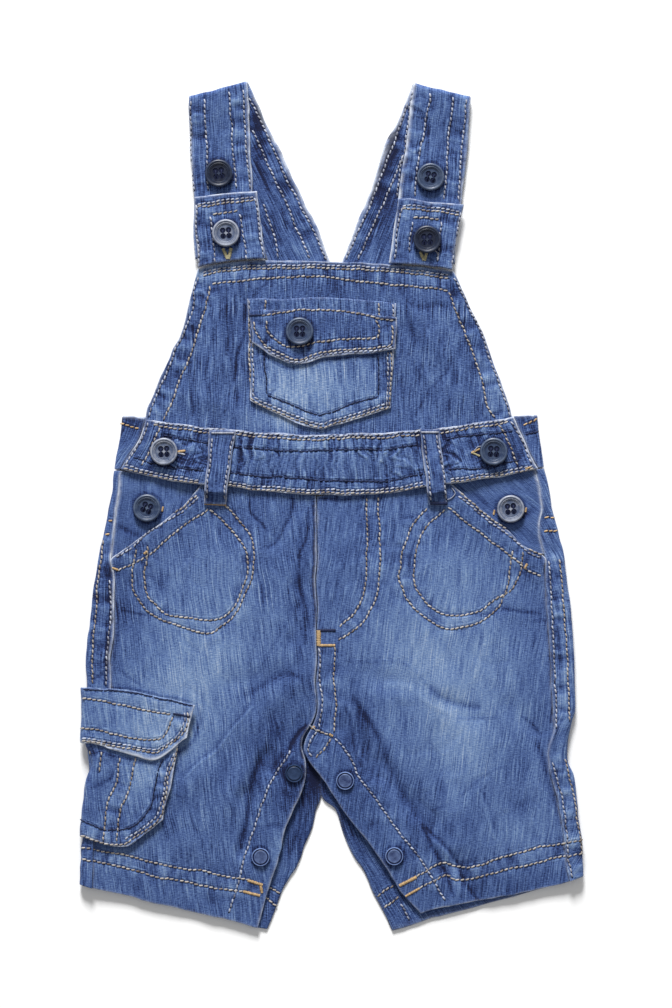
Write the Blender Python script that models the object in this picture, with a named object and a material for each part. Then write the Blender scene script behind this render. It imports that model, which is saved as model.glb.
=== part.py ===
"""Kids' dungaree shorts in blue denim, laid flat on their back.

The garment lies on the plane z = 0 with its front up. +Y points to the shoulder straps and
X runs across. Left and right are the sides as seen from above. Every size is in millimetres
and becomes metres where a mesh is made.

Each panel is a wall of cloth. Flat panels are patches between four edges. Back panels carry on
round the side and over the top as far as the seam, so their sections roll. What lies on another
panel takes its height from that panel's own height rule, moved up by a wall and a gap.
"""

import math

import bmesh
import bpy
import numpy as np

MM = 0.001

# ---------------------------------------------------------------- driving dimensions (mm)
DENIM = 1.2             # one wall of denim
BAND = 1.6              # waistbands, straps and tabs, which are folded double
GAP = 0.4               # clear space between walls that lie on each other
SEAM = 0.5              # clear space between pieces that meet edge to edge
FRONT_LIFT = 2.0        # underside of the front panels above the floor
LEG_PUFF = 1.1          # how much higher the middle of a leg stands
SIDE_LIFT = 1.3         # how much higher the front stands beside the rolled sides
SIDE_REACH = 14.0       # how far from the side that extra height reaches
MOUTH_LIFT = 1.8        # pocket mouth above the hip facing
MOUTH_LAP = 2.5         # how far the hip facing reaches under the pocket mouth
FACING_RISE = 0.5       # how much higher the hip facing stands at its side edge
LAP_LIFT = 1.0          # back strip above the front leg at the side seam
LOWEST_FRONT = 1.6      # a crease in the front never goes below this
HEM_STEP_RIGHT = 5.0    # right front hem lies this much above the back hem at the inseam

STRAP_ROLL = 1.7        # radius of the middle of a strap where it turns over the shoulder
STRAP_REST = 2.0        # underside of a front strap where it lies on its back part
STRAP_EASE = 26.0       # length over which it comes down from the fold to that

BUTTON_RADIUS = 7.6
BUTTON_HEIGHT = 2.8
SNAP_RADIUS = 5.0
SNAP_HEIGHT = 1.2
ROUND_SEGMENTS = 16

GATHER_WAVES = 38       # small pleats along the front waistband
GATHER_HEIGHT = 0.55
COLUMNS_PER_WAVE = 3

REACH = 6.0             # a piece clears all that stands within this distance below it
LOOP_REACH = 2.0        # the same for the narrow belt loops
SIDE_EASE = 4.0         # length over which a rolled side eases into the strip above it
LOOP_STEP = 2.5         # how far past the waistband a belt loop steps down
FLAP_SLACK = 0.2        # extra room under the bib pocket's flap
FOOT_GAP = SEAM + 0.2   # clear space where a piece meets a curved edge
CURL_CLEAR = 0.2        # extra room where the cargo pocket curls round the side
CURL_ANGLES = (100, 80, 60, 40, 20, 0)  # where that curl has points, in degrees from the top

# Each leg is a ladder of rungs from the waist seam to the hem. Distances along a rung are
# measured from its outer end: seam is where the back strip ends, mouth is where the front leg
# starts, and fly is how far the front stops short of the back at the inner end.
# inner x, inner y, outer x, outer y, seam, mouth, fly
LEG_LEFT = [
    (-6.5, 6.5, -119.5, 20.5, 3.4, 49.5, 2.0),
    (-6.5, -2.0, -120.5, 10.0, 3.4, 43.0, 2.0),
    (-6.5, -12.0, -123.0, 0.0, 3.8, 35.0, 2.0),
    (-6.5, -23.0, -125.0, -12.0, 4.5, 22.5, 2.0),
    (-6.5, -32.0, -127.5, -22.0, 6.0, 13.0, 2.0),
    (-6.5, -38.5, -129.0, -28.5, 7.0, 7.0, 2.0),
    (-6.5, -48.5, -130.0, -38.0, 10.5, 10.5, 2.0),
    (-6.5, -64.0, -132.5, -53.5, 12.0, 12.0, 2.0),
    (-6.5, -79.0, -133.5, -68.0, 13.0, 13.0, 2.0),
    (-6.5, -94.5, -135.0, -81.5, 13.0, 13.0, 2.0),
    (-6.5, -112.0, -134.5, -95.5, 12.5, 12.5, 2.0),
    (-6.5, -127.5, -134.5, -108.5, 11.0, 11.0, 6.0),
    (-6.5, -143.0, -134.5, -121.0, 9.0, 9.0, 6.5),
    (-6.5, -158.5, -134.5, -134.0, 7.5, 7.5, 10.5),
    (-9.0, -167.0, -134.0, -142.0, 7.0, 7.0, 11.5),
    (-11.5, -177.0, -134.5, -152.0, 7.0, 7.0, 13.0),
    (-15.5, -187.0, -135.5, -162.0, 7.0, 7.0, 11.5),
    (-19.5, -198.0, -136.5, -172.5, 6.5, 6.5, 10.5),
    (-25.0, -208.0, -138.0, -184.5, 6.5, 6.5, 8.5),
    (-30.5, -220.0, -138.5, -194.5, 6.5, 6.5, 7.0),
    (-35.5, -232.5, -138.5, -207.5, 6.5, 6.5, 5.0),
]
LEG_RIGHT = [
    (-6.0, 6.5, 117.5, 21.5, 4.0, 53.5, -2.0),
    (-6.0, -2.0, 119.5, 11.0, 4.0, 46.0, -2.0),
    (-6.0, -12.0, 121.5, 0.5, 5.0, 36.0, -2.0),
    (-6.0, -23.0, 124.0, -10.0, 9.0, 27.0, -2.0),
    (-6.0, -33.0, 126.0, -19.0, 9.5, 20.0, -2.0),
    (-6.0, -40.5, 128.0, -27.5, 10.0, 10.0, -2.0),
    (-6.0, -53.0, 129.5, -40.5, 11.5, 11.5, -2.0),
    (-6.0, -67.0, 131.5, -56.0, 12.5, 12.5, -2.0),
    (-6.0, -81.5, 132.5, -70.5, 12.5, 12.5, -2.0),
    (-6.0, -97.0, 133.5, -85.0, 12.5, 12.5, -2.0),
    (-6.0, -112.0, 134.0, -100.0, 12.0, 12.0, -2.0),
    (-6.0, -126.5, 134.0, -112.0, 11.0, 11.0, -4.5),
    (-6.0, -138.5, 131.5, -121.0, 8.5, 8.5, -5.0),
    (-6.0, -149.5, 130.0, -131.0, 10.0, 10.0, 1.0),
    (-5.0, -160.0, 130.5, -140.0, 10.0, 10.0, 6.5),
    (2.5, -167.0, 133.5, -148.0, 11.5, 11.5, 4.0),
    (6.5, -179.0, 135.0, -159.5, 10.0, 10.0, 9.0),
    (11.5, -191.0, 136.5, -172.5, 9.5, 9.5, 13.0),
    (19.5, -203.5, 138.0, -186.0, 9.0, 9.0, 12.5),
    (26.0, -218.0, 138.5, -196.0, 8.5, 8.5, 13.5),
    (33.5, -233.0, 139.0, -203.0, 7.5, 7.5, 16.0),
]
HIP_RUNGS = 6           # rungs that cross the pocket mouth

# Largest folds of the front: a soft ridge (+) or trough (-) along each line.
# start x, start y, end x, end y, half width, height
FOLDS = [
    (-16.0, -118.0, -36.0, -140.0, 5.5, -1.2),      # left leg, trough along the inseam
    (-36.0, -140.0, -47.0, -160.0, 5.5, -1.4),
    (-47.0, -160.0, -48.0, -188.0, 5.5, -1.2),
    (-42.0, -125.0, -53.0, -158.0, 8.0, 0.9),
    (-16.0, -44.0, -20.0, -72.0, 6.0, -0.7),        # beside the fly
    (-22.0, 6.0, -31.0, -18.0, 6.0, -0.6),
    (-18.0, -95.0, -42.0, -116.0, 7.0, 0.8),        # rays from the crotch to the left
    (-20.0, -106.0, -58.0, -142.0, 8.0, -0.8),
    (-22.0, -90.0, -55.0, -96.0, 6.0, -0.6),
    (-60.0, -140.0, -84.0, -156.0, 8.0, 0.6),
    (-76.0, -196.0, -77.0, -220.0, 6.0, -0.6),
    (8.0, -122.0, 26.0, -144.0, 6.5, -1.1),         # right leg, trough along the inseam
    (26.0, -144.0, 54.0, -172.0, 6.5, -1.1),
    (54.0, -172.0, 64.0, -198.0, 5.5, -1.3),
    (48.0, -174.0, 66.0, -192.0, 5.0, 0.7),
    (70.0, -194.0, 80.0, -216.0, 5.5, -0.9),
    (20.0, -92.0, 50.0, -100.0, 6.0, -0.6),         # creases across the right thigh
    (64.0, -106.0, 80.0, -116.0, 6.0, -0.6),
    (30.0, -104.0, 66.0, -98.0, 7.0, 0.5),
    (98.0, -108.0, 112.0, -122.0, 6.0, -0.6),
    (60.0, -126.0, 54.0, -162.0, 8.0, -0.6),
    (80.0, -120.0, 76.0, -180.0, 12.0, 0.6),
    (-50.0, 112.0, -52.0, 66.0, 6.0, -0.5),         # bib, beside the pocket
    (-60.0, 104.0, -66.0, 62.0, 7.0, 0.6),
    (42.0, 108.0, 60.0, 84.0, 6.0, 0.6),
    (50.0, 84.0, 52.0, 56.0, 6.0, -0.4),
    (-84.0, 62.0, -52.0, 52.0, 6.0, 0.5),
]

# Pocket mouths as lines (inner end x, y, outer end x, y).
MOUTHS = [(-70.0, 12.0, -121.0, -27.0), (66.0, 11.5, 115.0, -27.5)]

# ---------------------------------------------------------------- edges of the flat pieces (mm)
BIB_TOP = [(-73.0, 132.0), (-56.0, 135.5), (-39.5, 136.0), (-17.5, 136.0), (15.5, 135.5),
           (37.5, 134.0), (54.0, 132.5), (67.0, 130.5)]
BIB_LEFT = [(-73.0, 132.0), (-76.5, 118.0), (-82.0, 99.0), (-87.5, 86.0), (-94.0, 70.5),
            (-98.5, 59.5), (-101.5, 53.0), (-104.0, 43.0)]
BIB_RIGHT = [(67.0, 130.5), (71.0, 121.0), (75.5, 110.0), (83.0, 95.5), (89.0, 79.0),
             (94.5, 64.0), (98.5, 50.5), (103.0, 43.0)]
BIB_BOTTOM = [(-104.0, 43.0), (-83.5, 41.0), (-50.0, 38.0), (-1.0, 35.5), (40.0, 37.5),
              (80.0, 41.0), (103.0, 43.0)]

BAND_TOP = [(-102.5, 48.5), (-83.5, 46.0), (-50.5, 43.0), (-28.5, 41.0), (-1.0, 40.5),
            (32.0, 42.0), (65.0, 44.5), (81.5, 47.0), (100.0, 50.0)]
BAND_BOTTOM = [(-116.0, 21.0), (-94.5, 16.0), (-57.0, 11.5), (-14.5, 7.5), (23.5, 7.5),
               (51.0, 11.5), (80.0, 15.0), (114.2, 21.5)]
BAND_LEFT = [(-102.5, 48.5), (-106.5, 37.5), (-111.5, 29.0), (-116.0, 21.0)]
BAND_RIGHT = [(100.0, 50.0), (106.5, 36.5), (111.0, 27.5), (114.2, 21.5)]

# Back waistband: outer corners at the top and at the waist seam.
BACK_BAND_TOP = [(-115.5, 50.5), (113.0, 51.5)]
BACK_BAND_SAG = 8.0     # its top edge hangs this much in the middle
BACK_BIB = [(-31.5, 130.0), (37.5, 130.0), (97.0, 43.0), (-100.0, 43.0)]

# strap: fold x, fold y, end x, end y, width at the fold, width at the end, back end y
STRAPS = {
    "left": (-62.2, 228.5, -58.5, 137.5, 32.0, 33.0, 130.5),
    "right": (60.6, 228.0, 50.5, 136.0, 31.5, 35.5, 130.5),
}
# Which way each back strap runs down from the fold (x, y).
BACK_DIRECTIONS = {"left": (0.421, -0.907), "right": (-0.371, -0.9286)}

# Tabs: top left x, y, top right x, y, then where the sides meet the bib: left x, right x.
TABS = {
    "left": (-76.0, 171.0, -41.0, 174.5, -73.0, -36.5),
    "right": (37.0, 170.0, 72.5, 167.0, 31.5, 66.5),
}
# Corners of the belt loops, clockwise from the top left.
LOOPS = {
    "left": [(-67.0, 43.0), (-52.5, 43.0), (-58.0, 1.5), (-70.0, 1.5)],
    "right": [(48.5, 43.5), (59.5, 43.5), (64.0, 1.5), (54.0, 1.5)],
}

BIB_POCKET_TOP = [(-46.0, 115.0), (-5.0, 115.5), (35.5, 113.0)]
BIB_POCKET_BOTTOM = [(-44.5, 59.0), (-28.5, 51.0), (-17.5, 46.0), (-6.5, 43.5), (4.5, 46.0),
                     (16.0, 49.5), (32.5, 55.5)]
BIB_FLAP_TOP = [(-45.8, 108.5), (-17.5, 109.5), (10.0, 108.0), (35.8, 105.0)]
BIB_FLAP_LEFT = [(-45.8, 108.5), (-43.5, 97.0), (-43.5, 91.0)]
BIB_FLAP_BOTTOM = [(-43.5, 91.0), (-31.0, 83.0), (-19.5, 79.0), (-6.0, 82.0), (7.5, 84.0),
                   (22.0, 85.0), (35.0, 87.5)]

CARGO_FLAP_TOP = [(-136.0, -98.0), (-119.5, -99.5), (-104.0, -101.5), (-90.5, -104.0),
                  (-75.0, -108.0)]
CARGO_FLAP_BOTTOM = [(-137.5, -129.0), (-119.5, -133.0), (-107.0, -136.5), (-95.5, -138.0),
                     (-79.5, -126.5)]
CARGO_FLAP_RIGHT = [(-75.0, -108.0), (-77.5, -117.0), (-79.5, -126.5)]
CARGO_TOP = [(-136.0, -112.0), (-108.0, -116.0), (-83.0, -122.0)]
CARGO_BOTTOM = [(-137.5, -180.5), (-125.0, -184.0), (-113.0, -186.5), (-100.5, -177.5),
                (-92.0, -172.0)]
CARGO_RIGHT = [(-83.0, -122.0), (-86.5, -142.5), (-89.5, -157.5), (-92.0, -172.0)]

# button: x, y
BUTTONS = {
    "strap_button_left_upper": (-62.0, 184.0),
    "strap_button_left_lower": (-58.0, 151.0),
    "strap_button_right_upper": (54.5, 182.0),
    "strap_button_right_lower": (52.5, 147.5),
    "pocket_button": (-17.5, 97.0),
    "waist_button_left": (-92.0, 31.0),
    "waist_button_right": (89.0, 31.0),
    "hip_button_left": (-101.5, 0.0),
    "hip_button_right": (98.5, -0.5),
}
SNAPS = {
    "snap_left_upper": (-20.5, -146.0),
    "snap_left_lower": (-39.0, -192.0),
    "snap_right_upper": (7.5, -150.0),
    "snap_right_lower": (34.5, -191.5),
}

# colour (linear RGB), roughness
FINISHES = {
    "denim": ((0.075, 0.15, 0.36), 0.85),
    "denim_light": ((0.14, 0.24, 0.47), 0.85),
    "button": ((0.035, 0.05, 0.10), 0.45),
    "snap": ((0.07, 0.11, 0.24), 0.4),
}


# ---------------------------------------------------------------- materials and meshes
def finish(name):
    """Return the named material, made at its first use."""
    material = bpy.data.materials.get(name)
    if material is None:
        material = bpy.data.materials.new(name)
        material.use_nodes = True
        colour, roughness = FINISHES[name]
        shader = material.node_tree.nodes["Principled BSDF"]
        shader.inputs["Base Color"].default_value = (*colour, 1.0)
        shader.inputs["Roughness"].default_value = roughness
        shader.inputs["Metallic"].default_value = 0.0
    return material


def add_object(name, points, faces, material):
    """Make one closed object from points in mm, with its faces pointing out."""
    mesh = bpy.data.meshes.new(name)
    mesh.from_pydata([tuple(p) for p in np.asarray(points) * MM], [], faces)
    work = bmesh.new()
    work.from_mesh(mesh)
    bmesh.ops.recalc_face_normals(work, faces=work.faces)
    work.to_mesh(mesh)
    work.free()
    mesh.shade_smooth()
    mesh.set_sharp_from_angle(angle=math.radians(40))
    mesh.materials.append(finish(material))
    obj = bpy.data.objects.new(name, mesh)
    bpy.context.scene.collection.objects.link(obj)
    return obj


def grid_faces(rows, columns, start, flip):
    """Quads of a grid whose first point has the number start."""
    faces = []
    for i in range(rows - 1):
        for j in range(columns - 1):
            a = start + i * columns + j
            quad = (a, a + columns, a + columns + 1, a + 1)
            faces.append(quad[::-1] if flip else quad)
    return faces


def wall(name, top, bottom, material):
    """Join two grids of the same size into one closed wall."""
    rows, columns = top.shape[:2]
    count = rows * columns
    faces = grid_faces(rows, columns, 0, False) + grid_faces(rows, columns, count, True)
    ring = [j for j in range(columns)]
    ring += [i * columns + columns - 1 for i in range(1, rows)]
    ring += [(rows - 1) * columns + j for j in range(columns - 2, -1, -1)]
    ring += [i * columns for i in range(rows - 2, 0, -1)]
    for k, a in enumerate(ring):
        b = ring[(k + 1) % len(ring)]
        faces.append((a, b, b + count, a + count))
    points = np.vstack([top.reshape(-1, 3), bottom.reshape(-1, 3)])
    return add_object(name, points, faces, material)


# ---------------------------------------------------------------- edges, ladders and patches
def sample(points, segments, smooth=True):
    """Points along an edge that passes through every given point.

    Each span gets a share of the segments by its length, and a Catmull-Rom curve rounds it.
    """
    points = np.array(points, float)
    spans = len(points) - 1
    lengths = np.linalg.norm(np.diff(points, axis=0), axis=1)
    share = np.maximum(1, np.round(segments * lengths / lengths.sum())).astype(int)
    while share.sum() > segments:
        share[np.argmax(share)] -= 1
    while share.sum() < segments:
        share[np.argmax(lengths / share)] += 1
    out = []
    for k in range(spans):
        before = points[k - 1] if k else 2 * points[0] - points[1]
        after = points[k + 2] if k + 2 <= spans else 2 * points[-1] - points[-2]
        for t in np.arange(share[k]) / share[k]:
            if smooth:
                out.append(catmull_rom(before, points[k], points[k + 1], after, t))
            else:
                out.append(points[k] + (points[k + 1] - points[k]) * t)
    out.append(points[-1])
    return np.array(out)


def catmull_rom(a, b, c, d, t):
    """Point at t between b and c on the curve through a, b, c and d."""
    return 0.5 * ((2 * b) + (c - a) * t + (2 * a - 5 * b + 4 * c - d) * t**2
                  + (3 * b - a - 3 * c + d) * t**3)


def patch(top, right, bottom, left, rows, columns, smooth=True):
    """Grid of (x, y) between four edges; top and bottom run left to right, sides run down."""
    north = sample(top, columns, smooth)[None, :, :]
    south = sample(bottom, columns, smooth)[None, :, :]
    west = sample(left, rows, smooth)[:, None, :]
    east = sample(right, rows, smooth)[:, None, :]
    u = np.linspace(0, 1, columns + 1)[None, :, None]
    v = np.linspace(0, 1, rows + 1)[:, None, None]
    corners = ((1 - u) * (1 - v) * north[:, :1] + u * (1 - v) * north[:, -1:]
               + (1 - u) * v * south[:, :1] + u * v * south[:, -1:])
    return (1 - v) * north + v * south + (1 - u) * west + u * east - corners


def straight_patch(corners, rows, columns):
    """Grid of (x, y) in a four-sided piece given by its corners, clockwise from top left."""
    a, b, c, d = corners
    return patch([a, b], [b, c], [d, c], [a, d], rows, columns, smooth=False)


def ladder_row(ladder, position):
    """Values of a leg's ladder at a position counted in rungs, read from a smooth curve."""
    table = np.array(ladder, float)
    last = len(table) - 1
    k = min(int(position), last - 1)
    before = table[max(k - 1, 0)]
    after = table[min(k + 2, last)]
    return catmull_rom(before, table[k], table[k + 1], after, position - k)


def along_rung(row, distance):
    """Point on a rung at a distance from its outer end."""
    inner, outer = np.array(row[0:2]), np.array(row[2:4])
    direction = (inner - outer) / np.linalg.norm(inner - outer)
    return outer + direction * distance


def rung_length(row):
    """Length of a rung."""
    return math.hypot(row[0] - row[2], row[1] - row[3])


# ---------------------------------------------------------------- height rules
def bell(distance, width):
    """Soft bump: 1 at distance 0, falling to nothing a little past the width."""
    return np.exp(-(distance / width) ** 2)


def smooth_step(value):
    """0 below 0, 1 above 1 and a smooth rise between."""
    t = np.clip(value, 0, 1)
    return t * t * (3 - 2 * t)


def to_segment(x, y, x0, y0, x1, y1):
    """Distance from points to a line segment."""
    dx, dy = x1 - x0, y1 - y0
    t = np.clip(((x - x0) * dx + (y - y0) * dy) / (dx * dx + dy * dy), 0, 1)
    return np.hypot(x - x0 - t * dx, y - y0 - t * dy)


def side_distance(x, y):
    """Distance to the nearer side of the garment, below the waist."""
    table = np.array(LEG_LEFT)
    left = x - np.interp(-y, -table[:, 3], table[:, 2])
    table = np.array(LEG_RIGHT)
    right = np.interp(-y, -table[:, 3], table[:, 2]) - x
    return np.minimum(left, right)


def front_base(x, y):
    """Underside of the front layer: puffed legs, raised sides and the largest folds."""
    x, y = np.broadcast_arrays(np.asarray(x, float), np.asarray(y, float))
    side = side_distance(x, y)
    below_waist = smooth_step((45 - y) / 30)
    hem = smooth_step((y + 225) / 40)
    puff = LEG_PUFF * smooth_step((5 - y) / 40) * smooth_step(side / 45) * hem
    height = FRONT_LIFT + puff + SIDE_LIFT * bell(side, SIDE_REACH) * below_waist
    for x0, y0, x1, y1, width, rise in FOLDS:
        height = height + rise * bell(to_segment(x, y, x0, y0, x1, y1), width)
    return np.maximum(height, LOWEST_FRONT)


def leg_base(x, y):
    """Underside of the front legs, which stand up at the pocket mouths."""
    height = front_base(x, y)
    for mouth in MOUTHS:
        height = height + MOUTH_LIFT * bell(to_segment(x, y, *mouth), 12.0)
    return height


def strip_base(x, y):
    """Underside of the back where it comes round to the front: over the leg below the hip."""
    return front_base(x, y) + LAP_LIFT * smooth_step((-22 - y) / 14)


def facing_base(x, y):
    """Underside of the hip facings, raised at the side edge where they button over."""
    rise = FACING_RISE * bell(side_distance(x, y), 14.0)
    for mouth in MOUTHS:
        rise = rise * smooth_step(to_segment(x, y, *mouth) / 14.0)
    return front_base(x, y) + rise


def highest_near(rule, x, y, reach):
    """Largest value of a height rule within reach of each point."""
    best = rule(x, y)
    for angle in np.arange(8) * math.pi / 4:
        moved = rule(x + reach * math.cos(angle), y + reach * math.sin(angle))
        best = np.maximum(best, moved)
    return best


def over(rule, thickness):
    """Height rule for a piece that lies on a panel with the given rule and wall."""
    def raised(x, y):
        return highest_near(rule, x, y, REACH) + thickness + GAP
    return raised


def band_base(x, y):
    """Underside of the front waistband, which laps over the bib, the legs and the facings."""
    return np.maximum(over(leg_base, DENIM)(x, y), over(facing_base, DENIM)(x, y))


# ---------------------------------------------------------------- panels
def flat_panel(name, grid, base, thickness, material="denim"):
    """Wall whose underside follows a height rule."""
    x, y = grid[..., 0], grid[..., 1]
    low = base(x, y)
    bottom = np.stack([x, y, low], axis=-1)
    top = np.stack([x, y, low + thickness], axis=-1)
    return wall(name, top, bottom, material)


def floor_level(x, y):
    """Underside of what lies straight on the floor."""
    return np.zeros(np.broadcast(x, y).shape)


def roll_section(x_inner, x_outer, x_seam, y_at, top_base, thickness, flat, arc, strip):
    """Section of a back panel: along the floor, round the side, and over the top to a seam.

    Gives the inside and outside points of the wall, as two lists from the inner end on.
    """
    side = 1.0 if x_outer > x_inner else -1.0
    near = x_outer - side * SIDE_EASE
    top_middle = float(top_base(near, y_at(near))) + thickness / 2
    radius = (top_middle - thickness / 2) / 2
    x_turn = x_outer - side * (radius + thickness / 2)
    middle = thickness / 2 + radius
    outside, inside = [], []
    for x in np.linspace(x_inner, x_turn, flat + 1):
        outside.append((x, y_at(x), 0.0))
        inside.append((x, y_at(x), thickness))
    for angle in np.linspace(0, math.pi, arc + 1)[1:-1]:
        for points, r in ((outside, radius + thickness / 2), (inside, radius - thickness / 2)):
            x = x_turn + side * r * math.sin(angle)
            points.append((x, y_at(x), middle - r * math.cos(angle)))
    for x in np.linspace(x_turn, x_seam, strip + 1):
        base = float(top_base(x, y_at(x)))
        ease = smooth_step(abs(x - x_turn) / SIDE_EASE)
        low = (1 - ease) * (top_middle - thickness / 2) + ease * base
        outside.append((x, y_at(x), low + thickness))
        inside.append((x, y_at(x), low))
    return inside, outside


def back_leg(name, ladder, rows=28):
    """Back of one leg, with the strip that comes round to the side seam."""
    inside, outside = [], []
    for position in np.linspace(0, len(ladder) - 1, rows + 1):
        row = ladder_row(ladder, position)
        seam_point = along_rung(row, row[4] - SEAM)

        def y_at(x, row=row):
            return row[1] + (row[3] - row[1]) * (x - row[0]) / (row[2] - row[0])

        section = roll_section(row[0], row[2], seam_point[0], y_at, strip_base, DENIM, 3, 6, 3)
        inside.append(section[0])
        outside.append(section[1])
    return wall(name, np.array(inside), np.array(outside), "denim")


def back_waistband():
    """Back waistband, rolled round both sides as far as the front's edge."""
    inside, outside = [], []
    left_foot = np.array(LEG_LEFT[0][2:4])
    right_foot = np.array(LEG_RIGHT[0][2:4])
    left_head, right_head = np.array(BACK_BAND_TOP[0]), np.array(BACK_BAND_TOP[1])
    middle_foot = LEG_LEFT[0][1] + FOOT_GAP
    middle_head = left_head[1] - BACK_BAND_SAG
    front_left = sample(BAND_LEFT, 30)
    front_right = sample(BAND_RIGHT, 30)
    for v in np.linspace(0, 1, 6):
        left = left_head + (left_foot + (0, FOOT_GAP) - left_head) * v
        right = right_head + (right_foot + (0, FOOT_GAP) - right_head) * v
        middle = middle_head + (middle_foot - middle_head) * v

        def y_left(x, left=left, middle=middle):
            return middle + (left[1] - middle) * (x + 6.5) / (left[0] + 6.5)

        def y_right(x, right=right, middle=middle):
            return middle + (right[1] - middle) * (x + 6.5) / (right[0] + 6.5)

        seam_left = np.interp(-left[1], -front_left[:, 1], front_left[:, 0]) - SEAM
        seam_right = np.interp(-right[1], -front_right[:, 1], front_right[:, 0]) + SEAM
        west = roll_section(-6.5, left[0], seam_left, y_left, front_base, BAND, 4, 6, 4)
        east = roll_section(-6.5, right[0], seam_right, y_right, front_base, BAND, 4, 6, 4)
        inside.append(west[0][::-1] + east[0][1:])
        outside.append(west[1][::-1] + east[1][1:])
    return wall("back_waistband", np.array(inside), np.array(outside), "denim")


def front_leg(name, ladder, hem_step=0.0, rows=28, columns=14):
    """Front of one leg, from the pocket mouth and the side seam to the fly and the inseam."""
    grid = []
    for position in np.linspace(0, len(ladder) - 1, rows + 1):
        points = []
        for u in np.linspace(0, 1, columns + 1):
            row = ladder_row(ladder, position)
            start, end = max(row[4], row[5]), rung_length(row) - row[6]
            point = along_rung(row, start + (end - start) * u)
            share = position / (len(ladder) - 1)
            lift = hem_step * smooth_step(u) * smooth_step((share - 0.85) / 0.15)
            points.append(point + (0, lift))
        grid.append(points)
    grid = np.array(grid)
    if ladder[0][2] > 0:
        grid = grid[:, ::-1]
    return flat_panel(name, grid, leg_base, DENIM)


def hip_facing(name, ladder, rows=10, columns=7):
    """Piece behind the pocket mouth, from the side edge to a little way under the mouth."""
    grid = []
    for position in np.linspace(0, HIP_RUNGS - 1.25, rows + 1):
        row = ladder_row(ladder, position)
        start, end = row[4], row[5] + MOUTH_LAP
        grid.append([along_rung(row, start + (end - start) * u)
                     for u in np.linspace(0, 1, columns + 1)])
    grid = np.array(grid)
    if ladder[0][2] > 0:
        grid = grid[:, ::-1]
    return flat_panel(name, grid, facing_base, DENIM)


def bib():
    """Front bib, with its bottom edge under the waistband."""
    grid = patch(BIB_TOP, BIB_RIGHT, BIB_BOTTOM, BIB_LEFT, 11, 19)
    return flat_panel("bib", grid, front_base, DENIM)


def gathered(x, y):
    """Height of the waistband's small pleats, zero along its two edges."""
    top = np.interp(x, [p[0] for p in BAND_TOP], [p[1] for p in BAND_TOP])
    bottom = np.interp(x, [p[0] for p in BAND_BOTTOM], [p[1] for p in BAND_BOTTOM])
    depth = np.clip((top - y) / (top - bottom), 0, 1)
    length = BAND_BOTTOM[-1][0] - BAND_BOTTOM[0][0]
    turn = 2 * math.pi * GATHER_WAVES * (x - BAND_BOTTOM[0][0]) / length
    strength = 0.65 + 0.35 * np.sin(x * 0.09)
    return GATHER_HEIGHT * strength * (0.5 + 0.5 * np.sin(turn)) * np.sin(math.pi * depth)


def front_waistband():
    """Front waistband with its row of small pleats."""
    columns = GATHER_WAVES * COLUMNS_PER_WAVE
    grid = patch(BAND_TOP, BAND_RIGHT, BAND_BOTTOM, BAND_LEFT, 3, columns)
    return flat_panel("front_waistband", grid, lambda x, y: band_base(x, y) + gathered(x, y),
                      BAND)


def back_bib():
    """Back bib, flat on the floor between the straps and the back waistband."""
    a, b, c, d = BACK_BIB
    bottom = [d, (-6.5, BACK_BAND_TOP[0][1] - BACK_BAND_SAG + 1.0), c]
    grid = patch([a, b], [b, c], bottom, [a, d], 4, 8, smooth=False)
    x = grid[..., 0]
    edge_y = BACK_BAND_TOP[0][1] - BACK_BAND_SAG * (1 - abs(x + 6.5) / 109) + 1.2
    grid[-1, :, 1] = edge_y[-1]
    return flat_panel("back_bib", grid, floor_level, DENIM)


def strap_height(along):
    """Underside of a front strap at a distance below its fold."""
    high = 2 * STRAP_ROLL
    return high + (STRAP_REST - high) * smooth_step(along / STRAP_EASE)


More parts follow.
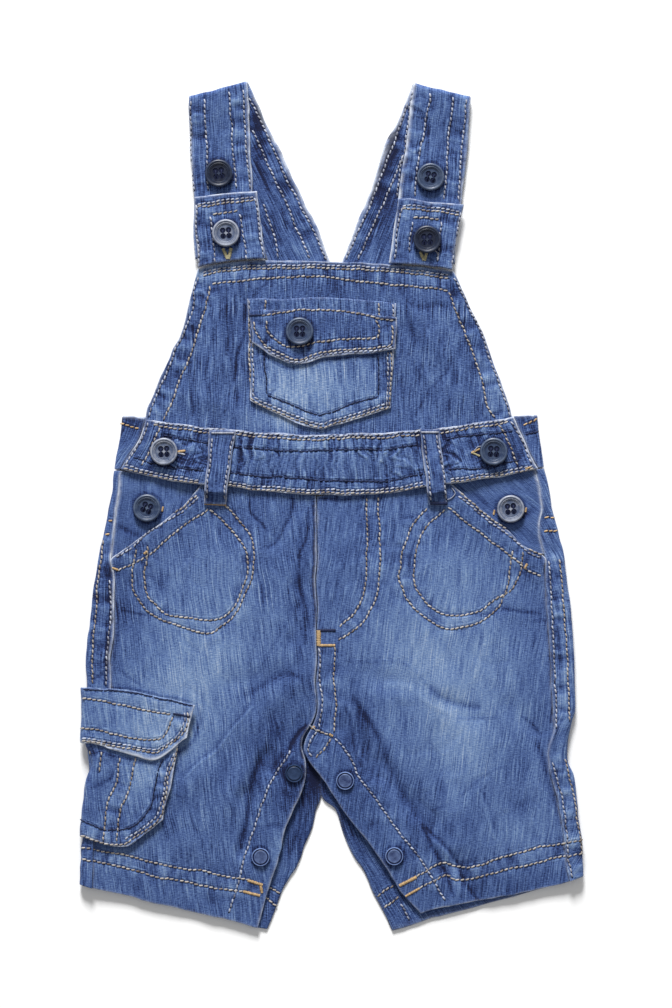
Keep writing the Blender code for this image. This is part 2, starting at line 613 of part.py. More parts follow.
def strap(side, columns=3, front_rows=12, turn_rows=7, back_rows=10):
    """One shoulder strap: up the front, over the fold, and down the back."""
    fold_x, fold_y, end_x, end_y, fold_width, end_width, back_y = STRAPS[side]
    fold, end = np.array((fold_x, fold_y)), np.array((end_x, end_y))
    length = np.linalg.norm(fold - end)
    up = (fold - end) / length
    across = np.array((up[1], -up[0]))
    down = np.array(BACK_DIRECTIONS[side])
    crease = (up + down) / np.linalg.norm(up + down)
    normal = np.array((-crease[1], crease[0]))
    if normal @ up < 0:
        normal = -normal
    turn = math.pi * STRAP_ROLL
    reach = turn / (normal @ up)
    top, bottom = [], []
    for j in range(columns + 1):
        share = j / columns - 0.5
        stations = list(np.linspace(-length, 0, front_rows + 1))
        stations += list(np.linspace(0, reach, turn_rows + 1)[1:])
        column_top, column_bottom = [], []
        foot = fold + across * share * fold_width
        # slide each column so that its fold lies on the crease line
        slide = -(normal @ (foot - fold)) / (normal @ up)
        for k, along in enumerate(stations):
            spread = fold_width + (end_width - fold_width) * np.clip(-along / length, 0, 1)
            flat = fold + across * share * spread + up * (along + slide * min(1.0, 1 + along / length))
            q = normal @ (flat - fold)
            height = strap_height(-along) + BAND / 2 if along < 0 else BAND / 2 + 2 * STRAP_ROLL
            if q <= 0 or along <= 0:
                middle, tilt = (*flat, height), (0.0, 0.0, 1.0)
            else:
                angle = min(q / STRAP_ROLL, math.pi)
                place = flat - normal * q + normal * STRAP_ROLL * math.sin(angle)
                level = BAND / 2 + STRAP_ROLL * (1 + math.cos(angle))
                middle = (*place, level)
                tilt = (*(normal * math.sin(angle)), math.cos(angle))
            column_top.append(np.array(middle) + np.array(tilt) * BAND / 2)
            column_bottom.append(np.array(middle) - np.array(tilt) * BAND / 2)
        start = np.array(column_top[-1][:2])
        run = (start[1] - back_y) / -down[1]
        for along in np.linspace(0, run, back_rows + 1)[1:]:
            place = start + down * along
            column_top.append(np.array((*place, 0.0)))
            column_bottom.append(np.array((*place, BAND)))
        top.append(column_top)
        bottom.append(column_bottom)
    return wall("strap_" + side, np.array(top), np.array(bottom), "denim")


def strap_top(side):
    """Height rule for the upper face of a front strap."""
    fold_x, fold_y, end_x, end_y = STRAPS[side][:4]
    length = math.hypot(fold_x - end_x, fold_y - end_y)
    up_x, up_y = (fold_x - end_x) / length, (fold_y - end_y) / length

    def rule(x, y):
        along = (fold_x - x) * up_x + (fold_y - y) * up_y
        return strap_height(np.maximum(along, 0)) + BAND
    return rule


def tab_base(side):
    """Underside of a bib tab, which lies on the strap."""
    lie = strap_top(side)

    def rule(x, y):
        return highest_near(lie, x, y, REACH) + GAP
    return rule


def strap_tab(side):
    """Tab that stands up from the bib's top edge over the end of a strap."""
    x0, y0, x1, y1, foot_left, foot_right = TABS[side]
    edge = sample(BIB_TOP, 40)
    foot_x = np.linspace(foot_left, foot_right, 5)
    foot_y = np.interp(foot_x, edge[:, 0], edge[:, 1]) + FOOT_GAP
    foot = list(zip(foot_x, foot_y))
    top = [(x0, y0), (x1, y1)]
    grid = patch(top, [top[1], foot[-1]], foot, [top[0], foot[0]], 6, 4, smooth=False)
    return flat_panel("strap_tab_" + side, grid, tab_base(side), BAND)


def loop_base(x, y):
    """Underside of a belt loop: over the waistband and down to the leg and the bib."""
    top = np.interp(x, [p[0] for p in BAND_TOP], [p[1] for p in BAND_TOP])
    bottom = np.interp(x, [p[0] for p in BAND_BOTTOM], [p[1] for p in BAND_BOTTOM])
    on_band = band_base(x, y) + GATHER_HEIGHT + BAND
    off_band = leg_base(x, y) + DENIM
    crosses = (y < top + LOOP_STEP) & (y > bottom - LOOP_STEP)
    return np.where(crosses, on_band, off_band) + GAP


def belt_loop(side):
    """Belt loop over the front waistband."""
    grid = straight_patch(LOOPS[side], 9, 2)
    return flat_panel("belt_loop_" + side, grid,
                      lambda x, y: highest_near(loop_base, x, y, LOOP_REACH), DENIM)


def bib_pocket():
    """Patch pocket on the bib with a pointed bottom."""
    left = [BIB_POCKET_TOP[0], BIB_POCKET_BOTTOM[0]]
    right = [BIB_POCKET_TOP[-1], BIB_POCKET_BOTTOM[-1]]
    grid = patch(BIB_POCKET_TOP, right, BIB_POCKET_BOTTOM, left, 8, 10)
    return flat_panel("bib_pocket", grid, over(front_base, DENIM), DENIM)


def bib_pocket_flap():
    """Buttoned flap over the bib pocket."""
    right = [BIB_FLAP_TOP[-1], BIB_FLAP_BOTTOM[-1]]
    grid = patch(BIB_FLAP_TOP, right, BIB_FLAP_BOTTOM, BIB_FLAP_LEFT, 4, 10)
    return flat_panel("bib_pocket_flap", grid, flap_base, DENIM, "denim")


def flap_base(x, y):
    """Underside of the bib pocket's flap."""
    return over(front_base, DENIM)(x, y) + DENIM + GAP + FLAP_SLACK


def leg_top_rule(x, y):
    """Upper face of what the cargo pocket lies on: the leg and the strip beside it."""
    return np.maximum(leg_base(x, y), strip_base(x, y)) + DENIM


def cargo_piece(name, top, right, bottom, rows, columns, lift, material):
    """Cargo pocket piece that lies on the leg and curls round the rolled side."""
    left = [top[0], bottom[0]]
    grid = patch(top, right, bottom, left, rows, columns)
    outer, inner = [], []
    for line in grid:
        outer_line, inner_line = [], []
        y_end = line[0][1]
        edge = np.interp(-y_end, [-r[3] for r in LEG_LEFT], [r[2] for r in LEG_LEFT])
        level = float(highest_near(leg_top_rule, edge + REACH, y_end, REACH)) + lift
        radius = level / 2
        x_turn = edge - lift - CURL_CLEAR + radius
        for x, y in line:
            if x > x_turn:
                ease = smooth_step((x - x_turn) / REACH)
                own = float(highest_near(leg_top_rule, x, y, REACH)) + lift
                low = level * (1 - ease) + own * ease
                inner_line.append((x, y, low))
                outer_line.append((x, y, low + DENIM))
        y0 = inner_line[0][1]
        curl_inner, curl_outer = [], []
        for angle in np.radians(CURL_ANGLES):
            for points, r in ((curl_inner, radius), (curl_outer, radius + DENIM)):
                points.append((x_turn - r * math.sin(angle), (y_end + y0) / 2,
                               radius + r * math.cos(angle)))
        inner.append((curl_inner, inner_line))
        outer.append((curl_outer, outer_line))
    columns_kept = min(len(part[1]) for part in inner)
    top_grid = np.array([curl + flat[-columns_kept:] for curl, flat in outer])
    bottom_grid = np.array([curl + flat[-columns_kept:] for curl, flat in inner])
    return wall(name, top_grid, bottom_grid, material)


def turned(name, centre, profile, material):
    """Round piece turned from a profile of (radius, height) pairs, axis to axis."""
    x0, y0, z0 = centre
    points = [(x0, y0, z0 + profile[0][1])]
    for radius, height in profile[1:-1]:
        for angle in np.arange(ROUND_SEGMENTS) * 2 * math.pi / ROUND_SEGMENTS:
            points.append((x0 + radius * math.cos(angle), y0 + radius * math.sin(angle),
                           z0 + height))
    points.append((x0, y0, z0 + profile[-1][1]))
    rings = len(profile) - 2
    last = len(points) - 1
    faces = []
    for k in range(ROUND_SEGMENTS):
        n = (k + 1) % ROUND_SEGMENTS
        faces.append((0, 1 + n, 1 + k))
        for ring in range(rings - 1):
            a, b = 1 + ring * ROUND_SEGMENTS, 1 + (ring + 1) * ROUND_SEGMENTS
            faces.append((a + k, a + n, b + n, b + k))
        top = 1 + (rings - 1) * ROUND_SEGMENTS
        faces.append((top + k, top + n, last))
    return add_object(name, points, faces, material)


def button(name, x, y, base):
    """Button with a raised rim and a sunk middle, standing on the surface below it."""
    r, h = BUTTON_RADIUS, BUTTON_HEIGHT
    profile = [(0, 0), (0.8 * r, 0), (r, 0.35 * h), (r, 0.75 * h), (0.88 * r, h),
               (0.72 * r, 0.9 * h), (0.58 * r, 0.65 * h), (0, 0.6 * h)]
    level = float(highest_near(base, np.float64(x), np.float64(y), 0.75 * r)) + GAP
    return turned(name, (x, y, level), profile, "button")


def snap(name, x, y):
    """Press stud cap with a ring round a shallow middle."""
    r, h = SNAP_RADIUS, SNAP_HEIGHT
    profile = [(0, 0), (r, 0), (r, 0.6 * h), (0.85 * r, h), (0.7 * r, 0.6 * h), (0, 0.7 * h)]
    level = float(highest_near(leg_base, np.float64(x), np.float64(y), r)) + DENIM + GAP
    return turned(name, (x, y, level), profile, "snap")


def button_grounds():
    """Height rule of the surface that each button stands on."""
    def waist(x, y):
        return band_base(x, y) + GATHER_HEIGHT + BAND

    def tab(side):
        rule = tab_base(side)
        return lambda x, y: rule(x, y) + BAND

    def facing(x, y):
        return facing_base(x, y) + DENIM

    def flap(x, y):
        return flap_base(x, y) + DENIM

    return {
        "strap_button_left_upper": strap_top("left"),
        "strap_button_left_lower": tab("left"),
        "strap_button_right_upper": strap_top("right"),
        "strap_button_right_lower": tab("right"),
        "pocket_button": flap,
        "waist_button_left": waist,
        "waist_button_right": waist,
        "hip_button_left": facing,
        "hip_button_right": facing,
    }


# ---------------------------------------------------------------- the whole garment
def clear_scene():
    """Start from an empty scene."""
    for obj in list(bpy.data.objects):
        bpy.data.objects.remove(obj, do_unlink=True)


def main():
    """Build every piece of the dungarees."""
    clear_scene()
    back_leg("back_leg_left", LEG_LEFT)
    back_leg("back_leg_right", LEG_RIGHT)
    back_waistband()
    back_bib()
    front_leg("front_leg_left", LEG_LEFT)
    front_leg("front_leg_right", LEG_RIGHT, HEM_STEP_RIGHT)
    hip_facing("hip_facing_left", LEG_LEFT)
    hip_facing("hip_facing_right", LEG_RIGHT)
    bib()
    front_waistband()
    for side in ("left", "right"):
        strap(side)
        strap_tab(side)
        belt_loop(side)
    bib_pocket()
    bib_pocket_flap()
    cargo_piece("cargo_pocket", CARGO_TOP, CARGO_RIGHT, CARGO_BOTTOM, 9, 7, GAP, "denim")
    cargo_piece("cargo_pocket_flap", CARGO_FLAP_TOP, CARGO_FLAP_RIGHT, CARGO_FLAP_BOTTOM,
                5, 8, 2 * GAP + DENIM, "denim_light")
    grounds = button_grounds()
    for name, (x, y) in BUTTONS.items():
        button(name, x, y, grounds[name])
    for name, (x, y) in SNAPS.items():
        snap(name, x, y)


main()
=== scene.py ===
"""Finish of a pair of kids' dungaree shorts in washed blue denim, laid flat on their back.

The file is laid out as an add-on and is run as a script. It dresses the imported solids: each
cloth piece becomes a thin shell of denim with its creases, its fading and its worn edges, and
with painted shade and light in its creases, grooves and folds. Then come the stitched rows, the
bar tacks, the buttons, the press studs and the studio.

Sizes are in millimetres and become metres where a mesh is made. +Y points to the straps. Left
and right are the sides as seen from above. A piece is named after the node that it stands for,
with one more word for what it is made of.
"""

import math

import bmesh
import bpy
import numpy as np
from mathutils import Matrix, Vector
from mathutils.bvhtree import BVHTree
from mathutils.interpolate import poly_3d_calc


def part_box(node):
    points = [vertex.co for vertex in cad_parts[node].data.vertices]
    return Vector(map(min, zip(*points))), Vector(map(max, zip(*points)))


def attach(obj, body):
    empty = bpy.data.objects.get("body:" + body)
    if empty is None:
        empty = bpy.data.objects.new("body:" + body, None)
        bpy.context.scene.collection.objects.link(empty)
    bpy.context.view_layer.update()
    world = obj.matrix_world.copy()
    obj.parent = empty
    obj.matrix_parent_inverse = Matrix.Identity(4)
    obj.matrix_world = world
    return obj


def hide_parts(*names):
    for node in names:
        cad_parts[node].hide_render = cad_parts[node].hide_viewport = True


bl_info = {
    "name": "Kids dungarees",
    "version": (1, 0, 0),
    "blender": (4, 5, 0),
    "location": "View3D > Sidebar > Dungarees",
    "description": "Dresses the solids of a pair of kids' dungaree shorts in washed denim",
    "category": "Object",
}

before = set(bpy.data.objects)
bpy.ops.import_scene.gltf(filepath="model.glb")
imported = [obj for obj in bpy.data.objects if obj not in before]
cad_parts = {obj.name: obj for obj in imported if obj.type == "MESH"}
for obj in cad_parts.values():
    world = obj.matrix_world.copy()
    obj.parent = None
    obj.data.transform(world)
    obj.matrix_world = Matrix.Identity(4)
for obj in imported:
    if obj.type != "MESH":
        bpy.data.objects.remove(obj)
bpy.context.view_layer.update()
MM = 0.001

# ---------------------------------------------------------------- studio (m, and mm for the lens)
FLOOR_REACH = 3.0
FLOOR_DROP = 0.0002     # the floor lies this far below the garment
KEY_PLACE = (-0.35, 3.75, 1.95)
KEY_SIZE = 1.1
CAMERA_OVER = (2.475 * MM, 2.2 * MM)
CAMERA_LENS = 100.0
SENSOR = 36.0

# ---------------------------------------------------------------- the solids' own sizes (mm)
DENIM = 1.2             # one wall of denim
BAND = 1.6              # waistbands, straps and tabs, which are folded double
GAP = 0.4               # clear space between walls that lie on each other
SEAM = 0.5              # clear space between pieces that meet edge to edge
FRONT_LIFT = 2.0        # underside of the front panels above the floor
LEG_PUFF = 1.1          # how much higher the middle of a leg stands
SIDE_LIFT = 1.3         # how much higher the front stands beside the rolled sides
SIDE_REACH = 14.0       # how far from the side that extra height reaches
MOUTH_LIFT = 1.8        # pocket mouth above the hip facing
MOUTH_REACH = 12.0      # how far from the mouth that extra height reaches
MOUTH_LAP = 2.5         # how far the hip facing reaches under the pocket mouth
FACING_RISE = 0.5       # how much higher the hip facing stands at its side edge
FACING_REACH = 14.0     # how far from the side edge and the mouth that changes
LAP_LIFT = 1.0          # back strip above the front leg at the side seam
LOWEST_FRONT = 1.6      # a crease in the front never goes below this
HEM_STEP_RIGHT = 5.0    # right front hem lies this much above the back hem at the inseam
STRAP_ROLL = 1.7        # radius of the middle of a strap where it turns over the shoulder
STRAP_REST = 2.0        # underside of a front strap where it lies on its back part
STRAP_EASE = 26.0       # length over which it comes down from the fold to that
GATHER_WAVES = 38       # small pleats along the front waistband
GATHER_HEIGHT = 0.55
REACH = 6.0             # a piece clears all that stands within this distance below it
LOOP_REACH = 2.0        # the same for the narrow belt loops
SIDE_EASE = 4.0         # length over which a rolled side eases into the strip above it
LOOP_STEP = 2.5         # how far past the waistband a belt loop steps down
FLAP_SLACK = 0.2        # extra room under the bib pocket's flap
FOOT_GAP = SEAM + 0.2   # clear space where a piece meets a curved edge
CURL_CLEAR = 0.2        # extra room where the cargo pocket curls round the side
MIDDLE_X = -6.5         # where the two halves of the back meet
FINE_REACH = 26.0       # length beside the middle of a rolled back whose points are close
LEG_LENGTH = 240.0      # lengths and widths that set how many points a grid has
LEG_WIDTH = 118.0
FACING_LENGTH = 60.0
FACING_WIDTH = 40.0
BACK_BAND_LENGTH = 30.0
OUT_OF_REACH = 50.0     # distance given to points that are nowhere near a path
SIGHT = 40.0            # height from which the cloth is looked for
SHARP_EDGE = 38.0       # degrees above which an edge of a button stays sharp

# Each leg is a ladder of rungs from the waist seam to the hem. Distances along a rung are
# measured from its outer end: seam is where the back strip ends, mouth is where the front leg
# starts, and fly is how far the front stops short of the back at the inner end.
# inner x, inner y, outer x, outer y, seam, mouth, fly
LEG_LEFT = [
    (-6.5, 6.5, -119.5, 20.5, 3.4, 49.5, 2),
    (-6.5, -2, -120.5, 10, 3.4, 43, 2),
    (-6.5, -12, -123, 0, 3.8, 35, 2),
    (-6.5, -23, -125, -12, 4.5, 22.5, 2),
    (-6.5, -32, -127.5, -22, 6, 13, 2),
    (-6.5, -38.5, -129, -28.5, 7, 7, 2),
    (-6.5, -48.5, -130, -38, 10.5, 10.5, 2),
    (-6.5, -64, -132.5, -53.5, 12, 12, 2),
    (-6.5, -79, -133.5, -68, 13, 13, 2),
    (-6.5, -94.5, -135, -81.5, 13, 13, 2),
    (-6.5, -112, -134.5, -95.5, 12.5, 12.5, 2),
    (-6.5, -127.5, -134.5, -108.5, 11, 11, 6),
    (-6.5, -143, -134.5, -121, 9, 9, 6.5),
    (-6.5, -158.5, -134.5, -134, 7.5, 7.5, 10.5),
    (-9, -167, -134, -142, 7, 7, 11.5),
    (-11.5, -177, -134.5, -152, 7, 7, 13),
    (-15.5, -187, -135.5, -162, 7, 7, 11.5),
    (-19.5, -198, -136.5, -172.5, 6.5, 6.5, 10.5),
    (-25, -208, -138, -184.5, 6.5, 6.5, 8.5),
    (-30.5, -220, -138.5, -194.5, 6.5, 6.5, 7),
    (-35.5, -232.5, -138.5, -207.5, 6.5, 6.5, 5),
]
LEG_RIGHT = [
    (-6, 6.5, 117.5, 21.5, 4, 53.5, -2),
    (-6, -2, 119.5, 11, 4, 46, -2),
    (-6, -12, 121.5, 0.5, 5, 36, -2),
    (-6, -23, 124, -10, 9, 27, -2),
    (-6, -33, 126, -19, 9.5, 20, -2),
    (-6, -40.5, 128, -27.5, 10, 10, -2),
    (-6, -53, 129.5, -40.5, 11.5, 11.5, -2),
    (-6, -67, 131.5, -56, 12.5, 12.5, -2),
    (-6, -81.5, 132.5, -70.5, 12.5, 12.5, -2),
    (-6, -97, 133.5, -85, 12.5, 12.5, -2),
    (-6, -112, 134, -100, 12, 12, -2),
    (-6, -126.5, 134, -112, 11, 11, -4.5),
    (-6, -138.5, 131.5, -121, 8.5, 8.5, -5),
    (-6, -149.5, 130, -131, 10, 10, 1),
    (-5, -160, 130.5, -140, 10, 10, 6.5),
    (2.5, -167, 133.5, -148, 11.5, 11.5, 4),
    (6.5, -179, 135, -159.5, 10, 10, 9),
    (11.5, -191, 136.5, -172.5, 9.5, 9.5, 13),
    (19.5, -203.5, 138, -186, 9, 9, 12.5),
    (26, -218, 138.5, -196, 8.5, 8.5, 13.5),
    (33.5, -233, 139, -203, 7.5, 7.5, 16),
]
HIP_RUNGS = 6           # rungs that cross the pocket mouth

# Largest folds of the front: a soft ridge (+) or trough (-) along each line.
# start x, start y, end x, end y, half width, height
FOLDS = [
    (-16, -118, -36, -140, 5.5, -1.2),      # left leg, trough along the inseam
    (-36, -140, -47, -160, 5.5, -1.4),
    (-47, -160, -48, -188, 5.5, -1.2),
    (-42, -125, -53, -158, 8, 0.9),
    (-16, -44, -20, -72, 6, -0.7),        # beside the fly
    (-22, 6, -31, -18, 6, -0.6),
    (-18, -95, -42, -116, 7, 0.8),        # rays from the crotch to the left
    (-20, -106, -58, -142, 8, -0.8),
    (-22, -90, -55, -96, 6, -0.6),
    (-60, -140, -84, -156, 8, 0.6),
    (-76, -196, -77, -220, 6, -0.6),
    (8, -122, 26, -144, 6.5, -1.1),         # right leg, trough along the inseam
    (26, -144, 54, -172, 6.5, -1.1),
    (54, -172, 64, -198, 5.5, -1.3),
    (48, -174, 66, -192, 5, 0.7),
    (70, -194, 80, -216, 5.5, -0.9),
    (20, -92, 50, -100, 6, -0.6),         # creases across the right thigh
    (64, -106, 80, -116, 6, -0.6),
    (30, -104, 66, -98, 7, 0.5),
    (98, -108, 112, -122, 6, -0.6),
    (60, -126, 54, -162, 8, -0.6),
    (80, -120, 76, -180, 12, 0.6),
    (-50, 112, -52, 66, 6, -0.5),         # bib, beside the pocket
    (-60, 104, -66, 62, 7, 0.6),
    (42, 108, 60, 84, 6, 0.6),
    (50, 84, 52, 56, 6, -0.4),
    (-84, 62, -52, 52, 6, 0.5),
]

# Pocket mouths as lines (inner end x, y, outer end x, y).
MOUTHS = [(-70, 12, -121, -27), (66, 11.5, 115, -27.5)]

# ---------------------------------------------------------------- edges of the flat pieces (mm)
BIB_TOP = [(-73, 132), (-56, 135.5), (-39.5, 136), (-17.5, 136), (15.5, 135.5),
           (37.5, 134), (54, 132.5), (67, 130.5)]
BIB_LEFT = [(-73, 132), (-76.5, 118), (-82, 99), (-87.5, 86), (-94, 70.5),
            (-98.5, 59.5), (-101.5, 53), (-104, 43)]
BIB_RIGHT = [(67, 130.5), (71, 121), (75.5, 110), (83, 95.5), (89, 79),
             (94.5, 64), (98.5, 50.5), (103, 43)]
BIB_BOTTOM = [(-104, 43), (-83.5, 41), (-50, 38), (-1, 35.5), (40, 37.5),
              (80, 41), (103, 43)]

BAND_TOP = [(-102.5, 48.5), (-83.5, 46), (-50.5, 43), (-28.5, 41), (-1, 40.5),
            (32, 42), (65, 44.5), (81.5, 47), (100, 50)]
BAND_BOTTOM = [(-116, 21), (-94.5, 16), (-57, 11.5), (-14.5, 7.5), (23.5, 7.5),
               (51, 11.5), (80, 15), (114.2, 21.5)]
BAND_LEFT = [(-102.5, 48.5), (-106.5, 37.5), (-111.5, 29), (-116, 21)]
BAND_RIGHT = [(100, 50), (106.5, 36.5), (111, 27.5), (114.2, 21.5)]

# Back waistband: outer corners at the top and at the waist seam.
BACK_BAND_TOP = [(-115.5, 50.5), (113, 51.5)]
BACK_BAND_SAG = 8.0     # its top edge hangs this much in the middle
BACK_BIB = [(-31.5, 130), (37.5, 130), (97, 43), (-100, 43)]

# strap: fold x, fold y, end x, end y, width at the fold, width at the end, back end y
STRAPS = {
    "left": (-62.2, 228.5, -58.5, 137.5, 32, 33, 130.5),
    "right": (60.6, 228, 50.5, 136, 31.5, 35.5, 130.5),
}
# Which way each back strap runs down from the fold (x, y).
BACK_DIRECTIONS = {"left": (0.421, -0.907), "right": (-0.371, -0.9286)}

# Tabs: top left x, y, top right x, y, then where the sides meet the bib: left x, right x.
TABS = {
    "left": (-76, 171, -41, 174.5, -73, -36.5),
    "right": (37, 170, 72.5, 167, 31.5, 66.5),
}
# Corners of the belt loops, clockwise from the top left.
LOOPS = {
    "left": [(-67, 43), (-52.5, 43), (-58, 1.5), (-70, 1.5)],
    "right": [(48.5, 43.5), (59.5, 43.5), (64, 1.5), (54, 1.5)],
}

BIB_POCKET_TOP = [(-46, 115), (-5, 115.5), (35.5, 113)]
BIB_POCKET_BOTTOM = [(-44.5, 59), (-28.5, 51), (-17.5, 46), (-6.5, 43.5), (4.5, 46),
                     (16, 49.5), (32.5, 55.5)]
BIB_FLAP_TOP = [(-45.8, 108.5), (-17.5, 109.5), (10, 108), (35.8, 105)]
BIB_FLAP_LEFT = [(-45.8, 108.5), (-43.5, 97), (-43.5, 91)]
BIB_FLAP_BOTTOM = [(-43.5, 91), (-31, 83), (-19.5, 79), (-6, 82), (7.5, 84),
                   (22, 85), (35, 87.5)]

CARGO_FLAP_TOP = [(-136, -98), (-119.5, -99.5), (-104, -101.5), (-90.5, -104),
                  (-75, -108)]
CARGO_FLAP_BOTTOM = [(-137.5, -129), (-119.5, -133), (-107, -136.5), (-95.5, -138),
                     (-79.5, -126.5)]
CARGO_FLAP_RIGHT = [(-75, -108), (-77.5, -117), (-79.5, -126.5)]
CARGO_TOP = [(-136, -112), (-108, -116), (-83, -122)]
CARGO_BOTTOM = [(-137.5, -180.5), (-125, -184), (-113, -186.5), (-100.5, -177.5),
                (-92, -172)]
CARGO_RIGHT = [(-83, -122), (-86.5, -142.5), (-89.5, -157.5), (-92, -172)]

# ---------------------------------------------------------------- what the finish adds (mm)
RIM = (0, 0.12, 0.3, 0.6, 1.1)    # distances from an edge that have a line of points
STITCH_PITCH = 2.75                 # from one stitch to the next
STITCH_LENGTH = 2.8
STITCH_RADIUS = 0.45                # half width of a stitch of cream thread
NAVY_RADIUS = 0.42                  # and of navy thread
STITCH_LIFT = 0.06                  # how far a stitch stands off the cloth
STITCH_DROP = 1.2                   # step in the cloth that a stitch doesn't follow
HOLE_LENGTH, HOLE_WIDTH = 0.5, 0.42     # half sizes of a needle hole
HOLE_LIFT, HOLE_MIDDLE = 0.14, 0.04     # how far it lies over the cloth, and its middle over that
BAR_PITCH = 0.5                     # from one thread of a bar tack to the next
BAR_RADIUS = 0.34
BAR_RAISE = 0.12                    # how much higher a bar tack lies than a row
LOOSE_RADIUS = 0.24                 # of a loose end of thread
LOOSE_LIFT = 0.45
BUTTON_THREAD = 0.3                 # half width of the threads in a button
# Painted shade where a stitch dips into the cloth at its ends:
STITCH_ENDS = 0.55                  # how much darker the ends of a stitch are
STITCH_SLANT = 13.0                 # degrees between a stitch and its row
# Ribbon of finer cloth under each row: distance from the row, height and tone it adds. The tone
# is painted shade in the groove under the row, and lighter puffs either side, partly wear and
# partly painted light.
SEAM_RIBBON = [(-2.5, -0.12, 0), (-1.6, 0.14, 0.12), (-1, 0.06, -0.12), (-0.6, -0.04, -0.44),
               (0, -0.08, -0.44), (0.6, -0.04, -0.44), (1, 0.06, -0.12), (1.6, 0.14, 0.12),
               (2.5, -0.12, 0)]
# A navy row deepens the painted shade in its groove by this much.
NAVY_SHADE = 1.3                    # how much darker the cloth is along a navy row
# The same under a sharp crease, where the first and last numbers are shares of its half width.
CREASE_RIBBON = [(-1.6, -0.10, 0), (-0.8, 0.05, 0.3), (-0.25, 0.06, 1), (0.25, 0.06, 1),
                 (0.8, 0.05, 0.3), (1.6, -0.10, 0)]
SHARP_CREASE = 1.3                  # half width up to which a crease has its own ribbon
SHARP_SHARE = 0.5                   # share of its tone that the cloth under the ribbon gets
CREASE_POINTS = 14                  # points along a crease
CREASE_FADE = 6.0                   # length over which a crease grows from its ends
RIBBON_STEP = 0.85                  # from one row of the ribbon's points to the next
EDGE_SWELL = 0.12                   # share of a piece's thickness that its rounded edge keeps
GROOVE = 0.22                       # how deep a row of stitches pulls the cloth down
PUCKER = 0.14                       # how high the cloth puffs beside a row
ROW_WANDER = 0.22                   # how far a row of stitches strays from its line
SETTLE_WIDE = 1.3                   # how far the cloth shifts as it settles, over 14 mm
SETTLE_FINE = 0.6                   # and over 5.5 mm

# Where a free edge bows: x where the push starts, x where it is full, y, reach in y, push in x.
PULLS = {
    "strap_left": [(-44.5, -38, 211, 11, -1), (-70, -77.5, 214, 26, -0.8),
                   (-38, -33, 203, 16, 0.8), (-28, -23, 179, 16, 0.9),
                   (-17, -12, 154, 16, 0.9)],
    "front_leg_left": [(-20, -11, -131, 11, -4)],
    "front_leg_right": [(-1, -9, -131, 11, -4.2)],
    "strap_right": [(37.5, 32, 205, 18, -2.2), (70, 76, 190, 30, 2)],
    "cargo_pocket": [(-120, -137, -139, 8, 3.2)],
    "back_leg_left": [(-15, -8, -154, 8, 0.9)],
    "back_leg_right": [(4, -3, -154, 8, -0.9)],
    "bib": [(60, 70, 115, 18, 0.7), (80, 88, 85, 18, 0.7),
            (90, 96, 58, 14, 0.7), (-66, -76, 115, 18, -0.6),
            (-80, -86, 85, 18, -0.6), (-90, -98, 58, 14, -0.6)],
}

BACK_GROOVE = 0.3                   # how far a row of stitches lifts the back off the floor
ON_FLOOR = 0.8                      # cloth below this height lies on the floor
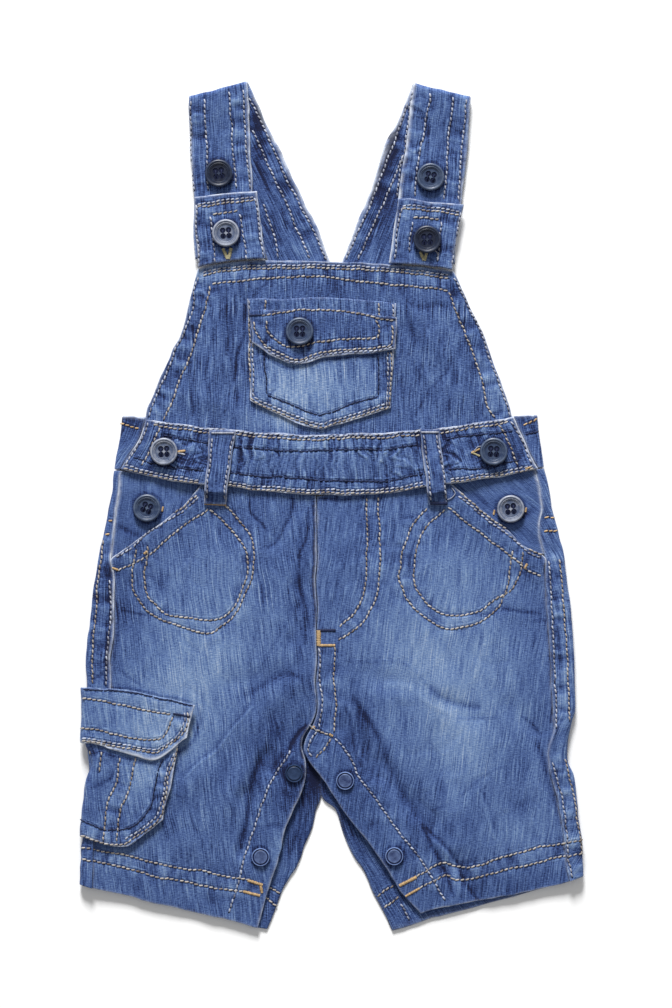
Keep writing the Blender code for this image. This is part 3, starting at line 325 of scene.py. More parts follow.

# Broad washes that lighten (+) or darken (-) the denim: worn fades, painted shade at the crotch,
# the inseams, the fly, in folds and in corners, and painted light that lifts some of the
# garment's own shadows. x, y, reach in x, reach in y, amount.
WASH_AND_SHADE = {
    "front_legs": [
        (-74, -84, 30, 38, 0.36),       # worn thighs
        (-46, -58, 18, 22, 0.14),
        (56, -82, 38, 44, 0.30),
        (66, -130, 16, 32, 0.28),
        (88, -92, 20, 40, 0.12),
        (-96, -106, 22, 20, 0.20),
        (-62, -34, 24, 14, 0.12),       # round pockets
        (68, -36, 30, 18, 0.17),
        (22, -70, 10, 30, 0.04),
        # Painted shade beside the fly, and further down at the crotch, the inseams and the left side seam.
        (-18, -60, 6, 34, -0.08),       # beside the fly
        (-18, -16, 5, 14, -0.10),
        (-36, -122, 14, 24, -0.10),     # shade at the crotch and the inseams
        (12, -128, 12, 18, -0.12),
        (48, -168, 12, 14, -0.06),
        (-118, -60, 14, 34, -0.06),
        (-72, -96, 14, 14, 0.08),
        (46, -84, 14, 18, 0.12),
        (29, -126, 10, 12, 0.10),
        (107, -116, 9, 12, 0.10),
        (-115, -196, 24, 10, 0.08),
        (-24, -190, 8, 12, 0.10),
        (-20, -150, 14, 26, -0.12),
        (-26, -192, 8, 12, 0.3),
        (-74, -128, 8, 14, 0.14),
        (16, -150, 12, 24, -0.12),
        (108, -180, 28, 16, 0.17),
        (16, -28, 7, 12, -0.10),
        (82, -134, 11, 22, 0.13),
        (-94, -186, 26, 8, 0.06),
        (100, -208, 22, 8, -0.10),
        (-24, -152, 7, 12, -0.12),
        (-37, -153, 6, 12, -0.14),
        (-80, -126, 12, 16, 0.16),
        (116, -148, 10, 14, 0.14),
        (55, -174, 8, 8, -0.18),
        (-112, -54, 10, 8, -0.13),
    ],
    "back_legs": [
        # Painted shade on the inside of the back between the legs, and a painted shadow in the gap under
        # the crotch.
        (-14, -162, 11, 26, -0.24),     # inside of the back, seen between the legs
        (8, -160, 10, 26, -0.24),
        (-27, -198, 8, 14, 0.06),
        (-9.5, -148, 3.2, 9, -0.55),       # dark gap under the crotch
        (-10, -141, 5, 8, -0.4),
        (128, -70, 6, 60, 0.26),
        (131, -190, 6, 24, 0.2),
        (122, 6, 8, 24, 0.16),
        (129, -150, 7, 16, 0.14),
        (130, -28, 6, 10, -0.18),
        (-129, -68, 6, 9, 0.18),
    ],
    "back": [
        (-58, -40, 30, 40, 0.22),       # worn seat and the backs of the thighs
        (50, -42, 30, 40, 0.20),
        (-74, -128, 26, 34, 0.14),
        (70, -126, 26, 34, 0.14),
        (-6, -100, 14, 40, -0.10),
    ],
    "bib": [
        # Painted light along the bib's top beside the tabs, against the tabs' shadows.
        (-64, 130, 10, 8, 0.24),
        (56, 130, 14, 8, 0.20),
        (-52, 80, 10, 22, -0.05),
        (-10, 122, 50, 6, -0.04),
        (-57, 108, 8, 8, -0.10),
        (64, 96, 14, 22, 0.03),
        (-36, 50, 14, 7, 0.12),
        (80, 62, 7, 14, -0.08),
        (-26, 50, 9, 6, 0.18),
        (-12, 52, 26, 9, 0.13),
        (-50, 131, 13, 6, 0.18),
        (44, 131, 14, 6, 0.15),
        (-24, 46, 9, 6, 0.25),
        (2, 117, 8, 8, -0.12),
    ],
    "bib_pocket": [(-8, 68, 30, 20, 0.42), (-26, 63, 12, 8, 0.2),
                   (-24, 80, 8, 10, 0.2), (-24, 51, 9, 6, 0.25)],
    "front_waistband": [(-12, 36, 32, 7, 0.22), (-95, 26, 12, 8, -0.06),
                        (-62, 32, 18, 14, -0.10), (66, 34, 28, 11, -0.20),
                        (-37, 38, 9, 7, -0.16), (29, 38, 9, 8, -0.28),
                        (-112, 36, 6, 8, -0.12), (-100, 37, 18, 8, -0.14)],
    # Painted shade in the straps' folds, beside the edge of the front part.
    "strap_left": [(-58, 184, 14, 9, -0.10), (-40.5, 214, 3, 16, -0.36),
                   (-38, 192, 5, 10, -0.16),
                   (-28, 184, 14, 30, -0.14), (-32, 150, 8, 14, -0.16)],
    "strap_right": [(35, 208, 3.5, 18, -0.30), (30, 190, 5, 18, -0.12),
                    (28, 168, 8, 24, -0.34), (30, 184, 6, 14, -0.2),
                    (56, 183, 9, 9, -0.14)],
    "cargo_pocket_flap": [(-98, -116, 24, 18, 0.20), (-90, -122, 10, 9, 0.14)],
    "cargo_pocket": [(-106, -144, 16, 18, 0.18), (-94, -142, 12, 9, 0.22),
                     (-103, -152, 12, 12, 0.12)],
    # Painted shade in the back waistband's corners.
    "back_waistband": [(-110, 50, 7, 4, -0.30), (104, 51, 6, 4, -0.16),
                       (-116, 40, 6, 8, -0.2)],
}
# Below this height on the garment a piece's edges aren't worn light.
UNWORN_BELOW = {"back_leg_left": -176}
# How strongly the uneven threads of a piece show, where that isn't 1.
GRAIN = {"bib": 1.2, "bib_pocket": 1.25, "bib_pocket_flap": 1.2, "front_waistband": 1.15,
         "front_leg_right": 0.92, "hip_facing_left": 0.75, "hip_facing_right": 0.7,
         "strap_tab_left": 1.1, "strap_tab_right": 1.1}
# Uneven threads of the denim: width and length of a cell (mm), shift, detail, roughness, weight.
DENIM_THREADS = [
    (0.9, 30.0, 0.0, 3.0, 0.7, 0.52),       # streaks
    (0.44, 17.0, 11.0, 2.0, 0.5, 1.5),      # warp
    (2.4, 0.46, 23.0, 2.0, 0.5, 1.0),       # weft
    (6.0, 9.0, 37.0, 4.0, 0.5, 0.25),       # cloud
    (0.5, 0.6, 51.0, 1.0, 0.5, 0.6),        # speckle, which also breaks up the wear
]
SLUB = (0.6, 30.0, 67.0, 1.0, 0.5)          # thick threads, without a weight
# Where each piece starts on the ramp from dark to light denim, and how light its edges are
# worn: top, right, bottom, left.
CLOTH_LOOKS = {
    "bib": (0.43, (0.55, 0.65, 0.2, 0.65)),
    "bib_pocket": (0.42, (0.1, 0.9, 1.2, 0.9)),
    "bib_pocket_flap": (0.40, (0.1, 0.7, 0.95, 0.7)),
    "front_waistband": (0.46, (0.9, 1.2, 1, 0.9)),
    "back_waistband": (0.46, (0.9, 0.5, 0.3, 0.5)),
    "back_bib": (0.40, (0.3, 0.3, 0.3, 0.3)),
    "strap_left": (0.46, (0.4, 1.2, 0.4, 0.6)),
    "strap_right": (0.47, (0.4, 0.6, 0.4, 1.4)),
    "strap_tab_left": (0.45, (0.8, 1.2, 0.2, 0.7)),
    "strap_tab_right": (0.45, (0.8, 0.7, 0.2, 1.1)),
    "belt_loop_left": (0.42, (0.3, 0.6, 0.3, 0.6)),
    "belt_loop_right": (0.40, (0.3, 0.6, 0.3, 0.6)),
    "front_leg_left": (0.46, (0.3, 0.6, 0.8, 0.9)),
    "front_leg_right": (0.46, (0.3, 0.9, 0.8, 0.3)),
    "back_leg_left": (0.42, (0.4, 0.12, 0.4, 1.2)),
    "back_leg_right": (0.42, (0.4, 0.3, 0.7, 0.12)),
    "hip_facing_left": (0.47, (0.3, 0.3, 0.3, 1.4)),
    "hip_facing_right": (0.47, (0.3, 1.5, 0.3, 0.3)),
    "cargo_pocket": (0.46, (0.2, 1.3, 0.9, 0.3)),
    "cargo_pocket_flap": (0.62, (0.1, 1.8, 1.6, 0.3)),
}
# Tones and their colours from dark to light (sRGB, 0 to 255), as they look under the studio's
# light.
DENIM_RAMP = [
    (0, (11, 21, 58)),
    (0.12, (27, 44, 92)),
    (0.27, (48, 70, 123)),
    (0.42, (66, 91, 145)),
    (0.56, (83, 108, 163)),
    (0.72, (102, 130, 179)),
    (0.87, (119, 146, 190)),
    (1.02, (138, 163, 200)),
    (1.4, (184, 200, 224)),
]
WORN_EDGE = (206, 214, 230)
# thread: dark and light colour, mixed at random along a row; the dark one is also painted shade at
# the ends of each stitch
THREADS = {
    "cream": ((62, 62, 84), (200, 206, 222)),
    "tan": ((96, 80, 66), (198, 192, 184)),
    "gold": ((120, 94, 62), (228, 194, 144)),
    "khaki": ((104, 98, 78), (206, 198, 158)),
    "navy": ((14, 20, 48), (36, 50, 94)),
}
# Painted shade of a needle hole: a dark disc between two stitches.
NEEDLE_HOLE_SHADE = (22, 28, 54)
# Button plastics: the base colour, and the lighter colour of worn spots and painted highlights; the studs'
# paints likewise.
BUTTON_PLASTICS = {
    "dark": ((20, 28, 50), (64, 78, 106)),
    "slate": ((44, 60, 92), (112, 128, 152)),
    "grey": ((78, 92, 122), (214, 218, 228)),
}
STUD_PAINT = {"plain": ((26, 44, 76), (62, 88, 132)), "ringed": ((18, 32, 82), (136, 162, 214))}
STRIP_LAP = 1.3         # how far the strip of a back leg laps over the front at the side seam
LAP_RISE = 0.7          # how much it rises there

STITCH_ROWS = {
    "strap_left": [
        ("cream", 0, [(-77.5, 224.5), (-77.5, 197), (-76, 174.5)]),
        ("cream", 0, [(-70.5, 225.5), (-69.5, 202.5), (-68.5, 175)]),
        ("cream", 0, [(-56.5, 229), (-54.5, 202.5), (-52.5, 176)]),
        ("cream", 0, [(-49, 230), (-48, 210.5), (-46.5, 191.5), (-45, 176)]),
        ("cream", 0, [(-46, 226.5), (-34, 202), (-20, 172.5), (-2.5, 137)]),
        ("cream", 0, [(-43.5, 208), (-38, 196), (-31, 181.5), (-23, 163), (-12.5, 137.5)]),
        ("cream", 0, [(-37.5, 168), (-34, 157.5), (-30.5, 147.5), (-28.5, 138)]),
    ],
    "strap_right": [
        ("cream", 0, [(45, 230), (41, 202.5), (37.5, 180.5), (36.5, 171)]),
        ("cream", 0, [(54, 229), (51, 208), (47.5, 186), (46, 171)]),
        ("cream", 0, [(67.5, 226), (65, 208), (63.5, 188.5), (62, 170)]),
        ("cream", 0, [(74.5, 225), (73, 208), (71, 188.5), (69.5, 169.5)]),
        ("cream", 0, [(42.5, 223.5), (36, 205), (28, 183.5), (18, 158.5), (8.5, 137.5)]),
        ("cream", 0, [(39.5, 193.5), (34.5, 180.5), (26.5, 163), (19.5, 147.5), (15, 137.5)]),
    ],
    "strap_tab_left": [
        ("cream tan", -1.6, [(-74.5, 167), (-61.5, 168.5), (-50.5, 170), (-42.5, 171)]),
        ("cream", 0, [(-74.5, 166.5), (-74, 153), (-72.5, 135)]),
        ("cream", 0, [(-42, 171), (-40.5, 161), (-39.5, 150), (-38, 138)]),
        ("tan", 0, [(-65.5, 161), (-58, 162), (-51.5, 163.5)]),
        ("cream", 0, [(-66.5, 160), (-65, 147.5), (-64, 135)]),
        ("cream", 0, [(-50.5, 162), (-48.5, 150), (-47, 136.5)]),
    ],
    "strap_tab_right": [
        ("cream tan", -1.6, [(39, 166), (54, 165.5), (70.5, 163)]),
        ("cream", 0, [(71, 163), (70, 152), (68, 141), (66.5, 134)]),
        ("cream", 0, [(39, 165), (36.5, 152), (35, 137.5)]),
        ("tan", 0, [(45.5, 159.5), (51.5, 160), (60, 158.5)]),
        ("cream", 0, [(45, 157.5), (43.5, 147.5), (43, 141)]),
        ("cream", 0, [(61, 157.5), (59.5, 147.5), (58, 135.5)]),
    ],
    "bib": [
        ("cream tan", -1.6, [(-70.5, 130), (-56, 132.5), (-39.5, 133.2), (-17.5, 133.5), (-1, 133.5),
            (15.5, 133.2), (37.5, 131.8), (54, 130), (65, 128)]),
        ("tan", 0, [(-65.5, 123.5), (-50.5, 125), (-34, 126), (-17.5, 127), (-1, 126.5), (15.5, 125),
            (37.5, 123), (54, 121.5), (64, 119.5)]),
        ("cream", 0, [(-72.5, 128), (-75.5, 120), (-76, 111), (-81.5, 97), (-87.5, 84), (-91.5, 72),
            (-97, 60), (-101, 50)]),
        ("tan", 0, [(-66.5, 122.5), (-69.5, 111), (-72.5, 99.5), (-78, 84), (-84, 68), (-87.5, 58.5),
            (-92.5, 48)]),
        ("cream", 0, [(67.5, 127), (73.5, 114.5), (83, 94), (89, 77.5), (95, 60.5), (98, 50.5)]),
        ("tan", 0, [(64.5, 119), (71, 101), (78, 86), (82, 72.5), (86, 57), (90, 49.5)]),
    ],
    "bib_pocket": [
        ("tan cream", 1.8, [(-45, 104.5), (-44.5, 87), (-44.5, 71.5), (-43.5, 60), (-28.5, 52.5),
            (-17.5, 48), (-6.5, 44.5), (4.5, 47.5), (15.5, 50.5), (26.5, 54.5), (31.5, 56.5),
            (32.5, 70.5), (32.5, 86)]),
        ("navy", 0, [(-36.5, 89.5), (-36, 76), (-35.5, 64.5), (-35, 62.8), (-33.5, 62), (-23, 57.5),
            (-8, 51.6), (-6.5, 51), (-5, 51.5), (4.5, 55), (15.5, 58.5), (23.5, 60.5), (25, 61.2),
            (25.3, 62.5), (25.5, 70.5), (25.5, 83.5)]),
        ("cream", 0, [(-45, 114.5), (-45, 106)]),
        ("tan", 0, [(-36, 114.5), (-36, 107.5)]),
        ("tan", 0, [(26.5, 113), (26.5, 105)]),
        ("cream", 0, [(34, 113), (34.5, 104.5)]),
    ],
    "bib_pocket_flap": [
        ("tan", 0, [(-38, 106), (-28.5, 107.5), (-17.5, 108.5), (-6.5, 108.5), (4.5, 108),
            (15.5, 106.5), (25.5, 104.5), (34.5, 103.5)]),
        ("tan", 0, [(-42.5, 102.5), (-41, 96.5), (-38, 91.5), (-31, 86.5), (-23, 83), (-18, 82),
            (-9, 84.5), (4.5, 86.5), (15.5, 87.5), (26.5, 88.5), (32.5, 90), (33, 101)]),
        ("cream", 0, [(-37, 89), (-30.5, 84.5), (-23, 81), (-17.5, 80.5), (-9, 83), (4.5, 85),
            (15.5, 86), (26.5, 86.5), (33.5, 88.5)]),
        ("tan", 0, [(-35.5, 103.5), (-35, 97.5), (-30.5, 93), (-24, 88.5), (-18, 89), (-9, 91),
            (4.5, 92), (15.5, 93), (25, 94), (26, 100), (24, 103.5)]),
    ],
    "front_waistband": [
        ("cream tan", -1.6, [(-98, 47), (-83.5, 45), (-69.5, 43.8), (-50.5, 42), (-39.5, 41),
            (-28.5, 40), (-6.5, 39.4), (15.5, 40), (32, 41), (48.5, 42), (65, 43.5), (81.5, 46),
            (97, 48.6)]),
        ("navy", 0, [(-92.5, 39.5), (-83.5, 38.5), (-68, 36)]),
        ("navy", 0, [(-56, 34), (-47.5, 33), (-28.5, 32), (-1, 31.5), (15.5, 32), (31.5, 32.5),
            (47.5, 35)]),
        ("navy", 0, [(63, 37.5), (73, 39), (84, 40.5), (99.5, 42)]),
        ("navy", 0, [(-109.5, 27.5), (-100, 25), (-89, 22.5), (-70.5, 20.5)]),
        ("navy", 0, [(-56.5, 19), (-45, 18), (-30.5, 17), (-1, 15), (15.5, 15), (31.5, 15.5),
            (51, 19)]),
        ("navy", 0, [(63.5, 21), (76, 21.5), (87.5, 23), (103, 26)]),
        ("cream tan", -1.6, [(-114, 23), (-105.5, 21), (-94.5, 18.5), (-72.5, 15.5)]),
        ("cream tan", -1.6, [(-57, 14), (-39, 12), (-14.5, 10), (-1, 9.8), (23.5, 10), (35.5, 11.6),
            (51, 14)]),
        ("cream tan", -1.6, [(65, 15.5), (80, 17.6), (96, 20.4), (111.5, 23.5)]),
        ("cream", 0, [(-101, 47), (-104.5, 38.5), (-110, 29), (-113.5, 23.5)]),
        ("tan", 0, [(-94.5, 44), (-97, 39), (-101.5, 29), (-104.5, 23.5)]),
        ("cream", 0, [(98.5, 47.5), (103.5, 39.5), (107.5, 31), (110.5, 25)]),
        ("tan", 0, [(91.5, 46), (95.5, 39.5), (100, 29), (102.5, 23.5)]),
    ],
    "belt_loop_left": [
        ("cream", 0, [(-65, 39), (-67, 23.5), (-68.5, 4.5)]),
        ("cream", 0, [(-54, 40), (-56.5, 23.5), (-59, 4.5)]),
    ],
    "belt_loop_right": [
        ("cream", 0, [(51, 40.5), (53, 23.5), (55.5, 4)]),
        ("cream", 0, [(58, 40.5), (61, 23.5), (63.5, 4.5)]),
    ],
    "front_leg_left": [
        ("cream tan", -1.8, [(-72.5, 5.5), (-83.5, -2.5), (-94.5, -9), (-100, -12.5), (-105.5, -17.5),
            (-111, -22.5), (-118.5, -27)]),
        ("tan", 0, [(-67.5, -1.5), (-78, -7.5), (-89, -16), (-100, -25), (-108, -30.5),
            (-117.5, -34.5)]),
        ("tan", 0, [(-58.5, 1), (-51, -6.5), (-44.5, -15), (-42, -25.5), (-42.5, -32), (-43.5, -40),
            (-49, -51.5), (-54, -59.5), (-61, -66), (-68.5, -69.5), (-81, -66.5), (-94, -60.5),
            (-103, -55), (-108.5, -46), (-109.5, -38.5), (-108.5, -31), (-107, -22.5)]),
        ("tan", 0, [(-67, -1.5), (-56.5, -10), (-50, -18), (-46, -27), (-46.5, -39.5), (-52.5, -53),
            (-58.5, -59.5), (-64.5, -61.5), (-76, -60.5), (-89.5, -58.5), (-96, -53.5), (-101, -47.5),
            (-102.5, -38.5), (-102, -30.5), (-101, -20.5)]),
        ("cream", 0, [(-22.5, -133), (-28.5, -143.5), (-34.5, -153.5), (-39.5, -166), (-44.5, -183),
            (-48.5, -196.5), (-53, -210), (-57.5, -223)]),
        ("tan", 0, [(-138, -186.5), (-115, -191), (-90.5, -196.5), (-70.5, -200), (-51, -204),
            (-45, -205)]),
        ("tan", 0, [(-138, -193), (-115, -198), (-90.5, -204), (-70.5, -208), (-51, -211),
            (-46.5, -212.5)]),
    ],
    "front_leg_right": [
        ("cream tan", 1.8, [(70, 6.5), (79, -0.5), (87.5, -7.5), (100, -17), (109, -25), (115, -28)]),
        ("tan", 0, [(64.5, 0), (76, -9), (92.5, -21.5), (101, -27.5), (107.5, -34), (115, -37.5)]),
        ("tan", 0, [(53, 0), (44.5, -10), (39, -23.5), (37.5, -37.5), (39.5, -45.5), (44.5, -54),
            (53, -61.5), (61.5, -66.5), (68.5, -67), (76, -65), (84, -61.5), (91.5, -55.5), (96.5, -46),
            (98.5, -34.5), (100, -23)]),
        ("tan", 0, [(63, -0.5), (51.5, -11.5), (46, -25.5), (45.5, -39), (49, -49), (56.5, -56),
            (63.5, -59.5), (73, -59.5), (81.5, -56.5), (90.5, -50.5), (94, -49), (100, -45), (104, -35),
            (106, -24)]),
        ("tan", 0, [(26, 6), (26.5, -12), (26.5, -28.5), (25.5, -44), (23, -54), (18.5, -61),
            (11.5, -68), (3.5, -72.5)]),
        ("tan", 0, [(19.5, 6), (19.5, -12), (19.5, -28.5), (18, -44), (16, -51.5), (11.5, -59),
            (4.5, -65.5)]),
        ("cream", 0, [(-7, -77), (-6.5, -92), (-5, -105.5), (-7, -120.5)]),
        ("tan", 0, [(1.5, -76.5), (1.5, -95), (3, -109.5), (1, -123)]),
        ("tan", 0, [(-13.5, -119), (-7.5, -122), (0.5, -125.5)]),
        ("cream", 0, [(-8, -122.5), (-11.5, -128), (-13, -133.5), (-11.5, -137.5)]),
        ("tan", 0, [(-0.5, -126), (-4, -132), (-9, -138)]),
        ("cream", 0, [(1.5, -126), (8.5, -135.5), (15, -147.5), (24, -159.5), (30.5, -168), (38, -180),
            (43.5, -186.5), (52.5, -199.5), (57.5, -207.5), (62.5, -216)]),
        ("tan", 0, [(46.5, -203), (53, -199.5), (58.5, -196), (63.5, -196), (69.5, -198), (76, -198),
            (94, -192), (109.5, -188), (126, -184.5), (136.5, -182.5)]),
        ("tan", 0, [(48.5, -209), (56.5, -205.5), (63, -202.5), (67.5, -204.5), (74, -205),
            (81.5, -203), (94, -199.5), (109.5, -196), (126, -192), (138, -190)]),
    ],
    "back_leg_left": [
        ("tan", 0, [(-35, -209.5), (-28, -213)]),
        ("tan", 0, [(-37, -215), (-30.5, -220)]),
        ("tan", 0, [(-125.5, -17.5), (-128, -37), (-130, -61.5), (-131, -81), (-131.5, -96.5)]),
        ("cream", 0, [(-121.5, -39.5), (-121.5, -56), (-122.5, -72.5), (-123.5, -86), (-124.5, -97.5)]),
        ("tan", 0, [(-138, -186.5), (-129.5, -188)]),
        ("tan", 0, [(-138, -193), (-129.5, -194.7)]),
        ("gold", 0, [(-125.5, -14.5), (-121.5, -15)]),
        ("gold", 0, [(-124, -7), (-120, -7.5)]),
    ],
    "back_leg_right": [
        ("tan", 0, [(25.5, -214), (30, -211), (35, -208)]),
        ("tan", 0, [(28.5, -220), (32.5, -217.5), (37.5, -214)]),
        ("cream", 0, [(38, -217.5), (40.5, -223), (42, -227)]),
        ("cream", 0, [(119.5, -29.5), (120.5, -50.5), (121.5, -71), (122.5, -90), (124, -109.5),
            (123.5, -121)]),
        ("tan", 0, [(125, -28.5), (127, -45), (127.5, -61.5), (129.5, -83.5), (130.5, -105.5),
            (131, -117.5)]),
        ("cream", 0, [(122, -139.5), (125, -152.5), (127.5, -163.5), (129, -180), (130.5, -193.5),
            (132.5, -203)]),
        ("tan", 0, [(129, -137.5), (131, -149.5), (134, -162), (136, -177), (138, -191)]),
        ("tan", 0, [(126.5, -184), (138, -182.2)]),
        ("tan", 0, [(126.5, -192), (138.5, -189.8)]),
        ("gold", 0, [(117, -5.5), (120, -5), (123, -5.5)]),
        ("gold", 0, [(117, -13), (120, -12.5), (124, -12.5)]),
    ],
    "back_waistband": [
        ("gold", 0, [(105.5, 46), (109, 47.5), (113, 49.5)]),
        ("navy", 0, [(106.5, 40.5), (110.5, 42), (114, 43)]),
        ("gold", 0, [(-116.5, 47), (-112, 45), (-106.5, 43.5)]),
    ],
    "cargo_pocket_flap": [
        ("tan", 0, [(-137, -104), (-124.5, -106.5), (-111, -109), (-94.5, -112), (-87.5, -113)]),
        ("tan", 0, [(-138, -120.5), (-127.5, -122.5), (-111, -126.5), (-100, -126.5), (-94.5, -126),
            (-91.5, -124), (-89, -120.5), (-86.5, -114.5)]),
        ("tan cream", 1.5, [(-137, -127.5), (-122, -130.5), (-105.5, -133), (-97, -134), (-93, -132.5),
            (-83.5, -126.5), (-79.5, -119), (-78.5, -112)]),
        ("navy", 0, [(-136, -98.9), (-119.5, -100.4), (-104, -102.4), (-90.5, -104.9), (-76.5, -108.4)]),
    ],
    "cargo_pocket": [
        ("tan", 0, [(-84.5, -132), (-87.5, -141), (-90, -148.5), (-91.5, -160.5), (-93, -170),
            (-101, -176.5), (-113, -184.5), (-117.5, -185), (-125, -183.5), (-138.5, -179.5)]),
        ("cream", 0, [(-86.5, -135), (-89.5, -142), (-91.5, -149.5), (-93, -160.5), (-95, -169),
            (-102, -175), (-113.5, -182.5)]),
        ("navy", 0, [(-92.5, -137.5), (-95.5, -144), (-97.5, -155), (-98.5, -163.5), (-102, -169),
            (-108, -174), (-113.5, -176.5), (-122, -176.5), (-130, -174.5), (-138.5, -171)]),
        ("tan", 0, [(-116, -137), (-117.5, -147), (-119.5, -154), (-122.5, -159), (-124, -167),
            (-125, -182.5)]),
        ("tan", 0, [(-107, -137), (-109.5, -147), (-113, -158), (-116.5, -166), (-118, -183.5)]),
        ("tan", 0, [(-133, -133), (-134.5, -147)]),
        ("tan", 0, [(-126, -134), (-128, -145)]),
    ],
}
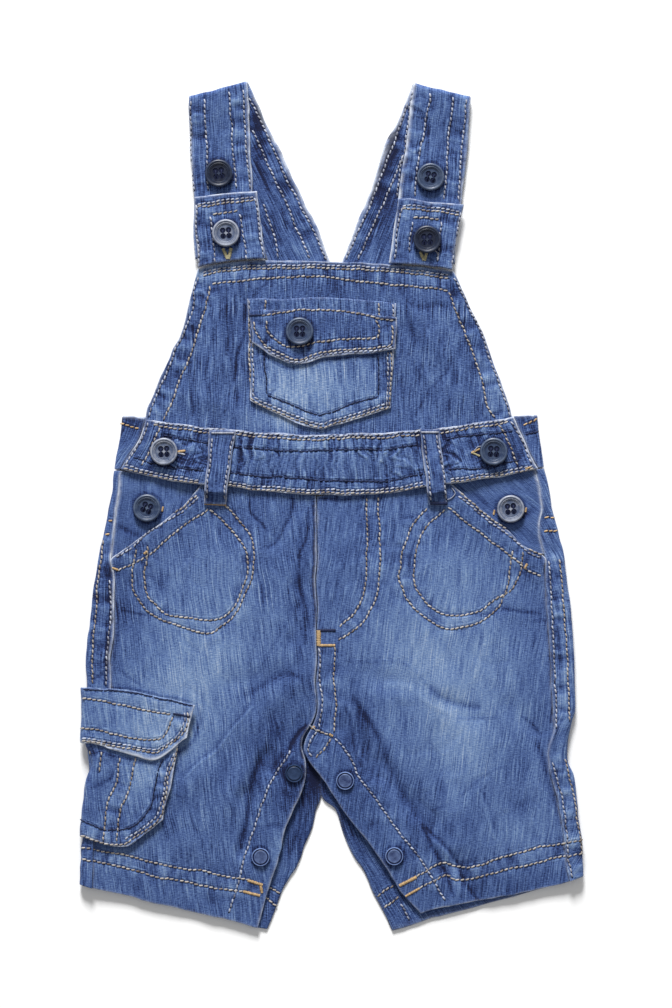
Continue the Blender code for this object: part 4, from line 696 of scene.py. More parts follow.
# Creases of each piece: half width, height, tone, and points from end to end. The tone is painted
# shade in a trough and painted light on a ridge, besides the fading of washed denim; where the
# height is 0 it is only a painted shadow line beside an edge, under a flap or in a fold.
CREASES_AND_SHADOW_LINES = {
    "front_leg_left": [
        (0.8, -0.1, -0.5, [(-10, 5), (-10, -20), (-10, -45), (-9.5, -66)]),
        (1.1, -0.15, -0.24, [(-44.5, 6), (-44.5, -2), (-39, -7.5), (-34.5, -13)]),
        (1, -0.35, -0.5, [(-13.5, -118.5), (-17, -122.5), (-21, -128), (-24.5, -134.5)]),
        (1.1, -0.3, -0.5, [(-12.5, -119.5), (-16, -127), (-17, -133), (-15.5, -139)]),
        (1.3, -0.3, -0.3, [(-21, 6), (-22.5, -3), (-27, -11.5), (-30, -18), (-35.5, -22)]),
        (1.2, -0.25, -0.28, [(-13, 1.5), (-14, -16), (-18, -25), (-18.5, -33.5), (-17, -42.5),
                             (-16, -50), (-15, -55.5), (-14.5, -64.5), (-15, -75.5)]),
        (1.4, -0.2, -0.24, [(-16, -49.5), (-19.5, -54), (-22.5, -57)]),
        (1.4, -0.2, -0.22, [(-41.5, -19), (-45.5, -28), (-50.5, -42.5), (-53.5, -53.5), (-61.5, -72)]),
        (1.1, -0.15, -0.22, [(-117.5, -56.5), (-100, -58.5), (-91, -56), (-81, -58.5), (-68, -60)]),
        (3.2, -0.2, -0.07, [(-36, -24), (-38, -37), (-39.5, -50.5), (-41, -72.5), (-42.5, -86)]),
        (2.6, 0.25, 0.08, [(-24, -28.5), (-26, -42.5), (-29, -55.5), (-33, -66)]),
        (2.2, 0.2, 0.06, [(-19, -72.5), (-20.5, -81), (-23, -88)]),
        (1.2, -0.12, -0.12, [(-24, -60), (-30, -71), (-35, -81), (-41.5, -92), (-47, -99)]),
        (1.9, -0.3, -0.26, [(-14, -95), (-23, -91.5), (-31.5, -93), (-36, -96.5), (-51.5, -104.5)]),
        (1.2, -0.15, -0.15, [(-43.5, -106), (-51.5, -115.5), (-58.5, -125.5), (-66.5, -133.5),
                             (-76.5, -142), (-83, -149.5)]),
        (1, 0.12, 0.12, [(-42, -107.5), (-50, -116.5), (-57, -126.5), (-64.5, -135), (-75, -143),
                           (-81, -150)]),
        (1.1, -0.15, -0.2, [(-117.5, -87.5), (-113, -92.5), (-102, -99)]),
        (1.3, -0.1, -0.22, [(-118.5, -50.5), (-118.5, -72.5), (-119.5, -92)]),
        (2.6, -0.35, -0.16, [(-25.5, -117.5), (-31.5, -126.5), (-37, -135), (-41, -143)]),
        (1.5, -0.4, -0.38, [(-38, -137), (-42.5, -146.5), (-45, -155), (-46.5, -168.5), (-48, -177),
                            (-50.5, -194.5)]),
        (1.5, 0.15, 0.08, [(-48.5, -146.5), (-50, -166), (-53, -188)]),
        (1.4, -0.2, -0.28, [(-12.5, -117), (-19.5, -125), (-24, -132), (-28, -137), (-31, -145)]),
        (1.4, -0.12, -0.18, [(-30, -154.5), (-26, -157), (-21.5, -160)]),
        (1.4, -0.1, -0.14, [(-31, -163.5), (-23, -167)]),
        (1.5, -0.12, -0.22, [(-38, -176), (-31.5, -174.5), (-24.5, -175.5)]),
        (1.8, -0.2, -0.26, [(-65, -202.5), (-65.5, -210), (-66.5, -220)]),
        (1.5, -0.15, -0.16, [(-118, -200), (-118, -211)]),
        (1.5, -0.15, -0.14, [(-105.5, -202.5), (-106.5, -214.5)]),
        (1, -0.1, -0.12, [(-87.5, -157), (-81, -161)]),
        (1, 0, -0.3, [(-127.5, -98.5), (-105.5, -100.5), (-89, -103.5), (-76, -106.5)]),
        (1.1, 0, -0.34, [(-92.5, -139.5), (-78, -130), (-73, -117.5), (-73.5, -108.5)]),
        (2.4, -0.2, -0.07, [(-54.5, 1.5), (-51.5, -6.5), (-48.5, -12)]),
        (1.2, 0.12, 0.1, [(-32.5, 4.5), (-31.5, -6.5), (-34, -17.5)]),
        (3, -0.15, -0.06, [(-105.5, -64.5), (-107.5, -78)]),
        (2.5, -0.15, -0.06, [(-90, -68), (-94.5, -86)]),
        (2.5, -0.1, -0.05, [(-74.5, -72.5), (-78, -89), (-83.5, -100)]),
        (2.5, -0.12, -0.06, [(-64, -78), (-68.5, -100), (-73.5, -127.5)]),
    ],
    "front_leg_right": [
        (0.9, -0.1, -0.55, [(116.5, -30), (118.5, -50), (119.5, -71), (121, -90), (122, -108),
                            (121, -119)]),
        (0.9, 0.15, 0.16, [(35.5, 6), (36, -6.5), (36.5, -20.5)]),
        (1, -0.12, -0.14, [(33.5, 6), (34, -6.5), (34, -20.5)]),
        (1, -0.12, -0.14, [(38, 4.5), (38, -4.5), (39, -12)]),
        (0.9, -0.1, -0.2, [(36.5, -5), (46.5, -5)]),
        (1, -0.15, -0.26, [(52.5, -6.5), (46.5, -17), (43, -26), (43, -34.5), (46.5, -43.5),
                             (52, -51), (58.5, -57)]),
        (1.2, -0.25, -0.3, [(58.5, -57), (67.5, -59), (85, -58.5), (94, -56), (105, -57), (115, -58)]),
        (1.1, -0.15, -0.2, [(109.5, -62.5), (119, -61.5)]),
        (1.2, -0.12, -0.18, [(98, -29), (98.5, -37), (102, -42)]),
        (1.3, -0.12, -0.12, [(7, -84), (15.5, -84.5), (36.5, -84.5), (45.5, -89.5), (53, -97.5)]),
        (1.7, -0.35, -0.3, [(52, -96.5), (59.5, -103.5), (68.5, -107.5), (76, -109), (83.5, -111)]),
        (1.4, 0.2, 0.1, [(26.5, -97), (43, -98.5), (50, -104.5), (58.5, -109.5), (68.5, -113.5)]),
        (1.1, -0.12, -0.15, [(69, -115), (80.5, -116), (92, -115.5)]),
        (1.6, -0.4, -0.36, [(11.5, -102.5), (15.5, -109), (19, -115), (22.5, -121.5), (27, -130)]),
        (4, -0.3, -0.08, [(13.5, -110), (17, -122), (20, -136)]),
        (1.1, -0.15, -0.18, [(7.5, -107.5), (10.5, -117.5), (11.5, -128.5), (13, -136.5), (17, -143)]),
        (1, 0.15, 0.12, [(9.5, -107.5), (13, -117.5), (14, -128.5), (15.5, -136.5), (20, -144)]),
        (1.2, -0.2, -0.24, [(105, -113.5), (110.5, -118.5), (116.5, -124.5)]),
        (1.5, -0.3, -0.28, [(112.5, -126), (115, -133), (118, -142), (120.5, -152), (124.5, -167),
                            (126, -177)]),
        (2.6, -0.3, -0.16, [(52.5, -126.5), (56.5, -135.5), (58.5, -143), (59.5, -152), (62, -159.5)]),
        (1, -0.15, -0.22, [(54.5, -165.5), (59.5, -165), (64.5, -163)]),
        (1, -0.1, -0.12, [(69.5, -159), (79.5, -150.5), (88.5, -144.5), (96.5, -142)]),
        (1, 0.12, 0.12, [(79.5, -152), (83, -160.5), (85, -169.5), (89.5, -183.5)]),
        (1.1, -0.12, -0.1, [(82, -152), (85.5, -160.5), (87.5, -169.5), (91.5, -181.5)]),
        (2.4, -0.4, -0.2, [(26, -127.5), (30, -137.5), (37.5, -154), (44.5, -165), (49, -173)]),
        (1.3, -0.5, -0.36, [(49, -172.5), (54, -182.5), (58.5, -192.5), (64, -203.5), (68, -215)]),
        (1.3, -0.45, -0.34, [(51, -174.5), (59.5, -182.5), (66.5, -191), (70.5, -198), (73, -205),
                             (78, -212), (81.5, -217.5)]),
        (2.2, 0.35, 0.12, [(55.5, -180.5), (62, -189), (68, -202), (73, -214.5)]),
        (1.6, -0.15, -0.18, [(18, -176.5), (22.5, -174.5), (28.5, -171)]),
        (2.6, -0.15, -0.12, [(9.5, -163.5), (12.5, -169.5)]),
        (2, -0.1, -0.08, [(31, -182.5), (26.5, -188)]),
        (1.1, 0, -0.3, [(-7.5, 5), (2.5, 4.5), (11.5, 5.5)]),
        (2.6, -0.12, -0.06, [(95.5, -72.5), (92.5, -89), (95.5, -103)]),
        (1.6, -0.12, -0.08, [(86.5, -72.5), (90.5, -89), (92.5, -100)]),
        (1.6, -0.12, -0.08, [(100, -70.5), (103.5, -86.5)]),
        (2.2, -0.12, -0.07, [(63, -72.5), (66.5, -89), (68.5, -100)]),
        (2.2, -0.15, -0.08, [(37.5, -105.5), (40, -119.5)]),
        (2.2, -0.1, -0.07, [(104, -160.5), (107, -174.5)]),
        (1, 0.1, 0.1, [(111, -170.5), (114.5, -181.5)]),
        (2.6, -0.12, -0.06, [(54, -50.5), (52, -59), (55.5, -66)]),
        (1.3, 0, -0.2, [(54, -54.5), (57.5, -62.5), (63, -66)]),
        (1.6, -0.25, -0.2, [(68, -197), (81.5, -194.5)]),
    ],
    "back_leg_left": [
        (0.8, -0.1, -0.5, [(-121.5, -24), (-122, -45), (-122.5, -70), (-123.5, -88), (-125.5, -98)]),
        (1.3, 0, -0.3, [(-124, -28.5), (-123, -50.5), (-123.5, -72.5), (-125, -92)]),
        (1.2, -0.1, -0.22, [(-131, -154), (-125, -150.5), (-120.5, -147.5)]),
        (1.5, -0.15, -0.2, [(-14, -155), (-17.5, -167)]),
        (1.5, -0.15, -0.2, [(-18.5, -177), (-24, -192.5)]),
        (1.3, -0.1, -0.16, [(-22.5, -185.5), (-26, -207)]),
        (1, 0.1, 0.12, [(-12, -164), (-15.5, -171.5)]),
    ],
    "back_leg_right": [
        (1.3, 0, -0.26, [(123.5, -45), (124.5, -72.5), (126, -100)]),
        (1.5, -0.15, -0.2, [(4.5, -170.5), (11.5, -186)]),
        (1.5, -0.15, -0.2, [(11.5, -177), (20, -194.5)]),
        (1.3, -0.1, -0.18, [(22.5, -204.5), (31, -214.5)]),
        (1.3, -0.1, -0.18, [(28, -200), (35.5, -208), (40, -218.5)]),
        (1.5, -0.1, -0.16, [(37.5, -222), (44.5, -227.5)]),
    ],
    "hip_facing_left": [
        (1.5, -0.25, -0.3, [(-120, -9), (-115, -11), (-109, -14), (-102, -15.5)]),
        (1.3, -0.15, -0.2, [(-81.5, 7), (-83.5, 0.5), (-85.5, -5.5)]),
        (2, 0.15, 0.08, [(-100, 6), (-94.5, 3), (-91, -2)]),
        (1.6, -0.12, -0.14, [(-115, 4.5), (-111, 7.5)]),
    ],
    "hip_facing_right": [
        (1.4, -0.2, -0.24, [(76, 9), (83, 4.5), (87, 0.5)]),
        (1.5, -0.2, -0.28, [(112.5, 1.5), (107, -3.5), (102.5, -6)]),
        (1.3, -0.12, -0.16, [(92.5, -9), (99.5, -14.5), (105, -18.5)]),
        (2, 0.12, 0.08, [(103.5, 9), (109, 4.5)]),
    ],
    "bib": [
        (1.2, -0.3, -0.3, [(-47, 113), (-48, 102.5), (-48.5, 93.5), (-52, 84), (-54, 69)]),
        (2.2, -0.2, -0.1, [(-60, 119), (-57.5, 99), (-59, 83)]),
        (1.6, -0.15, -0.14, [(-78, 81.5), (-76.5, 65), (-76.5, 48.5)]),
        (1.5, -0.2, -0.28, [(-72.5, 116.5), (-65.5, 120), (-55.5, 121.5)]),
        (2, 0.15, 0.1, [(-67, 114.5), (-69, 100.5), (-72.5, 89.5)]),
        (1.8, -0.2, -0.22, [(40, 116), (48.5, 110.5), (58, 111.5), (68.5, 110)]),
        (1.5, -0.25, -0.24, [(40.5, 115), (43, 102.5), (47.5, 89)]),
        (1.1, -0.2, -0.2, [(66.5, 84.5), (63.5, 75.5), (54.5, 66), (46, 50.5)]),
        (1.5, -0.15, -0.2, [(69, 108), (72.5, 97), (76, 86), (81.5, 74)]),
        (1.2, 0.12, 0.1, [(70.5, 82.5), (71, 67.5), (70.5, 51)]),
        (1.2, -0.15, -0.16, [(-34, 127), (-38, 121), (-45, 114.5)]),
        (1.3, -0.12, -0.14, [(14.5, 125.5), (18, 120), (22.5, 115)]),
        (1.6, -0.12, -0.12, [(2, 127.5), (3.5, 120)]),
        (2, -0.12, -0.1, [(54, 89.5), (60, 80.5), (60, 67.5)]),
        (1.8, 0.12, 0.07, [(-64, 59.5), (-53, 67.5), (-48.5, 75)]),
        (1.3, -0.1, -0.12, [(37.5, 81.5), (39, 65), (39, 51)]),
        (1, 0, -0.3, [(-46.5, 92.5), (-39.5, 87)]),
    ],
    "bib_pocket": [
        (1, 0, -0.32, [(-41.5, 88), (-35.5, 83.5), (-23, 77), (-12, 80), (6.5, 82.5), (33.5, 85)]),
        (1.2, -0.12, -0.14, [(-10.5, 78), (-14, 67.5), (-17.5, 58.5)]),
        (1.3, -0.12, -0.08, [(4.5, 80.5), (6, 62)]),
        (1.3, -0.12, -0.08, [(15.5, 80.5), (15.5, 65)]),
    ],
    "cargo_pocket": [
        (1.1, 0, -0.36, [(-133, -133.5), (-106.5, -139), (-96.5, -140), (-87.5, -137)]),
        (1.3, -0.2, -0.24, [(-133, -154), (-126, -151), (-120.5, -147.5), (-120, -142)]),
        (1.3, -0.15, -0.18, [(-96, -144), (-87.5, -144)]),
        (1.3, -0.15, -0.2, [(-97.5, -157.5), (-90, -158.5)]),
        (2, 0.12, 0.08, [(-112, -147), (-108.5, -160.5)]),
    ],
    "cargo_pocket_flap": [
        (1.5, -0.15, -0.14, [(-119, -103), (-120, -114), (-120.5, -127.5)]),
        (1.6, -0.12, -0.14, [(-127.5, -110), (-133, -112)]),
        (1.4, -0.12, -0.12, [(-91.5, -115.5), (-90, -123)]),
        (1.8, 0.1, 0.12, [(-105.5, -116.5), (-104, -128.5)]),
        (1.8, 0.1, 0.12, [(-82, -116.5), (-85.5, -127.5)]),
    ],
    "front_waistband": [
        (1.2, -0.1, -0.2, [(-80, 25), (-74.5, 27.5), (-70, 29)]),
        (1.5, 0.15, 0.14, [(-79, 31), (-74.5, 32.5), (-70, 31)]),
        (1.2, -0.1, -0.2, [(64, 33.5), (68, 28.5), (72, 26)]),
        (1.6, -0.1, -0.16, [(-104, 41), (-106.5, 33.5)]),
    ],
    "strap_left": [
        (4, 0, -0.3, [(-43.5, 224.5), (-40.5, 208), (-38, 191.5)]),
        (1.6, -0.15, -0.26, [(-37, 222), (-31.5, 205), (-26, 191.5)]),
        (1.3, -0.2, -0.3, [(-41.5, 191.5), (-36, 178), (-28.5, 166.5), (-23, 152)]),
        (1.1, 0.15, 0.2, [(-33.5, 178), (-29.5, 169.5), (-24, 155.5), (-18, 138.5)]),
        (1.3, -0.15, -0.2, [(-34, 163), (-30.5, 152), (-26, 138.5)]),
    ],
    "strap_right": [
        (3, 0, -0.26, [(37.5, 219), (34.5, 202.5), (31, 186)]),
        (1.5, -0.15, -0.24, [(31, 197), (25.5, 177.5), (20, 164)]),
        (1.2, -0.15, -0.22, [(29, 169.5), (23.5, 153), (17, 138.5)]),
        (1, 0.12, 0.16, [(31, 171.5), (26.5, 158.5), (22.5, 142)]),
    ],
}

# Bands between two rows of stitches (by their numbers in STITCH_ROWS), where the cloth puckers
# into light and dark patches, partly wear on the raised puckers and partly painted light and shade:
# first row, second row, length of a patch, strength.
BANDS = {
    "strap_left": [(0, 1, 6, 1), (2, 3, 6, 1), (4, 5, 6.5, 1.2)],
    "strap_right": [(0, 1, 6, 1), (2, 3, 6, 1), (4, 5, 6.5, 1)],
    "strap_tab_left": [(1, 4, 6, 0.9), (2, 5, 6, 0.9), (0, 3, 4, 0.9)],
    "strap_tab_right": [(1, 5, 6, 0.9), (2, 4, 6, 0.9), (0, 3, 4, 0.9)],
    "bib": [(0, 1, 4.2, 0.9), (2, 3, 6, 0.9), (4, 5, 6, 0.9)],
    "bib_pocket": [(0, 1, 5, 0.8)],
    "bib_pocket_flap": [(1, 3, 4, 0.7)],
    "front_waistband": [(2, 5, 3, 0.9), (1, 4, 3.2, 0.9), (3, 6, 3.2, 0.9), (0, 2, 3.2, 1.5),
                        (5, 8, 3.2, 1.3)],
    "front_leg_left": [(5, 6, 4.4, 0.9)],
    "front_leg_right": [(4, 5, 7, 0.5), (12, 13, 4.4, 0.9), (2, 3, 6, 0.5)],
    "back_leg_left": [(2, 3, 6, 1)],
    "back_leg_right": [(3, 4, 6, 1), (5, 6, 6, 1)],
    "cargo_pocket_flap": [(1, 2, 5, 0.7)],
    "cargo_pocket": [(0, 2, 5, 0.9), (3, 4, 5, 0.8)],
}

# Dense bars of thread: thread, x, y, length, width, degrees from +X.
BAR_TACKS = [
    ("gold", -7, -71.5, 8.5, 2.6, 90),          # box at the foot of the fly
    ("gold", -2.5, -75.6, 9, 1.6, 0),
    ("navy", -3, -67.3, 10.5, 1.8, 0),
    ("gold", -42, -206.3, 8.5, 1.8, -17),       # hooks at the hems
    ("gold", -38.6, -210, 4, 1.8, -80),
    ("gold", -44, -212.3, 9.5, 1.7, -14),
    ("gold", 42, -205.6, 10.5, 2, 27),
    ("gold", 44.6, -211.6, 9, 1.5, 30),
    ("khaki", -58.4, 139.8, 6.2, 2.1, -66),        # foot of the tabs' buttonholes
    ("khaki", -55.9, 139.9, 6.2, 2.1, 78),
    ("khaki", 49.8, 138.6, 5.2, 1.9, -68),
    ("khaki", 51.8, 138.6, 5.2, 1.9, 76),
    ("cream", -59.7, 41.2, 12.5, 1.3, 0),         # belt loops
    ("gold", -64, 2, 12, 1.2, -3),
    ("cream", 54, 41.6, 9.5, 1.2, 0),
    ("navy", 59, 2.6, 9.5, 2, 0),
    ("navy", -41, 106, 9.5, 1, 2),          # ends of the bib pocket's flap
    ("navy", 31, 104, 8.5, 1, -3),
    ("navy", -82.2, -113.6, 9.5, 1.3, -9),        # end of the cargo flap
    ("gold", -82.6, 31.2, 4.4, 1.5, 8),           # ends of the buttonholes
    ("cream", -82.4, 29.8, 3.8, 1.1, -12),
    ("gold", -93, -0.6, 2.6, 1.2, 80),
    ("gold", 79.2, 31.4, 5.2, 1.4, 26),
    ("khaki", 79.2, 29.6, 5, 1.2, -24),
    ("gold", 89.5, -2.4, 2.6, 1.2, 80),
    ("gold", 107, -1, 2.4, 1.2, 80),
    ("gold", 108, 22, 3, 1.2, 20),
    ("gold", -102.3, -24.6, 2.2, 1.6, 40),        # where rows cross
    ("gold", 107, -31.8, 2.6, 1.6, 60),
    ("gold", -10.2, -120.8, 2.2, 1.4, 30),
    ("gold", -0.2, -125, 2.2, 1.4, -30),
    ("gold", -119, -33.5, 3.4, 1.4, -20),
]
# Loose ends of thread: points of a line on the cloth.
LOOSE_THREADS = [
    [(51.5, 140.5), (55, 142), (58, 140.5), (58.8, 136.8)],
    [(63.5, 4.5), (66, 5.6), (68, 8.2), (66.2, 11)],
    [(78.5, 31.5), (80.5, 33.6), (84, 34)],
    [(-12.5, -119.4), (-10.2, -120.8), (-8.4, -122.6)],
]
# Rows on the back, seen from below: thread and points.
BACK_ROWS = [
    ("tan", [(-6.5, 40), (-6.5, -60), (-6.5, -140)]),
    ("tan", [(-110, 14), (-60, 8), (-6.5, 5), (50, 8), (110, 14)]),
    ("cream", [(-110, 46), (-60, 42.5), (-6.5, 40), (50, 42.5), (108, 47)]),
    ("tan", [(-134, -197), (-100, -203), (-60, -212), (-36, -219)]),
    ("tan", [(-134, -203.5), (-100, -209.5), (-60, -218.5), (-37, -225)]),
    ("tan", [(134, -192), (100, -200), (60, -212), (35, -220)]),
    ("tan", [(134, -198.5), (100, -206.5), (60, -218), (36, -226)]),
    ("cream", [(-28, 127), (4, 127.5), (34, 127)]),
]
# Creases of the back, where it rises from the floor: half width, height, tone, points.
BACK_CREASES = [
    (1.7, 0.34, -0.26, [(-10, -118), (-24, -136), (-40, -160), (-48, -190)]),
    (1.5, 0.30, -0.24, [(0, -118), (14, -136), (32, -160), (52, -186)]),
    (1.3, 0.24, -0.20, [(-16, -94), (-38, -101), (-60, -98), (-86, -105)]),
    (1.2, 0.22, -0.18, [(-2, -98), (20, -107), (48, -108)]),
    (1.3, 0.22, -0.16, [(30, -88), (54, -97), (80, -96), (100, -89)]),
    (1.1, 0.20, -0.16, [(-38, -28), (-45, -54), (-43, -82)]),
    (1.2, 0.22, -0.18, [(34, -22), (40, -50), (35, -78)]),
    (1, 0.16, -0.14, [(-100, -56), (-91, -82), (-97, -108)]),
    (1.1, 0.18, -0.14, [(84, -38), (92, -62), (87, -80)]),
    (1.4, 0.26, -0.22, [(-124, -118), (-102, -131), (-84, -152)]),
    (1.3, 0.24, -0.20, [(122, -114), (106, -130), (98, -154)]),
    (1, 0.16, -0.15, [(-72, -148), (-66, -172), (-73, -196)]),
    (1.1, 0.16, -0.15, [(82, -146), (75, -172), (83, -194)]),
    (1.4, 0.24, -0.20, [(-62, 2), (-52, -18), (-53, -38)]),
    (1.2, 0.20, -0.18, [(58, 2), (50, -14), (54, -30)]),
    (1, 0.14, 0.12, [(-14, -124), (-28, -146), (-40, -172)]),
    (1, 0.14, 0.12, [(6, -124), (22, -144), (40, -168)]),
    (1.3, 0.24, -0.20, [(-90, -176), (-84, -190), (-88, -208)]),
    (1.2, 0.22, -0.18, [(112, -160), (104, -178), (110, -196)]),
    (1.2, 0.20, -0.18, [(-56, 118), (-44, 92), (-50, 64)]),
    (1.1, 0.20, -0.16, [(30, 120), (44, 96), (40, 66)]),
    (1.2, 0.20, -0.18, [(-14, 112), (-6, 90), (-12, 60)]),
]
# Plastic of each button, and how many degrees it is turned.
FINISHED_BUTTONS = {
    "strap_button_left_upper": ("dark", 8),
    "strap_button_left_lower": ("grey", 5),
    "strap_button_right_upper": ("slate", -12),
    "strap_button_right_lower": ("dark", 4),
    "pocket_button": ("slate", 0),
    "waist_button_left": ("grey", 3),
    "waist_button_right": ("slate", -4),
    "hip_button_left": ("slate", -22),
    "hip_button_right": ("grey", 6),
}
SNAPS = {"snap_left_upper": "plain", "snap_left_lower": "ringed", "snap_right_upper": "ringed",
         "snap_right_lower": "ringed"}

CLOTH_SLOTS = {"cargo_pocket_flap": "denim_light"}     # the other pieces have slot denim

# Turned shapes of a button and a press stud: radius, height.
BUTTON_FLOOR = 1.75
BUTTON_PROFILE = [(0, 0), (5.6, 0), (6.9, 0.45), (7.45, 1.1), (7.6, 1.8), (7.4, 2.45), (6.85, 2.8),
                  (6.3, 2.72), (5.85, 2.4), (5.6, 2.5), (5.3, 2.1), (5, 2.15), (4.6, BUTTON_FLOOR + 0.05),
                  (0, BUTTON_FLOOR)]
SNAP_PROFILE = [(0, 0), (4.8, 0), (5, 0.35), (4.95, 0.8), (4.7, 1.15), (4.4, 1.1), (4.15, 0.6),
                (3.9, 0.55), (3.65, 1), (3.3, 1.1), (2.9, 0.9), (1.6, 1), (0, 1.05)]
# ---------------------------------------------------------------- small maths
def smooth_step(value):
    """0 below 0, 1 above 1 and a smooth rise between."""
    t = np.clip(value, 0, 1)
    return t * t * (3 - 2 * t)


def bell(distance, width):
    """Soft bump: 1 at distance 0, falling to nothing a little past the width."""
    return np.exp(-(distance / width) ** 2)


def to_segment(x, y, x0, y0, x1, y1):
    """Distance from points to a line segment."""
    dx, dy = x1 - x0, y1 - y0
    t = np.clip(((x - x0) * dx + (y - y0) * dy) / (dx * dx + dy * dy), 0, 1)
    return np.hypot(x - x0 - t * dx, y - y0 - t * dy)


def spun(x, y, angle):
    """Points turned round the origin."""
    c, s = math.cos(angle), math.sin(angle)
    return x * c - y * s, x * s + y * c


def value_noise(x, y, seed):
    """Smooth seeded noise from 0 to 1, with a new value at each whole number."""
    size = 128
    table = np.random.default_rng(seed).random((size, size))
    i, j = np.floor(x).astype(int), np.floor(y).astype(int)
    s, t = smooth_step(x - i), smooth_step(y - j)

    def corner(a, b):
        return table[(i + a) % size, (j + b) % size]

    low = corner(0, 0) * (1 - s) + corner(1, 0) * s
    high = corner(0, 1) * (1 - s) + corner(1, 1) * s
    return low * (1 - t) + high * t


# ---------------------------------------------------------------- edges and grids
def catmull_rom(a, b, c, d, t):
    """Point at t between b and c on the curve through a, b, c and d."""
    return 0.5 * ((2 * b) + (c - a) * t + (2 * a - 5 * b + 4 * c - d) * t**2
                  + (3 * b - a - 3 * c + d) * t**3)


def fine_path(points, smooth=True, steps=12):
    """Close points along an edge that passes through every given point."""
    points = np.array(points, float)
    if not smooth or len(points) < 3:
        return points
    before = np.vstack([2 * points[0] - points[1], points[:-2]])[:, None]
    after = np.vstack([points[2:], 2 * points[-1] - points[-2]])[:, None]
    t = (np.arange(steps) / steps)[None, :, None]
    spans = catmull_rom(before, points[:-1, None], points[1:, None], after, t)
    return np.vstack([spans.reshape(-1, points.shape[1]), points[-1:]])


def lengths_along(path):
    """Length from the start of a path to each of its points."""
    steps = np.linalg.norm(np.diff(path, axis=0), axis=1)
    return np.concatenate([[0], np.cumsum(steps)])


def path_length(points, smooth=True):
    """Length of an edge."""
    return lengths_along(fine_path(points, smooth))[-1]


def along(points, shares, smooth=True):
    """Points at shares, from 0 to 1, of an edge's length."""
    path = fine_path(points, smooth)
    reach = lengths_along(path)
    places = np.asarray(shares) * reach[-1]
    return np.stack([np.interp(places, reach, axis) for axis in path.T], axis=-1)


def shifted(path, distance):
    """Path moved to its left by a distance, or by one for each point."""
    way = np.gradient(path, axis=0)
    way /= np.linalg.norm(way, axis=1)[:, None]
    return path + np.reshape(distance, (-1, 1)) * np.stack([-way[:, 1], way[:, 0]], axis=-1)


def spaced(length, step):
    """Shares of a length, about one step apart, and closer at both ends for a round edge."""
    rim = np.array(RIM)
    count = max(2, round((length - 2 * rim[-1]) / step))
    inside = np.linspace(rim[-1], length - rim[-1], count + 1)[1:-1]
    return np.concatenate([rim, inside, length - rim[::-1]]) / length


class Panel:
    """Grid of one cloth piece: its two faces and each point's distance from the four edges."""

    def __init__(self, outer, inner, edges):
        self.outer, self.inner = outer, inner
        self.edges = dict(zip(("top", "right", "bottom", "left"), edges))
        self.weave = np.stack([self.edges["left"], self.edges["top"]], axis=-1)

    def lean(self, degrees):
        """Turn the threads of a flat piece away from +Y."""
        x, y = self.outer[..., 0], self.outer[..., 1]
        self.weave = np.stack(spun(x, y, math.radians(degrees)), axis=-1)
        return self


def patch(top, right, bottom, left, step, smooth=True):
    """Grid of (x, y) between four edges, and each point's distance from them.

    Top and bottom run left to right and the sides run down.
    """
    width = max(path_length(top, smooth), path_length(bottom, smooth))
    length = max(path_length(left, smooth), path_length(right, smooth))
    across, down = spaced(width, step), spaced(length, step)
    north, south = along(top, across, smooth)[None], along(bottom, across, smooth)[None]
    west, east = along(left, down, smooth)[:, None], along(right, down, smooth)[:, None]
    u, v = across[None, :, None], down[:, None, None]
    corners = ((1 - u) * (1 - v) * north[:, :1] + u * (1 - v) * north[:, -1:]
               + (1 - u) * v * south[:, :1] + u * v * south[:, -1:])
    grid = (1 - v) * north + v * south + (1 - u) * west + u * east - corners
    a, d = np.broadcast_arrays(across[None, :] * width, down[:, None] * length)
    return grid, (d, width - a, length - d, a)


def flat_panel(grid, edges, base, thickness):
    """Wall whose underside follows a height rule."""
    x, y = grid[..., 0], grid[..., 1]
    low = base(x, y)
    outer = np.stack([x, y, low + thickness], axis=-1)
    inner = np.stack([x, y, low], axis=-1)
    return Panel(outer, inner, edges)


def ladder_rows(ladder, shares):
    """Values of a leg's ladder at shares of its height, read from a smooth curve."""
    table = np.array(ladder, float)
    last = len(table) - 1
    place = shares * last
    k = np.minimum(place.astype(int), last - 1)
    before = table[np.maximum(k - 1, 0)]
    after = table[np.minimum(k + 2, last)]
    return catmull_rom(before, table[k], table[k + 1], after, (place - k)[:, None])


def rung_length(rows):
    """Length of each rung."""
    return np.hypot(rows[:, 0] - rows[:, 2], rows[:, 1] - rows[:, 3])


def along_rung(rows, distance):
    """Points on each rung at distances from its outer end."""
    share = (distance / rung_length(rows)[:, None])[..., None]
    return rows[:, None, 2:4] + (rows[:, None, 0:2] - rows[:, None, 2:4]) * share


# ---------------------------------------------------------------- height rules, as in the solids
def side_distance(x, y):
    """Distance to the nearer side of the garment, below the waist."""
    table = np.array(LEG_LEFT)
    left = x - np.interp(-y, -table[:, 3], table[:, 2])
    table = np.array(LEG_RIGHT)
    right = np.interp(-y, -table[:, 3], table[:, 2]) - x
    return np.minimum(left, right)


def front_base(x, y):
    """Underside of the front layer: puffed legs, raised sides and the largest folds."""
    x, y = np.broadcast_arrays(np.asarray(x, float), np.asarray(y, float))
    side = side_distance(x, y)
    below_waist = smooth_step((45 - y) / 30)
    hem = smooth_step((y + 225) / 40)
    puff = LEG_PUFF * smooth_step((5 - y) / 40) * smooth_step(side / 45) * hem
    height = FRONT_LIFT + puff + SIDE_LIFT * bell(side, SIDE_REACH) * below_waist
    for x0, y0, x1, y1, width, rise in FOLDS:
        height = height + rise * bell(to_segment(x, y, x0, y0, x1, y1), width)
    return np.maximum(height, LOWEST_FRONT)


def leg_base(x, y):
    """Underside of the front legs, which stand up at the pocket mouths."""
    height = front_base(x, y)
    for mouth in MOUTHS:
        height = height + MOUTH_LIFT * bell(to_segment(x, y, *mouth), MOUTH_REACH)
    return height


def strip_base(x, y):
    """Underside of the back where it comes round to the front: over the leg below the hip."""
    return front_base(x, y) + LAP_LIFT * smooth_step((-22 - y) / 14)


